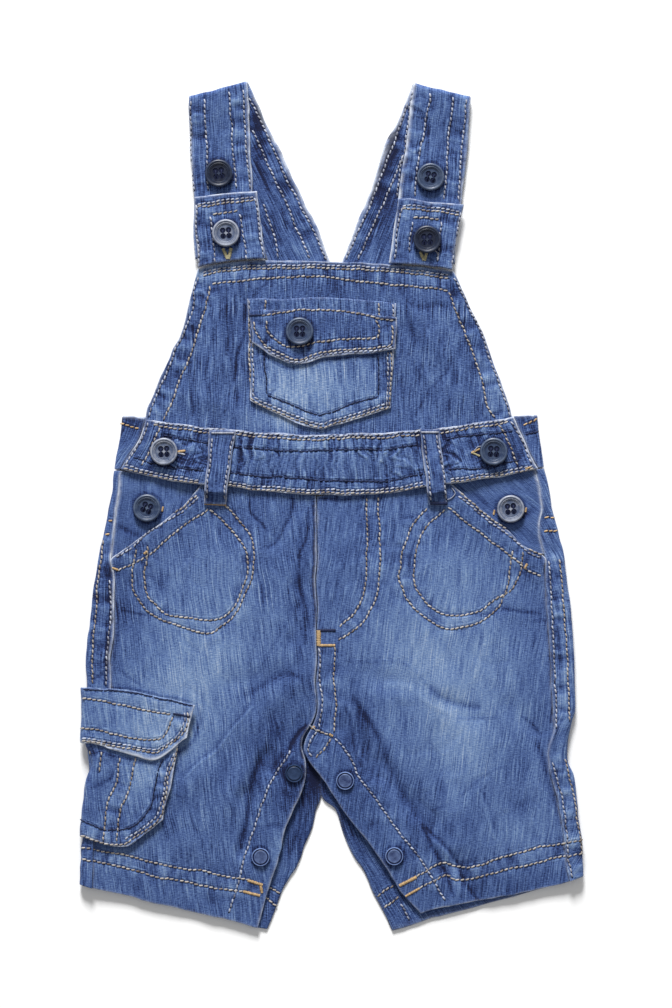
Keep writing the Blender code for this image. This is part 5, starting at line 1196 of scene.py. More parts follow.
def facing_base(x, y):
    """Underside of the hip facings, raised at the side edge where they button over."""
    rise = FACING_RISE * bell(side_distance(x, y), FACING_REACH)
    for mouth in MOUTHS:
        rise = rise * smooth_step(to_segment(x, y, *mouth) / FACING_REACH)
    return front_base(x, y) + rise


def highest_near(rule, x, y, reach):
    """Largest value of a height rule within reach of each point."""
    best = rule(x, y)
    for angle in np.arange(8) * math.pi / 4:
        moved = rule(x + reach * math.cos(angle), y + reach * math.sin(angle))
        best = np.maximum(best, moved)
    return best


def over(rule, thickness):
    """Height rule for a piece that lies on a panel with the given rule and wall."""
    def raised(x, y):
        return highest_near(rule, x, y, REACH) + thickness + GAP
    return raised


def edge_level(edge, x):
    """Y of an edge at x."""
    return np.interp(x, [p[0] for p in edge], [p[1] for p in edge])


def band_base(x, y):
    """Underside of the front waistband, which laps over the bib, the legs and the facings."""
    return np.maximum(over(leg_base, DENIM)(x, y), over(facing_base, DENIM)(x, y))


def gathered(x, y):
    """Height of the waistband's small pleats, zero along its two edges."""
    top, bottom = edge_level(BAND_TOP, x), edge_level(BAND_BOTTOM, x)
    depth = np.clip((top - y) / (top - bottom), 0, 1)
    length = BAND_BOTTOM[-1][0] - BAND_BOTTOM[0][0]
    turn = 2 * math.pi * GATHER_WAVES * (x - BAND_BOTTOM[0][0]) / length
    strength = 0.65 + 0.35 * np.sin(x * 0.09)
    return GATHER_HEIGHT * strength * (0.5 + 0.5 * np.sin(turn)) * np.sin(math.pi * depth)


def pleated_band_base(x, y):
    """Underside of the waistband with its pleats."""
    return band_base(x, y) + gathered(x, y)


def loop_base(x, y):
    """Underside of a belt loop: over the waistband and down to the leg and the bib."""
    top, bottom = edge_level(BAND_TOP, x), edge_level(BAND_BOTTOM, x)
    on_band = band_base(x, y) + GATHER_HEIGHT + BAND
    off_band = leg_base(x, y) + DENIM
    crosses = (y < top + LOOP_STEP) & (y > bottom - LOOP_STEP)
    return np.where(crosses, on_band, off_band) + GAP


def flap_base(x, y):
    """Underside of the bib pocket's flap."""
    return over(front_base, DENIM)(x, y) + DENIM + GAP + FLAP_SLACK


def strap_height(distance):
    """Underside of a front strap at a distance below its fold."""
    high = 2 * STRAP_ROLL
    return high + (STRAP_REST - high) * smooth_step(distance / STRAP_EASE)


def tab_base(side):
    """Underside of a bib tab, which lies on the strap."""
    fold_x, fold_y, end_x, end_y = STRAPS[side][:4]
    length = math.hypot(fold_x - end_x, fold_y - end_y)
    up_x, up_y = (fold_x - end_x) / length, (fold_y - end_y) / length

    def strap_top(x, y):
        distance = (fold_x - x) * up_x + (fold_y - y) * up_y
        return strap_height(np.maximum(distance, 0)) + BAND

    def rule(x, y):
        return highest_near(strap_top, x, y, REACH) + GAP
    return rule


def floor_level(x, y):
    """Underside of what lies straight on the floor."""
    return np.zeros(np.broadcast(x, y).shape)


def leg_top_rule(x, y):
    """Upper face of what the cargo pocket lies on: the leg and the strip beside it."""
    return np.maximum(leg_base(x, y), strip_base(x, y)) + DENIM


# ---------------------------------------------------------------- the shapes of the pieces
def rolled(inner_end, outer_end, x_seam, top_base, thickness, step, lap):
    """Panel that runs along the floor, round the side and over the top as far as a seam.

    The ends are rows of (x, y). Its strip rises at the seam by lap, over the next piece.
    """
    x_inner, y_inner = inner_end[:, :1], inner_end[:, 1:]
    x_outer, y_outer = outer_end[:, :1], outer_end[:, 1:]
    x_seam = x_seam[:, None]
    side = np.sign(x_outer - x_inner)
    slope = (y_outer - y_inner) / (x_outer - x_inner)

    def y_at(x):
        return y_inner + slope * (x - x_inner)

    near = x_outer - side * SIDE_EASE
    low = top_base(near, y_at(near))
    radius = low / 2
    x_turn = x_outer - side * (radius + thickness / 2)
    floor = abs(x_turn - x_inner)
    close = np.concatenate([RIM, np.arange(RIM[-1] + step, FINE_REACH, step)])[None, :]
    far = FINE_REACH + (floor - FINE_REACH) * np.linspace(0, 1, 18)[None, :]
    flat = np.hstack([np.broadcast_to(close, (len(floor), close.shape[1])), far])
    angle = np.linspace(0, math.pi, 12)[None, 1:-1]
    strip = abs(x_turn - x_seam)
    share = spaced(12.0, step)
    share = np.concatenate([np.linspace(0, share[len(RIM)], 3), share[len(RIM) + 1:]])[None, :]
    x_strip = x_turn + (x_seam - x_turn) * share
    ease = smooth_step(abs(x_strip - x_turn) / SIDE_EASE)
    rise = lap * smooth_step(1 - abs(x_strip - x_seam) / 3.5)
    z_strip = (1 - ease) * low + ease * top_base(x_strip, y_at(x_strip)) + rise
    x_flat = x_inner + side * flat
    faces = []
    for arm, z_flat, z_top in ((radius + thickness / 2, 0.0, thickness),
                               (radius - thickness / 2, thickness, 0.0)):
        x_arc = x_turn + side * arm * np.sin(angle)
        x = np.hstack([x_flat, x_arc, x_strip])
        z = np.hstack([np.full(x_flat.shape, z_flat),
                       thickness / 2 + radius - arm * np.cos(angle), z_strip + z_top])
        faces.append(np.stack([x, y_at(x), z], axis=-1))
    way = np.hstack([flat, floor + radius * angle, floor + math.pi * radius + strip * share])
    return faces[0], faces[1], way


def back_leg(ladder, step):
    """Back of one leg, with the strip that comes round to the side seam."""
    shares = spaced(LEG_LENGTH, step * 1.15)
    rows = ladder_rows(ladder, shares)
    seam = along_rung(rows, rows[:, 4:5] - SEAM + STRIP_LAP)[:, 0, 0]
    outer, inner, way = rolled(rows[:, 0:2], rows[:, 2:4], seam, strip_base, DENIM, step, LAP_RISE)
    down = np.broadcast_to(shares[:, None] * LEG_LENGTH, way.shape)
    whole = way[:, -1:]
    far, near = (whole - way, way) if ladder[0][2] > 0 else (way, whole - way)
    return Panel(outer, inner, (down, far, LEG_LENGTH - down, near))


def back_waistband(step):
    """Back waistband, rolled round both sides as far as the front's edge."""
    left_foot = np.array(LEG_LEFT[0][2:4]) + (0, FOOT_GAP)
    right_foot = np.array(LEG_RIGHT[0][2:4]) + (0, FOOT_GAP)
    left_head, right_head = np.array(BACK_BAND_TOP[0]), np.array(BACK_BAND_TOP[1])
    middle_head = left_head[1] - BACK_BAND_SAG
    middle_foot = LEG_LEFT[0][1] + FOOT_GAP
    v = spaced(BACK_BAND_LENGTH, step)[:, None]
    front_left, front_right = fine_path(BAND_LEFT), fine_path(BAND_RIGHT)
    middle = np.hstack([np.full(v.shape, MIDDLE_X), middle_head + (middle_foot - middle_head) * v])
    halves = []
    for head, foot, front, side in ((left_head, left_foot, front_left, -1),
                                    (right_head, right_foot, front_right, 1)):
        ends = head + (foot - head) * v
        seam = np.interp(-ends[:, 1], -front[:, 1], front[:, 0]) + side * SEAM
        halves.append(rolled(middle, ends, seam, front_base, BAND, step, 0.0))
    (west_out, west_in, west_way), (east_out, east_in, east_way) = halves
    outer = np.hstack([west_out[:, ::-1], east_out[:, 1:]])
    inner = np.hstack([west_in[:, ::-1], east_in[:, 1:]])
    half = west_way[:, -1:]
    way = np.hstack([half - west_way[:, ::-1], half + east_way[:, 1:]])
    down = np.broadcast_to(v * BACK_BAND_LENGTH, way.shape)
    return Panel(outer, inner, (down, way[:, -1:] - way, BACK_BAND_LENGTH - down, way))


def rung_panel(ladder, rows, span, u, down, base, lift=0.0):
    """Wall along the rungs of a ladder, over a span measured from their outer ends."""
    start, end = span
    whole = end - start
    grid = along_rung(rows, start + whole * u)
    grid[..., 1] += lift
    way = whole * u
    down, length = np.broadcast_to(down, way.shape), down[-1, 0]
    if ladder[0][2] > 0:
        grid, way = grid[:, ::-1], (whole - way)[:, ::-1]
    return flat_panel(grid, (down, whole - way, length - down, way), base, DENIM)


def front_leg(ladder, hem_step, step):
    """Front of one leg, from the pocket mouth and the side seam to the fly and the inseam."""
    shares = spaced(LEG_LENGTH, step)
    rows = ladder_rows(ladder, shares)
    u = spaced(LEG_WIDTH, step)[None, :]
    start = np.maximum(rows[:, 4:5], rows[:, 5:6])
    end = (rung_length(rows) - rows[:, 6])[:, None]
    lift = hem_step * smooth_step(u) * smooth_step((shares[:, None] - 0.85) / 0.15)
    return rung_panel(ladder, rows, (start, end), u, shares[:, None] * LEG_LENGTH, leg_base, lift)


def hip_facing(ladder, step):
    """Piece behind the pocket mouth, from the side edge to a little way under the mouth."""
    shares = spaced(FACING_LENGTH, step) * (HIP_RUNGS - 1.25) / (len(ladder) - 1)
    rows = ladder_rows(ladder, shares)
    u = spaced(FACING_WIDTH, step)[None, :]
    down = (shares / shares[-1])[:, None] * FACING_LENGTH
    return rung_panel(ladder, rows, (rows[:, 4:5], rows[:, 5:6] + MOUTH_LAP), u, down, facing_base)


def back_bib(step):
    """Back bib, flat on the floor between the straps and the back waistband."""
    a, b, c, d = BACK_BIB
    foot = [d, (MIDDLE_X, BACK_BAND_TOP[0][1] - BACK_BAND_SAG + 1.0), c]
    grid, edges = patch([a, b], [b, c], foot, [a, d], step * 2, smooth=False)
    return flat_panel(grid, edges, floor_level, DENIM)


def strap(side, step):
    """One shoulder strap: up the front, over the fold, and down the back."""
    fold_x, fold_y, end_x, end_y, fold_width, end_width, back_y = STRAPS[side]
    fold, end = np.array((fold_x, fold_y)), np.array((end_x, end_y))
    length = np.linalg.norm(fold - end)
    up = (fold - end) / length
    across = np.array((up[1], -up[0]))
    down = np.array(BACK_DIRECTIONS[side])
    crease = (up + down) / np.linalg.norm(up + down)
    normal = np.array((-crease[1], crease[0]))
    if normal @ up < 0:
        normal = -normal
    reach = math.pi * STRAP_ROLL / (normal @ up)
    share = spaced(fold_width, step)[:, None] - 0.5
    front = np.linspace(-length, 0, round(length / step) + 1)
    station = np.concatenate([front, np.linspace(0, reach, 16)[1:]])[None, :]
    foot = fold + across * share * fold_width
    slide = -((foot - fold) @ normal)[:, None] / (normal @ up)
    spread = fold_width + (end_width - fold_width) * np.clip(-station / length, 0, 1)
    climb = station + slide * np.minimum(1.0, 1 + station / length)
    flat = fold + across * (share * spread)[..., None] + up * climb[..., None]
    q = (flat - fold) @ normal
    height = np.where(station < 0, strap_height(-station), 2 * STRAP_ROLL) + BAND / 2
    folded = (q > 0) & (station > 0)
    angle = np.where(folded, np.clip(q / STRAP_ROLL, 0, math.pi), 0)
    place = flat + normal * np.where(folded, STRAP_ROLL * np.sin(angle) - q, 0)[..., None]
    level = np.where(folded, BAND / 2 + STRAP_ROLL * (1 + np.cos(angle)), height)
    middle = np.concatenate([place, level[..., None]], axis=-1)
    tilt = np.concatenate([normal * np.sin(angle)[..., None], np.cos(angle)[..., None]], axis=-1)
    outer, inner = middle + tilt * BAND / 2, middle - tilt * BAND / 2
    start = outer[:, -1, :2]
    run = ((start[:, 1] - back_y) / -down[1])[:, None]
    part = np.linspace(0, 1, round(run.max() / step) + 1)[None, 1:]
    tail = start[:, None] + down * (part * run)[..., None]
    flat_low = np.concatenate([tail, np.zeros(tail.shape[:2] + (1,))], axis=-1)
    outer = np.hstack([outer, flat_low])
    inner = np.hstack([inner, flat_low + (0, 0, BAND)])
    way = np.hstack([np.broadcast_to(station + length, q.shape), length + reach + part * run])
    across_way = np.broadcast_to((share + 0.5) * fold_width, way.shape)
    whole = way[:, -1:]
    return Panel(outer, inner, (way, fold_width - across_way, whole - way, across_way))


def strap_tab(side, step):
    """Tab that stands up from the bib's top edge over the end of a strap."""
    x0, y0, x1, y1, foot_left, foot_right = TABS[side]
    edge = fine_path(BIB_TOP)
    foot_x = np.linspace(foot_left, foot_right, 5)
    foot_y = np.interp(foot_x, edge[:, 0], edge[:, 1]) + FOOT_GAP
    foot = list(zip(foot_x, foot_y))
    top = [(x0, y0), (x1, y1)]
    grid, edges = patch(top, [top[1], foot[-1]], foot, [top[0], foot[0]], step, smooth=False)
    return flat_panel(grid, edges, tab_base(side), BAND)


def belt_loop(side, step):
    """Belt loop over the front waistband."""
    a, b, c, d = LOOPS[side]
    grid, edges = patch([a, b], [b, c], [d, c], [a, d], step, smooth=False)

    def base(x, y):
        return highest_near(loop_base, x, y, LOOP_REACH)
    return flat_panel(grid, edges, base, DENIM)


def curled_pocket(top, right, bottom, lift, step):
    """Cargo pocket piece that lies on the leg and curls round the rolled side."""
    y_end = np.linspace(top[0][1], bottom[0][1], 24)
    edge = np.interp(-y_end, [-r[3] for r in LEG_LEFT], [r[2] for r in LEG_LEFT])
    level = highest_near(leg_top_rule, edge + REACH, y_end, REACH) + lift
    x_turn = edge - lift - CURL_CLEAR + level / 2
    left = list(zip(x_turn, y_end))
    top = [left[0]] + [p for p in top[1:] if p[0] > x_turn[0] + 2]
    bottom = [left[-1]] + [p for p in bottom[1:] if p[0] > x_turn[-1] + 2]
    grid, edges = patch(top, right, bottom, left, step)
    x, y = grid[..., 0], grid[..., 1]
    start_y = y[:, :1]
    level = np.interp(-start_y, -y_end, level)
    ease = smooth_step((x - x[:, :1]) / REACH)
    low = level * (1 - ease) + (highest_near(leg_top_rule, x, y, REACH) + lift) * ease
    radius = level / 2
    angle = np.radians(np.linspace(100, 0, 12))[None, :-1]
    faces = []
    for arm, rise in ((radius + DENIM, DENIM), (radius, 0.0)):
        curl = np.stack([x[:, :1] - arm * np.sin(angle), np.broadcast_to(start_y, (len(x), 11)),
                         radius + arm * np.cos(angle)], axis=-1)
        faces.append(np.hstack([curl, np.stack([x, y, low + rise], axis=-1)]))
    way = np.hstack([radius * (angle[:, :1] - angle), radius * angle[0, 0] + edges[3]])
    down = np.hstack([np.repeat(edges[0][:, :1], 11, axis=1), edges[0]])
    whole = way[:, -1:]
    length = edges[0][-1, 0]
    return Panel(faces[0], faces[1], (down, whole - way, length - down, way))


# ---------------------------------------------------------------- creases, puckers and wear
def near_path(x, y, path, reach):
    """Distance to a path, and the length along it, for the points that are within reach."""
    distance = np.full(x.size, OUT_OF_REACH)
    place = np.zeros(x.size)
    x, y = x.ravel(), y.ravel()
    starts = lengths_along(path)
    for start, (x0, y0), (x1, y1) in zip(starts, path[:-1], path[1:]):
        dx, dy = x1 - x0, y1 - y0
        size = math.hypot(dx, dy)
        room = reach + size / 2
        close = np.nonzero((abs(x - (x0 + x1) / 2) < room) & (abs(y - (y0 + y1) / 2) < room))[0]
        t = np.clip(((x[close] - x0) * dx + (y[close] - y0) * dy) / size**2, 0, 1)
        here = np.hypot(x[close] - x0 - t * dx, y[close] - y0 - t * dy)
        nearer = here < distance[close]
        distance[close[nearer]] = here[nearer]
        place[close[nearer]] = start + t[nearer] * size
    return distance, place


def row_paths(name):
    """Threads and fine paths of a piece's rows of stitches, second rows included."""
    rows = []
    for threads, gap, points in STITCH_ROWS.get(name, []):
        count = max(3, round(path_length(points) / 1.5))
        path = along(points, np.linspace(0, 1, count + 1))
        for k, thread in enumerate(threads.split()):
            place = lengths_along(path)
            seed = 13 * len(name) + len(rows)
            wander = ROW_WANDER * (uneven_wave(place, 9.0, seed) + 0.6 * uneven_wave(place, 4.0, seed + 1))
            rows.append((thread, shifted(path, k * gap + wander)))
    return rows


def settled(x, y):
    """Where points of the garment lie once it is put down: a little uneven all over."""
    shifts = []
    for seed in (301, 302):
        wide = value_noise(x / 14.0, y / 14.0, seed) - 0.5
        fine = value_noise(x / 5.5, y / 5.5, seed + 10) - 0.5
        shifts.append(SETTLE_WIDE * wide + SETTLE_FINE * fine)
    return x + shifts[0], y + shifts[1]


def uneven_wave(place, pitch, seed):
    """Wave from -1 to 1 along a row, uneven in length and height."""
    return np.clip(3.2 * (value_noise(place / pitch * 2, np.full(place.shape, 0.5), seed) - 0.5), -1, 1)


def seam_effects(name, x, y):
    """Height and tone that a piece's rows of stitches give the cloth round them: painted shade in
    the groove, and light and dark patches on the puckers, partly wear and partly painted shade.
    """
    height, tone = np.zeros(x.size), np.zeros(x.size)
    for number, (thread, path) in enumerate(row_paths(name)):
        distance, place = near_path(x, y, path, 9.0)
        wave = uneven_wave(place, 5.2, 31 * len(name) + number)
        height += -GROOVE * bell(distance, 1.4) + PUCKER * wave * bell(distance - 2.0, 2.2)
        tone += -0.05 * bell(distance, 1.6) + 0.13 * wave * bell(distance - 2.0, 2.4)
    return height, tone


def band_effects(name, x, y):
    """Height and tone of the puckered patches between paired rows; the tone follows the height,
    partly as wear and partly as painted light and shade.
    """
    height, tone = np.zeros(x.size), np.zeros(x.size)
    rows = [row[2] for row in STITCH_ROWS.get(name, [])]
    for number, (first, second, pitch, strength) in enumerate(BANDS.get(name, [])):
        shares = np.linspace(0, 1, 24)
        one, two = along(rows[first], shares), along(rows[second], shares)
        half = np.linalg.norm(one - two, axis=1) / 2
        distance, place = near_path(x, y, (one + two) / 2, half.max() + 2.0)
        reach = lengths_along((one + two) / 2)
        inside = smooth_step((np.interp(place, reach, half) - distance) / 0.9 + 0.3)
        seed = 7 * len(name) + number
        slant = place + 1.2 * (value_noise(place / 8, distance / 4, seed + 3) - 0.5) * distance
        wave = uneven_wave(slant, pitch, seed)
        fine = uneven_wave(slant, pitch * 0.45, seed + 2)
        height += (0.28 * wave + 0.10 * fine) * strength * inside
        tone += (0.19 * wave + 0.12 * fine) * strength * inside
    return height, tone


def crease_and_shade_effects(creases, x, y, sharp_share=1.0):
    """Height and tone of creases: painted shade in troughs and shadow lines, painted light on ridges,
    with the fading of washed denim. Where ribbons add to sharp creases, these get a share here.
    """
    height, tone = np.zeros(x.size), np.zeros(x.size)
    for width, rise, shade, points in creases:
        path = along(points, np.linspace(0, 1, CREASE_POINTS))
        distance, place = near_path(x, y, path, width * 3)
        left = lengths_along(path)[-1] - place
        fade = smooth_step(place / CREASE_FADE + 0.2) * smooth_step(left / CREASE_FADE + 0.2)
        height += rise * fade * bell(distance, width)
        tone += shade * fade * bell(distance, width) * (sharp_share if width <= SHARP_CREASE else 1.0)
    return height, tone


def back_row_paths():
    """Threads and fine paths of the rows on the garment's back."""
    rows = []
    for number, (thread, points) in enumerate(BACK_ROWS):
        path = along(points, np.linspace(0, 1, max(3, round(path_length(points) / 1.5))))
        wander = 2 * ROW_WANDER * uneven_wave(lengths_along(path), 11.0, 90 + number)
        rows.append((thread, shifted(path, wander)))
    return rows


def back_effects(x, y):
    """Height above the floor and tone that rows and creases give the garment's back: painted shade
    along the rows' grooves, patches beside them, the creases' tone and the broad fading.
    """
    height, tone = np.zeros(x.size), np.zeros(x.size)
    for number, (thread, path) in enumerate(back_row_paths()):
        distance, place = near_path(x, y, path, 9.0)
        wave = uneven_wave(place, 5.0, 60 + number)
        height += BACK_GROOVE * bell(distance, 1.5) + 0.1 * (1 - wave) * bell(distance - 2.0, 2.2)
        tone += -0.22 * bell(distance, 1.1) + 0.12 * wave * bell(distance - 2.2, 2.2)
    crease_height, crease_tone = crease_and_shade_effects(BACK_CREASES, x, y)
    return height + crease_height, tone + crease_tone + wash_and_shade("back", x, y)


def wash_and_shade(name, x, y):
    """Broad fading of the denim, with painted shade at the crotch, the inseams, the fly, folds and
    corners, and painted light against some of the garment's own shadows.
    """
    group = name.replace("_leg_left", "_legs").replace("_leg_right", "_legs")
    tone = np.zeros(x.size)
    for x0, y0, reach_x, reach_y, amount in WASH_AND_SHADE.get(group, []):
        tone += amount * np.exp(-((x.ravel() - x0) / reach_x) ** 2 - ((y.ravel() - y0) / reach_y) ** 2)
    return tone


def box_mm(node):
    """Lowest and highest corner of a solid."""
    return [np.array(corner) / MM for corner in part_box(node)]


def painted_fastener_shadow(x, y):
    """Painted shadow: a dark ring on the cloth round each button and stud."""
    tone = np.zeros(x.size)
    for node in (*FINISHED_BUTTONS, *SNAPS):
        low, high = box_mm(node)
        middle, radius = (low + high) / 2, (high[0] - low[0]) / 2
        distance = np.hypot(x.ravel() - middle[0], y.ravel() - middle[1])
        tone -= 0.36 * bell(distance - radius - 0.3, 0.9)
    return tone


def crumple(panel, seed):
    """Small uneven waves of soft cloth: height, and tone that follows the waves, partly wear and
    partly painted light and shade, with uneven streaks.
    """
    u, v = panel.weave[..., 0].ravel(), panel.weave[..., 1].ravel()
    wide = value_noise(u / 11 + 0.3 * v / 11, v / 17, seed) - 0.5
    fine = value_noise(u / 4.5, v / 9 - 0.2 * u / 9, seed + 1) - 0.5
    streak = value_noise(u / 3.4, v / 32, seed + 3) - 0.5
    ridges = []
    for turn, shift in ((0.55, 2), (-0.65, 4)):
        a, b = spun(u, v, turn)
        ridge = 1 - abs(2 * value_noise(a / 13, b / 26, seed + shift) - 1)
        ridges.append(np.clip(ridge - 0.84, 0, 1) / 0.16)
    sharp = ridges[0] - ridges[1]
    height = 0.26 * wide + 0.15 * fine + 0.13 * sharp
    return height, 0.05 * fine + 0.03 * wide + 0.10 * streak + 0.03 * sharp


# ---------------------------------------------------------------- meshes
def new_mesh(name, points, *groups):
    """Mesh from points in mm and arrays of faces, each array of one size of face."""
    mesh = bpy.data.meshes.new(name)
    corners = np.concatenate([faces.ravel() for faces in groups])
    sizes = np.concatenate([np.full(len(faces), faces.shape[1]) for faces in groups])
    mesh.vertices.add(len(points))
    mesh.vertices.foreach_set("co", (points * MM).astype(np.float32).ravel())
    mesh.loops.add(len(corners))
    mesh.loops.foreach_set("vertex_index", corners.astype(np.int32))
    mesh.polygons.add(len(sizes))
    mesh.polygons.foreach_set("loop_start", (np.cumsum(sizes) - sizes).astype(np.int32))
    mesh.update(calc_edges=True)
    mesh.shade_smooth()
    return mesh


def set_values(mesh, name, values):
    """Store one number for each point, or one vector, for the shaders to read."""
    kind = "FLOAT" if values.ndim == 1 else "FLOAT_VECTOR"
    field = "value" if values.ndim == 1 else "vector"
    attribute = mesh.attributes.new(name, kind, "POINT")
    attribute.data.foreach_set(field, values.astype(np.float32).ravel())


def placed(name, data):
    """New object in the scene."""
    thing = bpy.data.objects.new(name, data)
    bpy.context.scene.collection.objects.link(thing)
    return thing


def add_piece(name, mesh, replaces=()):
    """Put a piece in the scene, on the garment's one body."""
    piece = placed(name, mesh)
    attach(piece, "root")
    if replaces:
        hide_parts(*replaces)
    return piece


def every_second(count):
    """Every second number below count, and the last one."""
    return np.unique(np.append(np.arange(0, count, 2), count - 1))


def grid_quads(index):
    """Quads between the points of a grid of numbers."""
    return np.stack([index[:-1, :-1], index[1:, :-1], index[1:, 1:], index[:-1, 1:]],
                    axis=-1).reshape(-1, 4)


def shell_faces(rows, columns):
    """Faces of a fine grid and one with half its lines, joined round their edges.

    Gives the quads, the rim's faces with five corners, and which points the coarse grid keeps.
    """
    index = np.arange(rows * columns).reshape(rows, columns)
    kept_rows, kept_columns = every_second(rows), every_second(columns)
    kept = index[np.ix_(kept_rows, kept_columns)]
    coarse = np.arange(kept.size).reshape(kept.shape) + rows * columns
    quads, fives = [grid_quads(index), grid_quads(coarse)[:, ::-1]], []
    sides = [(kept_columns, index[0], coarse[0], 1), (kept_rows, index[:, -1], coarse[:, -1], 1),
             (kept_columns, index[-1], coarse[-1], -1), (kept_rows, index[:, 0], coarse[:, 0], -1)]
    for kept_places, fine_line, coarse_line, way in sides:
        for k, (start, end) in enumerate(zip(kept_places[:-1], kept_places[1:])):
            face = [*fine_line[start:end + 1], coarse_line[k + 1], coarse_line[k]][::way]
            (fives if len(face) == 5 else quads).append(np.array([face]))
    return np.vstack(quads), np.vstack(fives), kept.ravel()


def volume(points, faces):
    """Volume inside a closed mesh, below zero where it is inside out."""
    a, b, c, d = (points[faces[:, k]] for k in range(4))
    return (np.einsum("ij,ij->", a, np.cross(b, c)) + np.einsum("ij,ij->", a, np.cross(c, d))) / 6


def sew_up(name, panel):
    """Make the finished shell of one cloth piece from its two faces."""
    base_tone, worn = CLOTH_LOOKS[name]
    seed = sum(ord(letter) for letter in name)
    pull(panel, name)
    wall = panel.outer - panel.inner
    thickness = np.linalg.norm(wall, axis=2, keepdims=True)
    normal = wall / thickness
    edges = panel.edges
    nearest = np.minimum.reduce(list(edges.values()))
    depth = np.clip(nearest[..., None] / (thickness / 2), 0, 1)
    swell = EDGE_SWELL + (1 - EDGE_SWELL) * np.sqrt(1 - (1 - depth) ** 2)
    middle = (panel.outer + panel.inner) / 2
    half = normal * thickness / 2 * swell
    bumps, bump_tone = crumple(panel, seed)
    steady = smooth_step(nearest.ravel() / 4 + 0.3)
    wear = worn_edges(name, panel, worn, seed)
    points, tones = [], []
    for face, way in ((middle + half, normal[..., 2]), (middle - half, -normal[..., 2])):
        x, y = face[..., 0], face[..., 1]
        seam_height, seam_tone = seam_effects(name, x, y)
        band_height, band_tone = band_effects(name, x, y)
        crease_height, crease_tone = crease_and_shade_effects(CREASES_AND_SHADOW_LINES.get(name, []), x, y, SHARP_SHARE)
        up = smooth_step((way.ravel() - 0.1) / 0.5)
        height = (seam_height + band_height + crease_height + bumps * steady) * up
        # The tone: the cloth's fading and wear, with painted shade and light from the rows, bands and
        # creases, and the painted shadow round the fasteners.
        tone = (seam_tone + band_tone + crease_tone + wash_and_shade(name, x, y) + painted_fastener_shadow(x, y)) * up
        down = (1 - up) * (face[..., 2].ravel() < ON_FLOOR)
        if down.max() > 0:
            back_height, back_tone = back_effects(x, y)
            height += (back_height + np.maximum(0.5 * bumps + 0.12, 0) * steady) * down
            tone += back_tone * down
        else:
            height += np.minimum(crease_height, 0) * 0.5 * (1 - up)
        lifted = face.reshape(-1, 3) + np.outer(height, (0, 0, 1))
        lifted[:, 0], lifted[:, 1] = settled(lifted[:, 0], lifted[:, 1])
        points.append(lifted)
        tones.append(base_tone + bump_tone + tone)
    quads, fives, kept = shell_faces(*panel.outer.shape[:2])
    points = np.vstack([points[0], points[1][kept]])
    if volume(points, quads) < 0:
        quads, fives = quads[:, ::-1], fives[:, ::-1]
    mesh = new_mesh(name + "_cloth", points, quads, fives)
    weave = panel.weave.reshape(-1, 2)
    weave = np.hstack([weave, np.full((len(weave), 1), seed % 97)])
    for key, values in (("tone", tones), ("wear", [wear, wear]), ("weave", [weave, weave])):
        set_values(mesh, key, np.concatenate([values[0], values[1][kept]]))
    set_values(mesh, "grain", np.full(len(points), GRAIN.get(name, 1.0)))
    slot = CLOTH_SLOTS.get(name, "denim")
    mesh.materials.append(denim_material(slot))
    add_piece(name + "_cloth", mesh, [name])


def pull(panel, name):
    """Push the free edges of a piece out or in, where they bow."""
    for start, full, y_middle, reach, shift in PULLS.get(name, []):
        for face in (panel.outer, panel.inner):
            side = smooth_step((face[..., 0] - start) / (full - start))
            face[..., 0] += shift * side * bell(face[..., 1] - y_middle, reach)


def worn_edges(name, panel, worn, seed):
    """Wear of a piece along its top, right, bottom and left edges, broken up as cloth wears."""
    u, v = panel.weave[..., 0], panel.weave[..., 1]
    fine = value_noise(u / 1.3, v / 1.8, seed + 5)
    wide = value_noise(u / 7, v / 8, seed + 6)
    rub_and_painted_light = np.clip(0.9 * fine + 1.1 * wide - 0.25, 0.15, 1.3)
    rub_and_painted_light = rub_and_painted_light * smooth_step((panel.outer[..., 1] - UNWORN_BELOW.get(name, -1000.0)) / 6)
    wear = np.zeros(u.shape)
    for side, amount in zip(panel.edges, worn):
        wear = np.maximum(wear, amount * bell(panel.edges[side], 0.75 * max(1, amount)) * rub_and_painted_light)
    return wear.ravel()


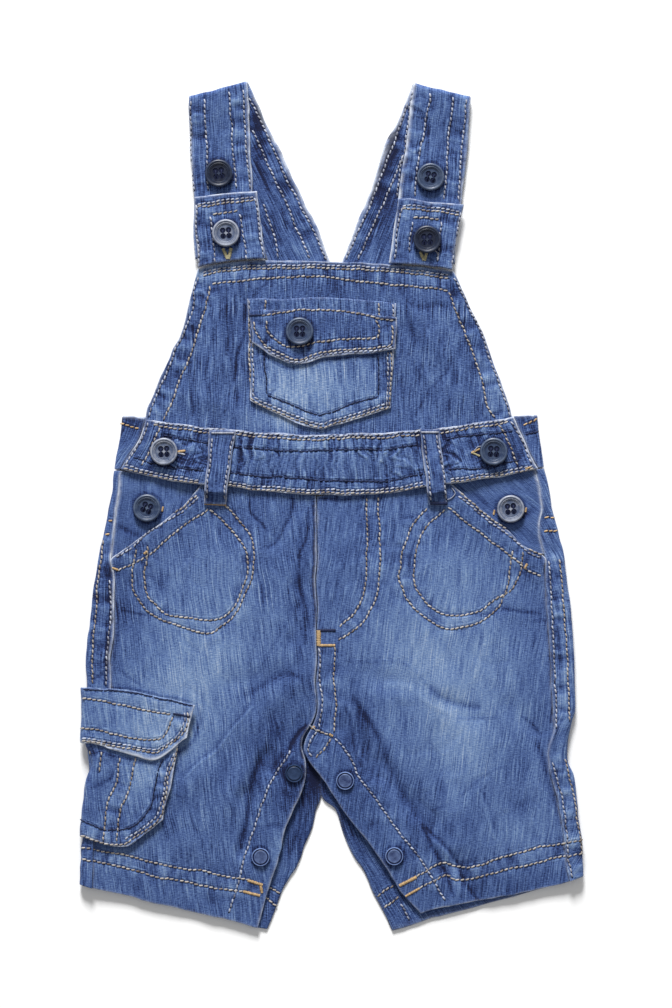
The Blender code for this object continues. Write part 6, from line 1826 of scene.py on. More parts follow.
# ---------------------------------------------------------------- shader groups and materials
class Wires:
    """Adds nodes to a tree and joins them."""

    def __init__(self, tree):
        self.tree = tree

    def node(self, kind, **values):
        node = self.tree.nodes.new("ShaderNode" + kind)
        for key, value in values.items():
            setattr(node, key, value)
        return node

    def feed(self, socket, value):
        if isinstance(value, bpy.types.NodeSocket):
            self.tree.links.new(value, socket)
        else:
            socket.default_value = value

    def joined(self, kind, values, **settings):
        node = self.node(kind, **settings)
        for socket, value in zip(node.inputs, values):
            self.feed(socket, value)
        return node.outputs[0]

    def maths(self, operation, *values, clamp=False):
        return self.joined("Math", values, operation=operation, use_clamp=clamp)

    def vector(self, operation, *values):
        return self.joined("VectorMath", values, operation=operation)

    def plain_noise(self, vector, scale, detail, roughness=0.5):
        node = self.node("TexNoise", noise_dimensions="3D")
        self.feed(node.inputs["Vector"], vector)
        for key, value in (("Scale", scale), ("Detail", detail), ("Roughness", roughness)):
            node.inputs[key].default_value = value
        return node.outputs[0]

    def noise(self, vector, across, down, shift, detail, roughness):
        """Noise with cells of the given size in mm, as a value round 0."""
        moved = self.vector("ADD", vector, (shift, shift * 1.7, 0.0))
        scaled = self.vector("MULTIPLY", moved, (1 / across, 1 / down, 1.0))
        return self.maths("SUBTRACT", self.plain_noise(scaled, 1.0, detail, roughness), 0.5)

    def ramp(self, value, stops):
        node = self.node("ValToRGB")
        elements = node.color_ramp.elements
        while len(elements) < len(stops):
            elements.new(0.5)
        for element, (place, colour) in zip(elements, stops):
            element.position = place
            element.color = colour
        self.feed(node.inputs[0], value)
        return node.outputs[0]

    def mix(self, factor, first, second):
        node = self.node("Mix", data_type="RGBA")
        self.feed(node.inputs[0], factor)
        self.feed(node.inputs[6], first)
        self.feed(node.inputs[7], second)
        return node.outputs[2]


def linear(red, green, blue, light=1.0):
    """Linear colour of an sRGB one given from 0 to 255, for cloth under that much light."""
    parts = []
    for value in (red, green, blue):
        value /= 255
        part = value / 12.92 if value <= 0.04045 else ((value + 0.055) / 1.055) ** 2.4
        parts.append(part / light)
    return (*parts, 1.0)


def new_group(name, inputs, outputs):
    """Shader group with named sockets: its tree, its wires and its two ends."""
    tree = bpy.data.node_groups.new(name, "ShaderNodeTree")
    kinds = {"float": "NodeSocketFloat", "vector": "NodeSocketVector", "colour": "NodeSocketColor"}
    for key, kind, default in inputs:
        socket = tree.interface.new_socket(name=key, in_out="INPUT", socket_type=kinds[kind])
        if default is not None:
            socket.default_value = default
    for key, kind in outputs:
        tree.interface.new_socket(name=key, in_out="OUTPUT", socket_type=kinds[kind])
    return (tree, Wires(tree), tree.nodes.new("NodeGroupInput").outputs,
            tree.nodes.new("NodeGroupOutput").inputs)


def denim_group():
    """Woven denim: uneven threads both ways over a tone, from dark indigo to worn white."""
    found = bpy.data.node_groups.get("Denim weave")
    if found:
        return found
    light = bpy.context.scene.dungarees_denim.light_on_cloth
    tree, wires, given, result = new_group(
        "Denim weave",
        [("Weave", "vector", None), ("Tone", "float", 0.5), ("Wear", "float", 0.0),
         ("Grain", "float", 1.0), ("Slubs", "float", 1.0)],
        [("Color", "colour"), ("Height", "float"), ("Roughness", "float")])
    total = 0.0
    for across, down, shift, detail, roughness, weight in DENIM_THREADS:
        threads = wires.noise(given["Weave"], across, down, shift, detail, roughness)
        total = wires.maths("MULTIPLY_ADD", threads, weight, total)
    speckle = threads
    slub = wires.noise(given["Weave"], *SLUB)
    for thread, start, weight in ((slub, 0.12, 2.6), (wires.maths("MULTIPLY", slub, -1.0), 0.16, -1.2)):
        thick = wires.maths("SUBTRACT", thread, start, clamp=True)
        total = wires.maths("MULTIPLY_ADD", thick, weight, total)
    strength = wires.maths("MULTIPLY", given["Slubs"], given["Grain"])
    tone = wires.maths("MULTIPLY_ADD", total, strength, given["Tone"])
    lightest = DENIM_RAMP[-1][0]
    stops = [(place / lightest, linear(*colour, light)) for place, colour in DENIM_RAMP]
    colour = wires.ramp(wires.maths("MULTIPLY", tone, 1 / lightest, clamp=True), stops)
    uneven = wires.maths("MULTIPLY_ADD", speckle, 1.2, 1.0, clamp=True)
    worn = wires.maths("MULTIPLY", given["Wear"], uneven, clamp=True)
    wires.feed(result["Color"], wires.mix(worn, colour, linear(*WORN_EDGE, light)))
    wires.feed(result["Height"], total)
    wires.feed(result["Roughness"], wires.maths("MULTIPLY_ADD", tone, 0.10, 0.78))
    return tree


def thread_group():
    """Sewing thread, mixed from dark to light by each point's shade: uneven from stitch to stitch,
    and painted shade at a stitch's ends.
    """
    found = bpy.data.node_groups.get("Thread with painted shade")
    if found:
        return found
    tree, wires, given, result = new_group(
        "Thread with painted shade",
        [("Shade", "float", 0.5), ("Light thread", "colour", None), ("Dark thread", "colour", None)],
        [("Color", "colour"), ("Height", "float")])
    fine = wires.plain_noise(wires.node("TexCoord").outputs["Object"], 2600.0, 1.0)
    value = wires.maths("MULTIPLY_ADD", fine, 0.9, given["Shade"])
    value = wires.maths("SUBTRACT", value, 0.45, clamp=True)
    wires.feed(result["Color"], wires.mix(value, given["Dark thread"], given["Light thread"]))
    wires.feed(result["Height"], fine)
    return tree


def hard_group():
    """Moulded plastic or painted metal with a soft cloud and fine scratches, lighter where a point is
    given painted highlight and darker where it is given painted groove shade.
    """
    found = bpy.data.node_groups.get("Rubbed surface with painted light")
    if found:
        return found
    tree, wires, given, result = new_group(
        "Rubbed surface with painted light",
        [("Base", "colour", None), ("Rubbed_and_lit", "colour", None), ("Rub_and_painted_light", "float", 0.0)],
        [("Color", "colour"), ("Height", "float"), ("Roughness", "float")])
    place = wires.node("TexCoord").outputs["Object"]
    cloud, scratches = (wires.plain_noise(place, scale, 3.0) for scale in (420.0, 3200.0))
    value = wires.maths("MULTIPLY_ADD", cloud, 0.8, given["Rub_and_painted_light"])
    value = wires.maths("MULTIPLY_ADD", scratches, 0.5, value)
    value = wires.maths("SUBTRACT", value, 0.62, clamp=True)
    wires.feed(result["Color"], wires.mix(value, given["Base"], given["Rubbed_and_lit"]))
    wires.feed(result["Height"], scratches)
    wires.feed(result["Roughness"], wires.maths("MULTIPLY_ADD", cloud, 0.25, 0.3))
    return tree


def plain_material(name, gloss):
    """New material, its shader with the given gloss, and wires to add to it."""
    material = bpy.data.materials.new(name)
    material.use_nodes = True
    shader = material.node_tree.nodes["Principled BSDF"]
    for key, value in gloss.items():
        shader.inputs[key].default_value = value
    return material, Wires(material.node_tree), shader


def group_material(name, tree, values, readers, bump, gloss):
    """Material that shows a shader group.

    Values go to the group's sockets, readers name the stored numbers that feed others, and the
    bump is its strength and distance in mm.
    """
    found = bpy.data.materials.get(name)
    if found:
        return found
    material, wires, shader = plain_material(name, gloss)
    group = wires.node("Group", node_tree=tree)
    for key, value in values.items():
        group.inputs[key].default_value = value
    for key in readers:
        reader = wires.node("Attribute", attribute_name=key)
        wires.feed(group.inputs[key.capitalize()], reader.outputs["Vector" if key == "weave" else "Fac"])
    for key, socket in (("Color", "Base Color"), ("Roughness", "Roughness")):
        if key in group.outputs:
            wires.feed(shader.inputs[socket], group.outputs[key])
    if bump:
        node = wires.node("Bump")
        node.inputs["Strength"].default_value = bump[0]
        node.inputs["Distance"].default_value = bump[1] * MM
        wires.feed(node.inputs["Height"], group.outputs["Height"])
        wires.feed(shader.inputs["Normal"], node.outputs[0])
    return material


def denim_material(slot):
    """Denim that reads each point's tone, wear and place in the weave."""
    slubs = bpy.context.scene.dungarees_denim.slub_strength
    return group_material("washed_" + slot, denim_group(), {"Slubs": slubs},
                          ("weave", "tone", "wear", "grain"), (0.45, 0.35),
                          {"Specular IOR Level": 0.18, "Sheen Weight": 0.06})


def thread_material(thread):
    """One colour of sewing thread, or the painted shade of a needle hole."""
    light_on = bpy.context.scene.dungarees_denim.light_on_cloth
    hole = thread == "hole"
    dark, light = (NEEDLE_HOLE_SHADE, [v + 12 for v in NEEDLE_HOLE_SHADE]) if hole else THREADS[thread]
    colours = {"Dark thread": linear(*dark, light_on), "Light thread": linear(*light, light_on)}
    if hole:
        return group_material("needle_hole_shade", thread_group(), colours, (), None,
                              {"Roughness": 0.9, "Specular IOR Level": 0.1})
    return group_material("thread_" + thread, thread_group(), colours, ("shade",), (0.4, 0.1),
                          {"Roughness": 0.62, "Specular IOR Level": 0.3})


def hard_material(name, base, rubbed_and_lit):
    """Button plastic or press stud paint, lighter where it is worn and where it has painted highlights."""
    light_on = bpy.context.scene.dungarees_denim.light_on_cloth
    colours = {"Base": linear(*base, light_on), "Rubbed_and_lit": linear(*rubbed_and_lit, light_on)}
    return group_material(name, hard_group(), colours, ("rub_and_painted_light",), (0.15, 0.05),
                          {"Specular IOR Level": 0.35})


# ---------------------------------------------------------------- stitches
def cloth_tree(name):
    """Search tree of a finished cloth piece, in mm."""
    points, faces = cloth_arrays(name)
    return BVHTree.FromPolygons(points.tolist(), faces.tolist())


def cloth_arrays(name):
    """Points in mm and quads of a finished cloth piece."""
    mesh = bpy.data.objects[name + "_cloth"].data
    points = np.empty(len(mesh.vertices) * 3)
    mesh.vertices.foreach_get("co", points)
    corners = np.empty(len(mesh.loops), dtype=np.int32)
    mesh.loops.foreach_get("vertex_index", corners)
    quads = 5 * len(mesh.polygons) - len(mesh.loops)
    return points.reshape(-1, 3) / MM, corners[:4 * quads].reshape(-1, 4)


def stored_values(name, key, size):
    """Numbers or vectors stored on a finished cloth piece."""
    mesh = bpy.data.objects[name + "_cloth"].data
    values = np.empty(len(mesh.vertices) * size)
    mesh.attributes[key].data.foreach_get("value" if size == 1 else "vector", values)
    return values.reshape(-1, size)


class Ribbons:
    """Strips of finer cloth on one piece, where stitches or a sharp crease mark it; they carry the
    painted shade of the groove or the crease.
    """

    def __init__(self, name, tree):
        self.name, self.tree = name, tree
        self.surface, self.quads = cloth_arrays(name)
        self.values = np.hstack([stored_values(name, key, size)
                                 for key, size in (("tone", 1), ("wear", 1), ("weave", 3))])
        self.points, self.held, self.faces, self.count = [], [], [], 0

    def lay(self, path, columns, pucker, seed):
        """Lay one strip along a path, from columns of (distance, height, tone)."""
        length = lengths_along(path)[-1]
        stations = max(3, round(length / RIBBON_STEP))
        reach = np.linspace(0, length, stations + 1)
        line = np.stack([np.interp(reach, lengths_along(path), axis) for axis in path.T], axis=-1)
        waves = uneven_wave(reach, 2.6, seed), uneven_wave(reach, 2.9, seed + 1)
        rub_and_painted_light = 0.75 + 0.35 * uneven_wave(reach, 1.9, seed + 2)
        ends = np.clip((np.minimum(reach, length - reach) + 0.2) / 1.2, 0, 1)
        grid = np.full((stations + 1, len(columns), 3), np.nan)
        held = np.zeros((stations + 1, len(columns), 5))
        outside = max(column[0] for column in columns)
        for k, (offset, lift, shade) in enumerate(columns):
            inside = abs(offset) < outside
            wave = waves[offset > 0] * pucker * (0.5 if abs(offset) < 1 else 1.0) * inside
            for j, (x, y) in enumerate(shifted(line, offset)):
                hit = self.tree.ray_cast(Vector((x, y, SIGHT)), Vector((0, 0, -1)))
                if hit[0] is None or hit[1].z < 0.2 or hit[2] >= len(self.quads):
                    continue
                face = self.quads[hit[2]]
                weights = poly_3d_calc([Vector(self.surface[v]) for v in face], hit[0])
                held[j, k] = np.array(weights) @ self.values[face]
                # Tone: the cloth's own, plus the painted shade of the groove or crease, uneven along the
                # strip, and the pucker patches.
                held[j, k, 0] += (shade * rub_and_painted_light[j] + wave[j]) * ends[j]
                rise = lift if not inside else (lift + 0.6 * wave[j]) * ends[j]
                grid[j, k] = (x, y, hit[0].z + rise - 0.12 * (1 - ends[j]))
        self.keep(grid, held)

    def keep(self, grid, held):
        """Take in a strip, without its faces over gaps or steps."""
        flat = grid[..., 2]
        corners = np.stack([flat[:-1, :-1], flat[1:, :-1], flat[1:, 1:], flat[:-1, 1:]], axis=-1)
        with np.errstate(invalid="ignore"):
            whole = (corners.max(axis=-1) - corners.min(axis=-1)) < 1.0
        index = np.arange(flat.size).reshape(flat.shape) + self.count
        self.faces.append(grid_quads(index)[whole.ravel(), ::-1])
        self.points.append(grid.reshape(-1, 3))
        self.held.append(held.reshape(-1, 5))
        self.count += flat.size

    def finish(self):
        """Make one piece of the strips, where there are any."""
        faces = np.vstack(self.faces) if self.faces else np.zeros((0, 4), int)
        if not len(faces):
            return
        used = np.unique(faces)
        renumber = np.zeros(self.count, dtype=int)
        renumber[used] = np.arange(len(used))
        held = np.vstack(self.held)[used]
        mesh = new_mesh(self.name + "_seams", np.vstack(self.points)[used], renumber[faces])
        set_values(mesh, "tone", held[:, 0])
        set_values(mesh, "wear", held[:, 1])
        set_values(mesh, "weave", held[:, 2:])
        set_values(mesh, "grain", np.full(len(held), GRAIN.get(self.name, 1.0)))
        slot = CLOTH_SLOTS.get(self.name, "denim")
        mesh.materials.append(denim_material(slot))
        add_piece(self.name + "_seams", mesh)


def lay_ribbons(name, tree):
    """Finer cloth under a piece's rows of stitches and its sharp creases."""
    ribbons = Ribbons(name, tree)
    for number, (width, rise, shade, points) in enumerate(CREASES_AND_SHADOW_LINES.get(name, [])):
        if width > SHARP_CREASE:
            continue
        path = along(points, np.linspace(0, 1, max(8, round(path_length(points) / 2.0))))
        columns = [(offset * width, lift, shade * share * 0.75)
                   for offset, lift, share in CREASE_RIBBON]
        ribbons.lay(settled_path(path), columns, 0.0, 23 * len(name) + number)
    for number, (thread, path) in enumerate(row_paths(name)):
        dark = NAVY_SHADE if thread == "navy" else 1.0
        columns = [(offset, lift, shade * (dark if shade < 0 else 1.0))
                   for offset, lift, shade in SEAM_RIBBON]
        ribbons.lay(settled_path(path), columns, 0.15, 17 * len(name) + 3 * number)
    ribbons.finish()


def settled_path(path):
    """A path of (x, y) moved as the cloth under it settles."""
    return np.stack(settled(path[:, 0], path[:, 1]), axis=-1)


def drop(tree, x, y, side=1):
    """Height of the cloth at (x, y), seen from above or, with side -1, from below."""
    hit = tree.ray_cast(Vector((x, y, SIGHT * side)), Vector((0, 0, -side)))
    return None if hit[0] is None else hit[0].z


def rod_template():
    """One stitch along X: a closed rod with six sides whose ends dip, as points and quads."""
    rings = [(-0.5, 0.45, -0.95), (-0.24, 1.0, 0.1), (0.24, 1.0, 0.1), (0.5, 0.45, -0.95)]
    angle = np.arange(6) * math.pi / 3
    points = []
    for place, girth, lift in rings:
        for a in angle:
            points.append((place, girth * math.cos(a), girth * math.sin(a) * 0.85 + lift))
    faces = [(0, 1, 2, 3), (0, 3, 4, 5), (21, 20, 19, 18), (23, 22, 21, 18)]
    for ring in range(len(rings) - 1):
        for k in range(6):
            a, b = ring * 6 + k, ring * 6 + (k + 1) % 6
            faces.append((a, a + 6, b + 6, b))
    return np.array(points), np.array(faces)


class Threadwork:
    """Collects the stitches of one piece, thread by thread."""

    def __init__(self, name, tree, side=1):
        self.name, self.tree, self.side = name, tree, side
        self.random = np.random.default_rng(sum(ord(c) for c in name) + 5)
        self.points, self.faces, self.shades, self.kinds = [], [], [], []
        self.count = 0
        self.rod, self.rod_faces = rod_template()

    def add(self, points, faces, shades, kind):
        self.points.append(points)
        self.faces.append(faces + self.count)
        self.shades.append(shades)
        self.kinds.append(np.full(len(faces), kind))
        self.count += len(points)

    def stitch(self, x, y, angle, length, radius, thread, shade, rise=0.0):
        """One stitch on the cloth at (x, y); nothing where there is no cloth."""
        way = np.array((math.cos(angle), math.sin(angle)))
        level = drop(self.tree, x, y, self.side)
        if level is None:
            return
        ends = [drop(self.tree, x + s * way[0] * length / 2, y + s * way[1] * length / 2, self.side)
                for s in (-1, 1)]
        ends = [level if end is None or abs(end - level) > STITCH_DROP else end for end in ends]
        slope = (ends[1] - ends[0]) / length
        level = max(level, sum(ends) / 2) if self.side > 0 else min(level, sum(ends) / 2)
        level += STITCH_LIFT
        rod = self.rod
        u = rod[:, 0] * length
        px = x + u * way[0] - rod[:, 1] * radius * way[1]
        py = y + u * way[1] + rod[:, 1] * radius * way[0]
        pz = level + slope * u + self.side * (rod[:, 2] * radius + rise)
        faces = self.rod_faces if self.side > 0 else self.rod_faces[:, ::-1]
        # Painted shade at both ends of the stitch, where it dips into the cloth.
        shades = shade + 0.15 - STITCH_ENDS * (np.abs(rod[:, 0]) > 0.3)
        self.add(np.stack([px, py, pz], axis=-1), faces, shades, thread)

    def hole(self, x, y, angle):
        """Dark disc of painted shade at the needle hole between two stitches."""
        level = drop(self.tree, x, y, self.side)
        if level is None:
            return
        a = np.arange(6) * math.pi / 3
        u, v = HOLE_LENGTH * np.cos(a), HOLE_WIDTH * np.sin(a)
        px = np.append(x + u * math.cos(angle) - v * math.sin(angle), x)
        py = np.append(y + u * math.sin(angle) + v * math.cos(angle), y)
        pz = np.full(7, level + self.side * HOLE_LIFT)
        pz[-1] += self.side * HOLE_MIDDLE
        ring = [(k, (k + 1) % 6, 6, 6) for k in range(6)]
        faces = np.array(ring if self.side > 0 else [face[::-1] for face in ring])
        self.add(np.stack([px, py, pz], axis=-1), faces, np.zeros(7), "hole")

    def row(self, path, thread):
        """A row of stitches, a little uneven, with a dark disc of painted shade at the needle hole between
        each two.
        """
        reach = lengths_along(path)
        length = reach[-1]
        count = max(1, round(length / STITCH_PITCH))
        pitch = length / count
        places = (np.arange(count) + 0.5) * pitch + self.random.normal(0, 0.08, count)
        places = np.clip(places, 0, length)
        way = np.gradient(path, axis=0)
        xs, ys = np.interp(places, reach, path[:, 0]), np.interp(places, reach, path[:, 1])
        dx, dy = np.interp(places, reach, way[:, 0]), np.interp(places, reach, way[:, 1])
        size = STITCH_LENGTH * (0.9 + 0.25 * self.random.random(count))
        shade = 0.5 + 0.3 * uneven_wave(places, 6.0, 41) + self.random.normal(0, 0.16, count)
        for k in range(count):
            along_row = math.atan2(dy[k], dx[k])
            slant = math.radians(STITCH_SLANT) * (1 if thread != "navy" else 0.4)
            self.stitch(xs[k], ys[k], along_row + slant, size[k],
                        (NAVY_RADIUS if thread == "navy" else STITCH_RADIUS)
                        * (0.88 + 0.24 * self.random.random()), thread, shade[k])
            gap = places[k] + pitch / 2
            if gap < length and self.random.random() < 0.8:
                self.hole(np.interp(gap, reach, path[:, 0]), np.interp(gap, reach, path[:, 1]),
                          along_row)

    def bar(self, thread, x, y, length, width, degrees):
        """A bar tack: short threads side by side across a line."""
        angle = math.radians(degrees)
        count = max(3, round(length / BAR_PITCH))
        for k in range(count):
            place = (k + 0.5) / count * length - length / 2
            lean = self.random.normal(0, 0.08)
            self.stitch(x + place * math.cos(angle), y + place * math.sin(angle),
                        angle + math.pi / 2 + lean, width * (0.9 + 0.25 * self.random.random()),
                        BAR_RADIUS, thread, 0.35 + 0.4 * self.random.random(), BAR_RAISE)

    def finish(self):
        """Turn what was collected into one piece."""
        if not self.points:
            return
        faces, kinds = np.vstack(self.faces), np.concatenate(self.kinds)
        triangles = faces[:, 2] == faces[:, 3]
        kinds = np.concatenate([kinds[~triangles], kinds[triangles]])
        mesh = new_mesh(self.name + "_stitching", np.vstack(self.points), faces[~triangles],
                        faces[triangles, :3])
        names = sorted(set(kinds))
        for kind in names:
            mesh.materials.append(thread_material(str(kind)))
        mesh.polygons.foreach_set("material_index", [names.index(kind) for kind in kinds])
        set_values(mesh, "shade", np.concatenate(self.shades))
        add_piece(self.name + "_stitching", mesh)


def nearest_piece(x, y, trees, side=1):
    """The cloth that is seen first at (x, y)."""
    best, found = None, None
    for name, tree in trees.items():
        level = drop(tree, x, y, side)
        if level is not None and (best is None or level * side > best * side):
            best, found = level, name
    return found


def tube(points, radius, sides=6):
    """Points and quads of a thread along a line of (x, y, z)."""
    points = np.array(points)
    way = np.gradient(points, axis=0)
    way /= np.linalg.norm(way, axis=1)[:, None]
    across = np.cross(way, (0, 0, 1.0))
    across /= np.linalg.norm(across, axis=1)[:, None]
    up = np.cross(across, way)
    angle = np.arange(sides) * 2 * math.pi / sides
    rings = (points[:, None] + radius * (across[:, None] * np.cos(angle)[None, :, None]
                                         + up[:, None] * np.sin(angle)[None, :, None]))
    index = np.arange(len(points) * sides).reshape(len(points), sides)
    return rings.reshape(-1, 3), grid_quads(np.hstack([index, index[:, :1]]))[:, ::-1]


# ---------------------------------------------------------------- buttons and press studs
def turned(profile, segments=48):
    """Mesh turned from a profile of (radius, height) in mm that starts and ends on the axis."""
    mesh = bmesh.new()
    rings = []
    for radius, height in profile:
        if radius == 0:
            rings.append([mesh.verts.new((0, 0, height * MM))])
            continue
        ring = []
        for k in range(segments):
            a = 2 * math.pi * k / segments
            ring.append(mesh.verts.new((radius * MM * math.cos(a), radius * MM * math.sin(a),
                                        height * MM)))
        rings.append(ring)
    for low, high in zip(rings[:-1], rings[1:]):
        for k in range(segments):
            corners = [low[k % len(low)], low[(k + 1) % len(low)], high[(k + 1) % len(high)],
                       high[k % len(high)]]
            corners = list(dict.fromkeys(corners))
            mesh.faces.new(corners)
    bmesh.ops.recalc_face_normals(mesh, faces=mesh.faces)
    return mesh


def mesh_from(build, name, angle=SHARP_EDGE):
    """Blender mesh of a bmesh, smooth apart from edges sharper than the angle."""
    mesh = bpy.data.meshes.new(name)
    build.to_mesh(mesh)
    build.free()
    mesh.shade_smooth()
    mesh.set_sharp_from_angle(angle=math.radians(angle))
    return mesh


def hole_places(settings):
    """Middle of each of a button's four holes."""
    half = settings.hole_spacing / MM / 2
    return (-half, -half), (half, -half), (half, half), (-half, half)


def button_body(name):
    """Moulded button with a rounded rim, a sunk middle and four holes."""
    settings = bpy.context.scene.dungarees_buttons
    body = placed(name, mesh_from(turned(BUTTON_PROFILE), name))
    cutters = []
    radius = settings.hole_size / MM / 2
    profile = [(0, -1.0), (radius, -1.0), (radius, 5.0), (0, 5.0)]
    for x, y in hole_places(settings):
        cutter = placed("cutter", mesh_from(turned(profile, 20), "cutter"))
        cutter.location = (x * MM, y * MM, 0)
        modifier = body.modifiers.new("hole", "BOOLEAN")
        modifier.operation = "DIFFERENCE"
        modifier.object = cutter
        cutters.append(cutter)
    bpy.context.view_layer.update()
    graph = bpy.context.evaluated_depsgraph_get()
    mesh = bpy.data.meshes.new_from_object(body.evaluated_get(graph), depsgraph=graph)
    for cutter in cutters:
        bpy.data.objects.remove(cutter)
    bpy.data.objects.remove(body)
    mesh.set_sharp_from_angle(angle=math.radians(SHARP_EDGE))
    return mesh


def put_fastener(node, mesh, suffix, turn, rub_and_painted_light):
    """Place a button or stud on its solid, standing as high as the solid does."""
    low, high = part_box(node)
    x, y = (low[0] + high[0]) / 2, (low[1] + high[1]) / 2
    points = np.empty(len(mesh.vertices) * 3)
    mesh.vertices.foreach_get("co", points)
    points = points.reshape(-1, 3)
    spun_x, spun_y = spun(points[:, 0], points[:, 1], turn)
    moved = np.stack([spun_x + x, spun_y + y, points[:, 2] + low[2]], axis=-1)
    copy = mesh.copy()
    copy.name = node + suffix
    copy.vertices.foreach_set("co", moved.astype(np.float32).ravel())
    copy.update()
    radius = np.hypot(points[:, 0], points[:, 1]) / MM
    set_values(copy, "rub_and_painted_light", rub_and_painted_light(radius))
    add_piece(node + suffix, copy, [node])


# ---------------------------------------------------------------- settings
class DenimSettings(bpy.types.PropertyGroup):
    """Cloth of the garment."""

    grid_step: bpy.props.FloatProperty(
        name="Grid step", description="Distance between the points of a cloth piece",
        default=1.15 * MM, min=0.5 * MM, max=4 * MM, unit="LENGTH")
    slub_strength: bpy.props.FloatProperty(
        name="Slub strength", description="How strongly the uneven threads show",
        default=1.0, min=0.0, max=3.0, subtype="FACTOR")
    light_on_cloth: bpy.props.FloatProperty(
        name="Light on the cloth", description="How bright the studio lights a white sheet",
        default=1.3, min=0.3, max=4.0, subtype="FACTOR")


class ButtonSettings(bpy.types.PropertyGroup):
    """Sewn buttons."""

    hole_size: bpy.props.FloatProperty(
        name="Hole size", description="Width of a button's thread hole",
        default=3.1 * MM, min=0.5 * MM, max=4 * MM, unit="LENGTH")
    hole_spacing: bpy.props.FloatProperty(
        name="Hole spacing", description="Distance between two holes side by side",
        default=3.2 * MM, min=1 * MM, max=6 * MM, unit="LENGTH")


class StudioSettings(bpy.types.PropertyGroup):
    """Floor, light and camera."""

    floor_colour: bpy.props.FloatVectorProperty(
        name="Floor colour", description="Colour of the pale floor",
        default=(0.94, 0.94, 0.94), size=3, min=0, max=1, subtype="COLOR")
    room_light: bpy.props.FloatProperty(
        name="Room light", description="Strength of the even light all round",
        default=0.39, min=0.0, max=4.0)
    key_power: bpy.props.FloatProperty(
        name="Key light", description="Power of the large soft light at the upper left",
        default=336.0, min=0.0, max=900.0, subtype="POWER")
    camera_height: bpy.props.FloatProperty(
        name="Camera height", description="Height of the camera over the floor",
        default=1.545, min=0.5, max=5.0, unit="LENGTH")


# ---------------------------------------------------------------- operators
def cloth_step(context, share=1.0):
    """Distance between the points of a piece, which may be finer than the setting."""
    return context.scene.dungarees_denim.grid_step / MM * share


class DUNGAREES_OT_studio(bpy.types.Operator):
    """Lay a pale floor, light it softly and look straight down on it"""

    bl_idname = "dungarees.studio"
    bl_label = "Studio"

    def execute(self, context):
        settings = context.scene.dungarees_studio
        mesh = bpy.data.meshes.new("floor")
        corners = [(x * FLOOR_REACH, y * FLOOR_REACH, -FLOOR_DROP)
                   for x, y in ((-1, -1), (1, -1), (1, 1), (-1, 1))]
        mesh.from_pydata(corners, [], [(0, 1, 2, 3)])
        mesh.materials.append(plain_material("pale_floor", {
            "Base Color": (*settings.floor_colour, 1.0), "Roughness": 1.0, "Specular IOR Level": 0.0})[0])
        placed("floor", mesh)
        world = bpy.data.worlds.new("room")
        world.use_nodes = True
        background = world.node_tree.nodes["Background"]
        background.inputs["Color"].default_value = (1, 1, 1, 1)
        background.inputs["Strength"].default_value = settings.room_light
        context.scene.world = world
        lamp = bpy.data.lights.new("key", "AREA")
        lamp.energy = settings.key_power
        lamp.size = KEY_SIZE
        key = placed("key", lamp)
        key.location = KEY_PLACE
        key.rotation_euler = (-key.location).to_track_quat("-Z", "Y").to_euler()
        data = bpy.data.cameras.new("camera")
        data.lens = CAMERA_LENS
        data.sensor_fit = "VERTICAL"
        data.sensor_height = data.sensor_width = SENSOR
        data.clip_start = 0.05
        camera = placed("camera", data)
        camera.location = (*CAMERA_OVER, settings.camera_height)
        context.scene.camera = camera
        context.scene.view_settings.view_transform = "Standard"
        return {"FINISHED"}


class DUNGAREES_OT_backs(bpy.types.Operator):
    """Make the back: both legs, the waistband and the bib"""

    bl_idname = "dungarees.backs"
    bl_label = "Back"

    def execute(self, context):
        step = cloth_step(context)
        for name, ladder in (("back_leg_left", LEG_LEFT), ("back_leg_right", LEG_RIGHT)):
            sew_up(name, back_leg(ladder, step))
        sew_up("back_waistband", back_waistband(step))
        sew_up("back_bib", back_bib(step))
        return {"FINISHED"}


class DUNGAREES_OT_fronts(bpy.types.Operator):
    """Make the fronts of the legs and the facings behind the pocket mouths"""

    bl_idname = "dungarees.fronts"
    bl_label = "Front legs"

    def execute(self, context):
        step = cloth_step(context)
        left = front_leg(LEG_LEFT, 0.0, step)
        right = front_leg(LEG_RIGHT, HEM_STEP_RIGHT, step)
        sew_up("front_leg_left", left.lean(-6.5))
        sew_up("front_leg_right", right.lean(8.0))
        sew_up("hip_facing_left", hip_facing(LEG_LEFT, step))
        sew_up("hip_facing_right", hip_facing(LEG_RIGHT, step))
        return {"FINISHED"}


class DUNGAREES_OT_bib(bpy.types.Operator):
    """Make the bib, its pocket and the pocket's flap"""

    bl_idname = "dungarees.bib"
    bl_label = "Bib"

    def execute(self, context):
        step = cloth_step(context)
        grid, edges = patch(BIB_TOP, BIB_RIGHT, BIB_BOTTOM, BIB_LEFT, step)
        sew_up("bib", flat_panel(grid, edges, front_base, DENIM).lean(1.5))
        right = [BIB_POCKET_TOP[-1], BIB_POCKET_BOTTOM[-1]]
        left = [BIB_POCKET_TOP[0], BIB_POCKET_BOTTOM[0]]
        grid, edges = patch(BIB_POCKET_TOP, right, BIB_POCKET_BOTTOM, left, step * 0.85)
        sew_up("bib_pocket", flat_panel(grid, edges, over(front_base, DENIM), DENIM).lean(-2.0))
        right = [BIB_FLAP_TOP[-1], BIB_FLAP_BOTTOM[-1]]
        grid, edges = patch(BIB_FLAP_TOP, right, BIB_FLAP_BOTTOM, BIB_FLAP_LEFT, step * 0.8)
        sew_up("bib_pocket_flap", flat_panel(grid, edges, flap_base, DENIM).lean(1.0))
        return {"FINISHED"}


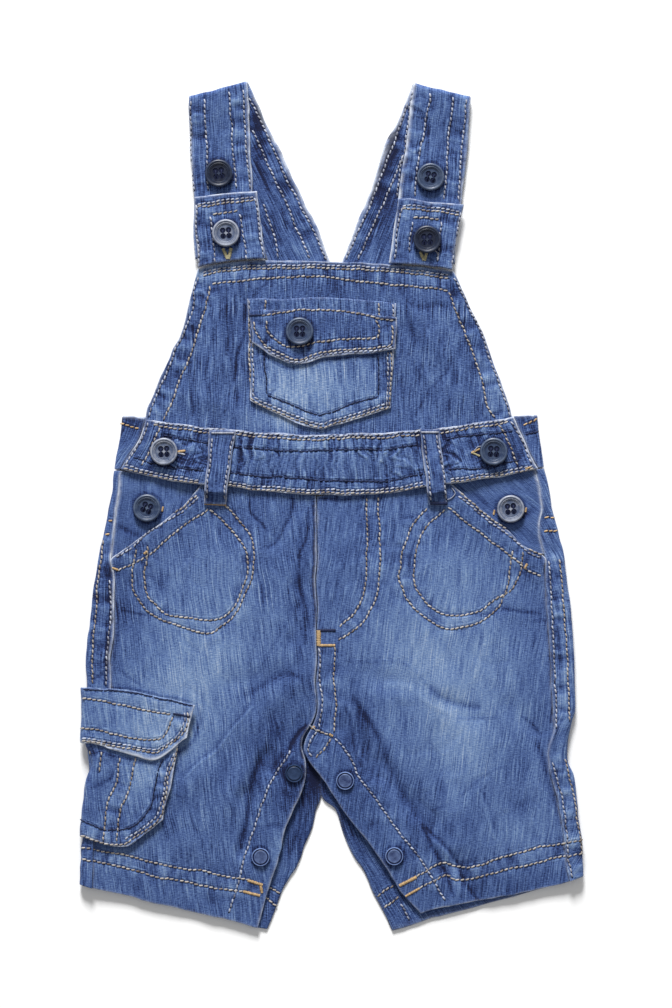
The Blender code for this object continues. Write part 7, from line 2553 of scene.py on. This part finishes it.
class DUNGAREES_OT_waist(bpy.types.Operator):
    """Make the front waistband and its two belt loops"""

    bl_idname = "dungarees.waist"
    bl_label = "Waistband"

    def execute(self, context):
        step = cloth_step(context)
        grid, edges = patch(BAND_TOP, BAND_RIGHT, BAND_BOTTOM, BAND_LEFT, step * 0.55)
        sew_up("front_waistband", flat_panel(grid, edges, pleated_band_base, BAND))
        for side in ("left", "right"):
            sew_up("belt_loop_" + side, belt_loop(side, step * 0.8))
        return {"FINISHED"}


class DUNGAREES_OT_straps(bpy.types.Operator):
    """Make the shoulder straps and the tabs that button on to them"""

    bl_idname = "dungarees.straps"
    bl_label = "Straps"

    def execute(self, context):
        step = cloth_step(context)
        for side in ("left", "right"):
            sew_up("strap_" + side, strap(side, step * 0.9))
            sew_up("strap_tab_" + side, strap_tab(side, step * 0.8))
        return {"FINISHED"}


class DUNGAREES_OT_cargo(bpy.types.Operator):
    """Make the cargo pocket on the left leg and its flap"""

    bl_idname = "dungarees.cargo"
    bl_label = "Cargo pocket"

    def execute(self, context):
        step = cloth_step(context, 0.85)
        pocket = curled_pocket(CARGO_TOP, CARGO_RIGHT, CARGO_BOTTOM, GAP, step)
        sew_up("cargo_pocket", pocket.lean(-8.0))
        flap = curled_pocket(CARGO_FLAP_TOP, CARGO_FLAP_RIGHT, CARGO_FLAP_BOTTOM,
                             2 * GAP + DENIM, step)
        sew_up("cargo_pocket_flap", flap.lean(-8.0))
        return {"FINISHED"}


class DUNGAREES_OT_stitching(bpy.types.Operator):
    """Sew the rows of stitches, the bar tacks and the loose ends of thread"""

    bl_idname = "dungarees.stitching"
    bl_label = "Stitching"

    def execute(self, context):
        trees = {name: cloth_tree(name) for name in CLOTH_LOOKS}
        works = {name: Threadwork(name, tree) for name, tree in trees.items()}
        for name, work in works.items():
            lay_ribbons(name, trees[name])
            for thread, path in row_paths(name):
                work.row(settled_path(path), thread)
        for bar in BAR_TACKS:
            name = nearest_piece(bar[1], bar[2], trees)
            if name:
                works[name].bar(*bar)
        for line in LOOSE_THREADS:
            path = along(line, np.linspace(0, 1, 16))
            name = nearest_piece(path[8][0], path[8][1], trees)
            if not name:
                continue
            levels = [drop(trees[name], x, y) for x, y in path]
            known = [level for level in levels if level is not None]
            levels = [max(known) if level is None else level for level in levels]
            points = [(x, y, z + LOOSE_LIFT) for (x, y), z in zip(path, levels)]
            points, faces = tube(points, LOOSE_RADIUS)
            works[name].add(points, faces, np.full(len(points), 0.6), "cream")
        for work in works.values():
            work.finish()
        backs = {name: trees[name] for name in ("back_leg_left", "back_leg_right",
                                                "back_waistband", "back_bib")}
        for name, tree in backs.items():
            work = Threadwork(name + "_underside", tree, side=-1)
            for thread, path in back_row_paths():
                for part in split_by_piece(settled_path(path), name, backs):
                    work.row(part, thread)
            work.finish()
        return {"FINISHED"}


def split_by_piece(path, name, trees):
    """Stretches of a path where the piece is the first one seen from below."""
    stretches, now = [], []
    for x, y in path:
        if nearest_piece(x, y, trees, -1) == name:
            now.append((x, y))
        else:
            if len(now) > 1:
                stretches.append(np.array(now))
            now = []
    if len(now) > 1:
        stretches.append(np.array(now))
    return stretches


class DUNGAREES_OT_fasteners(bpy.types.Operator):
    """Put on the buttons, sewn through their holes, and the press studs"""

    bl_idname = "dungarees.fasteners"
    bl_label = "Buttons and press studs"

    def execute(self, context):
        mesh = button_body("button_template")
        for node, (finish, degrees) in FINISHED_BUTTONS.items():
            base, rubbed_and_lit = BUTTON_PLASTICS[finish]
            mesh.materials.clear()
            mesh.materials.append(hard_material("button_" + finish, base, rubbed_and_lit))
            turn = math.radians(degrees)
            # Painted highlights on each button: light rings on its rim and ridges, and a lighter middle.
            put_fastener(node, mesh, "_moulded", turn,
                         lambda r: (0.45 * bell(r - 7.0, 0.5) + 0.4 * bell(r - 5.6, 0.2)
                                    + 0.2 * bell(r - 5.0, 0.2) + 0.4 * bell(r, 2.2)))
            self.sew_on(context, node, turn)
        stud = mesh_from(turned(SNAP_PROFILE, 40), "stud_template", 50.0)
        for node, finish in SNAPS.items():
            base, rubbed_and_lit = STUD_PAINT[finish]
            ring = 0.0 if finish == "plain" else 1.0
            stud.materials.clear()
            stud.materials.append(hard_material("stud_paint_" + finish, base, rubbed_and_lit))
            # Painted highlight on a ringed stud's raised ring and inner ridge, and painted shade in the
            # groove between.
            put_fastener(node, stud, "_pressed", 0.0,
                         lambda r: 0.2 + ring * (0.9 * bell(r - 4.7, 0.22) - 0.5 * bell(r - 4.05, 0.3)
                                                  + 0.25 * bell(r - 3.4, 0.3)))
        return {"FINISHED"}

    def sew_on(self, context, node, turn):
        """Dark discs deep in a button's holes, and the threads that run side by side between them."""
        settings = context.scene.dungarees_buttons
        low, high = box_mm(node)
        half, plug = settings.hole_spacing / MM / 2, 0.49 * settings.hole_size / MM
        level = low[2] + BUTTON_FLOOR + 0.2
        work = Threadwork(node, None)
        middle = (low + high) / 2

        def on_button(x, y, z):
            x, y = spun(x, y, turn)
            return np.stack([x + middle[0], y + middle[1], z], axis=-1)

        # Dark discs deep in each hole, for the thread that fills it, coloured as painted shade.
        a = np.arange(12) * math.pi / 6
        for x0, y0 in hole_places(settings):
            x = np.append(x0 + plug * np.cos(a), x0)
            y = np.append(y0 + plug * np.sin(a), y0)
            work.add(on_button(x, y, np.full(13, level - 0.5)),
                     np.array([(k, (k + 1) % 12, 12, 12) for k in range(12)]), np.zeros(13), "hole")
        u = np.linspace(-1.1, 1.1, 11)
        arch = level + 0.3 * np.sqrt(np.clip(1 - u**2, 0, 1)) - 0.9 * (abs(u) > 1)
        for side in (-1, 1):
            points, faces = tube(on_button(side * half + 0.1 * u, half * u, arch), BUTTON_THREAD)
            work.add(points, faces, np.full(len(points), 0.5), "navy")
        work.finish()


class DUNGAREES_PT_panel(bpy.types.Panel):
    """Lists the steps that make the dungarees"""

    bl_idname = "DUNGAREES_PT_panel"
    bl_label = "Dungarees"
    bl_space_type = "VIEW_3D"
    bl_region_type = "UI"
    bl_category = "Dungarees"

    def draw(self, context):
        for name in SETTINGS:
            settings = getattr(context.scene, name)
            box = self.layout.box()
            for key in settings.__annotations__:
                box.prop(settings, key)
        for operator in OPERATORS:
            self.layout.operator(operator.bl_idname)


SETTINGS = {
    "dungarees_denim": DenimSettings,
    "dungarees_buttons": ButtonSettings,
    "dungarees_studio": StudioSettings,
}
OPERATORS = (DUNGAREES_OT_studio, DUNGAREES_OT_backs, DUNGAREES_OT_fronts, DUNGAREES_OT_bib,
             DUNGAREES_OT_waist, DUNGAREES_OT_straps, DUNGAREES_OT_cargo,
             DUNGAREES_OT_stitching, DUNGAREES_OT_fasteners)


def register():
    for kind in (*SETTINGS.values(), *OPERATORS, DUNGAREES_PT_panel):
        bpy.utils.register_class(kind)
    for name, kind in SETTINGS.items():
        setattr(bpy.types.Scene, name, bpy.props.PointerProperty(type=kind))


def unregister():
    for name in SETTINGS:
        delattr(bpy.types.Scene, name)
    for kind in (DUNGAREES_PT_panel, *reversed(OPERATORS), *SETTINGS.values()):
        bpy.utils.unregister_class(kind)


def main():
    register()
    bpy.ops.dungarees.studio()
    bpy.ops.dungarees.backs()
    bpy.ops.dungarees.fronts()
    bpy.ops.dungarees.bib()
    bpy.ops.dungarees.waist()
    bpy.ops.dungarees.straps()
    bpy.ops.dungarees.cargo()
    bpy.ops.dungarees.stitching()
    bpy.ops.dungarees.fasteners()


if __name__ == "__main__":
    main()
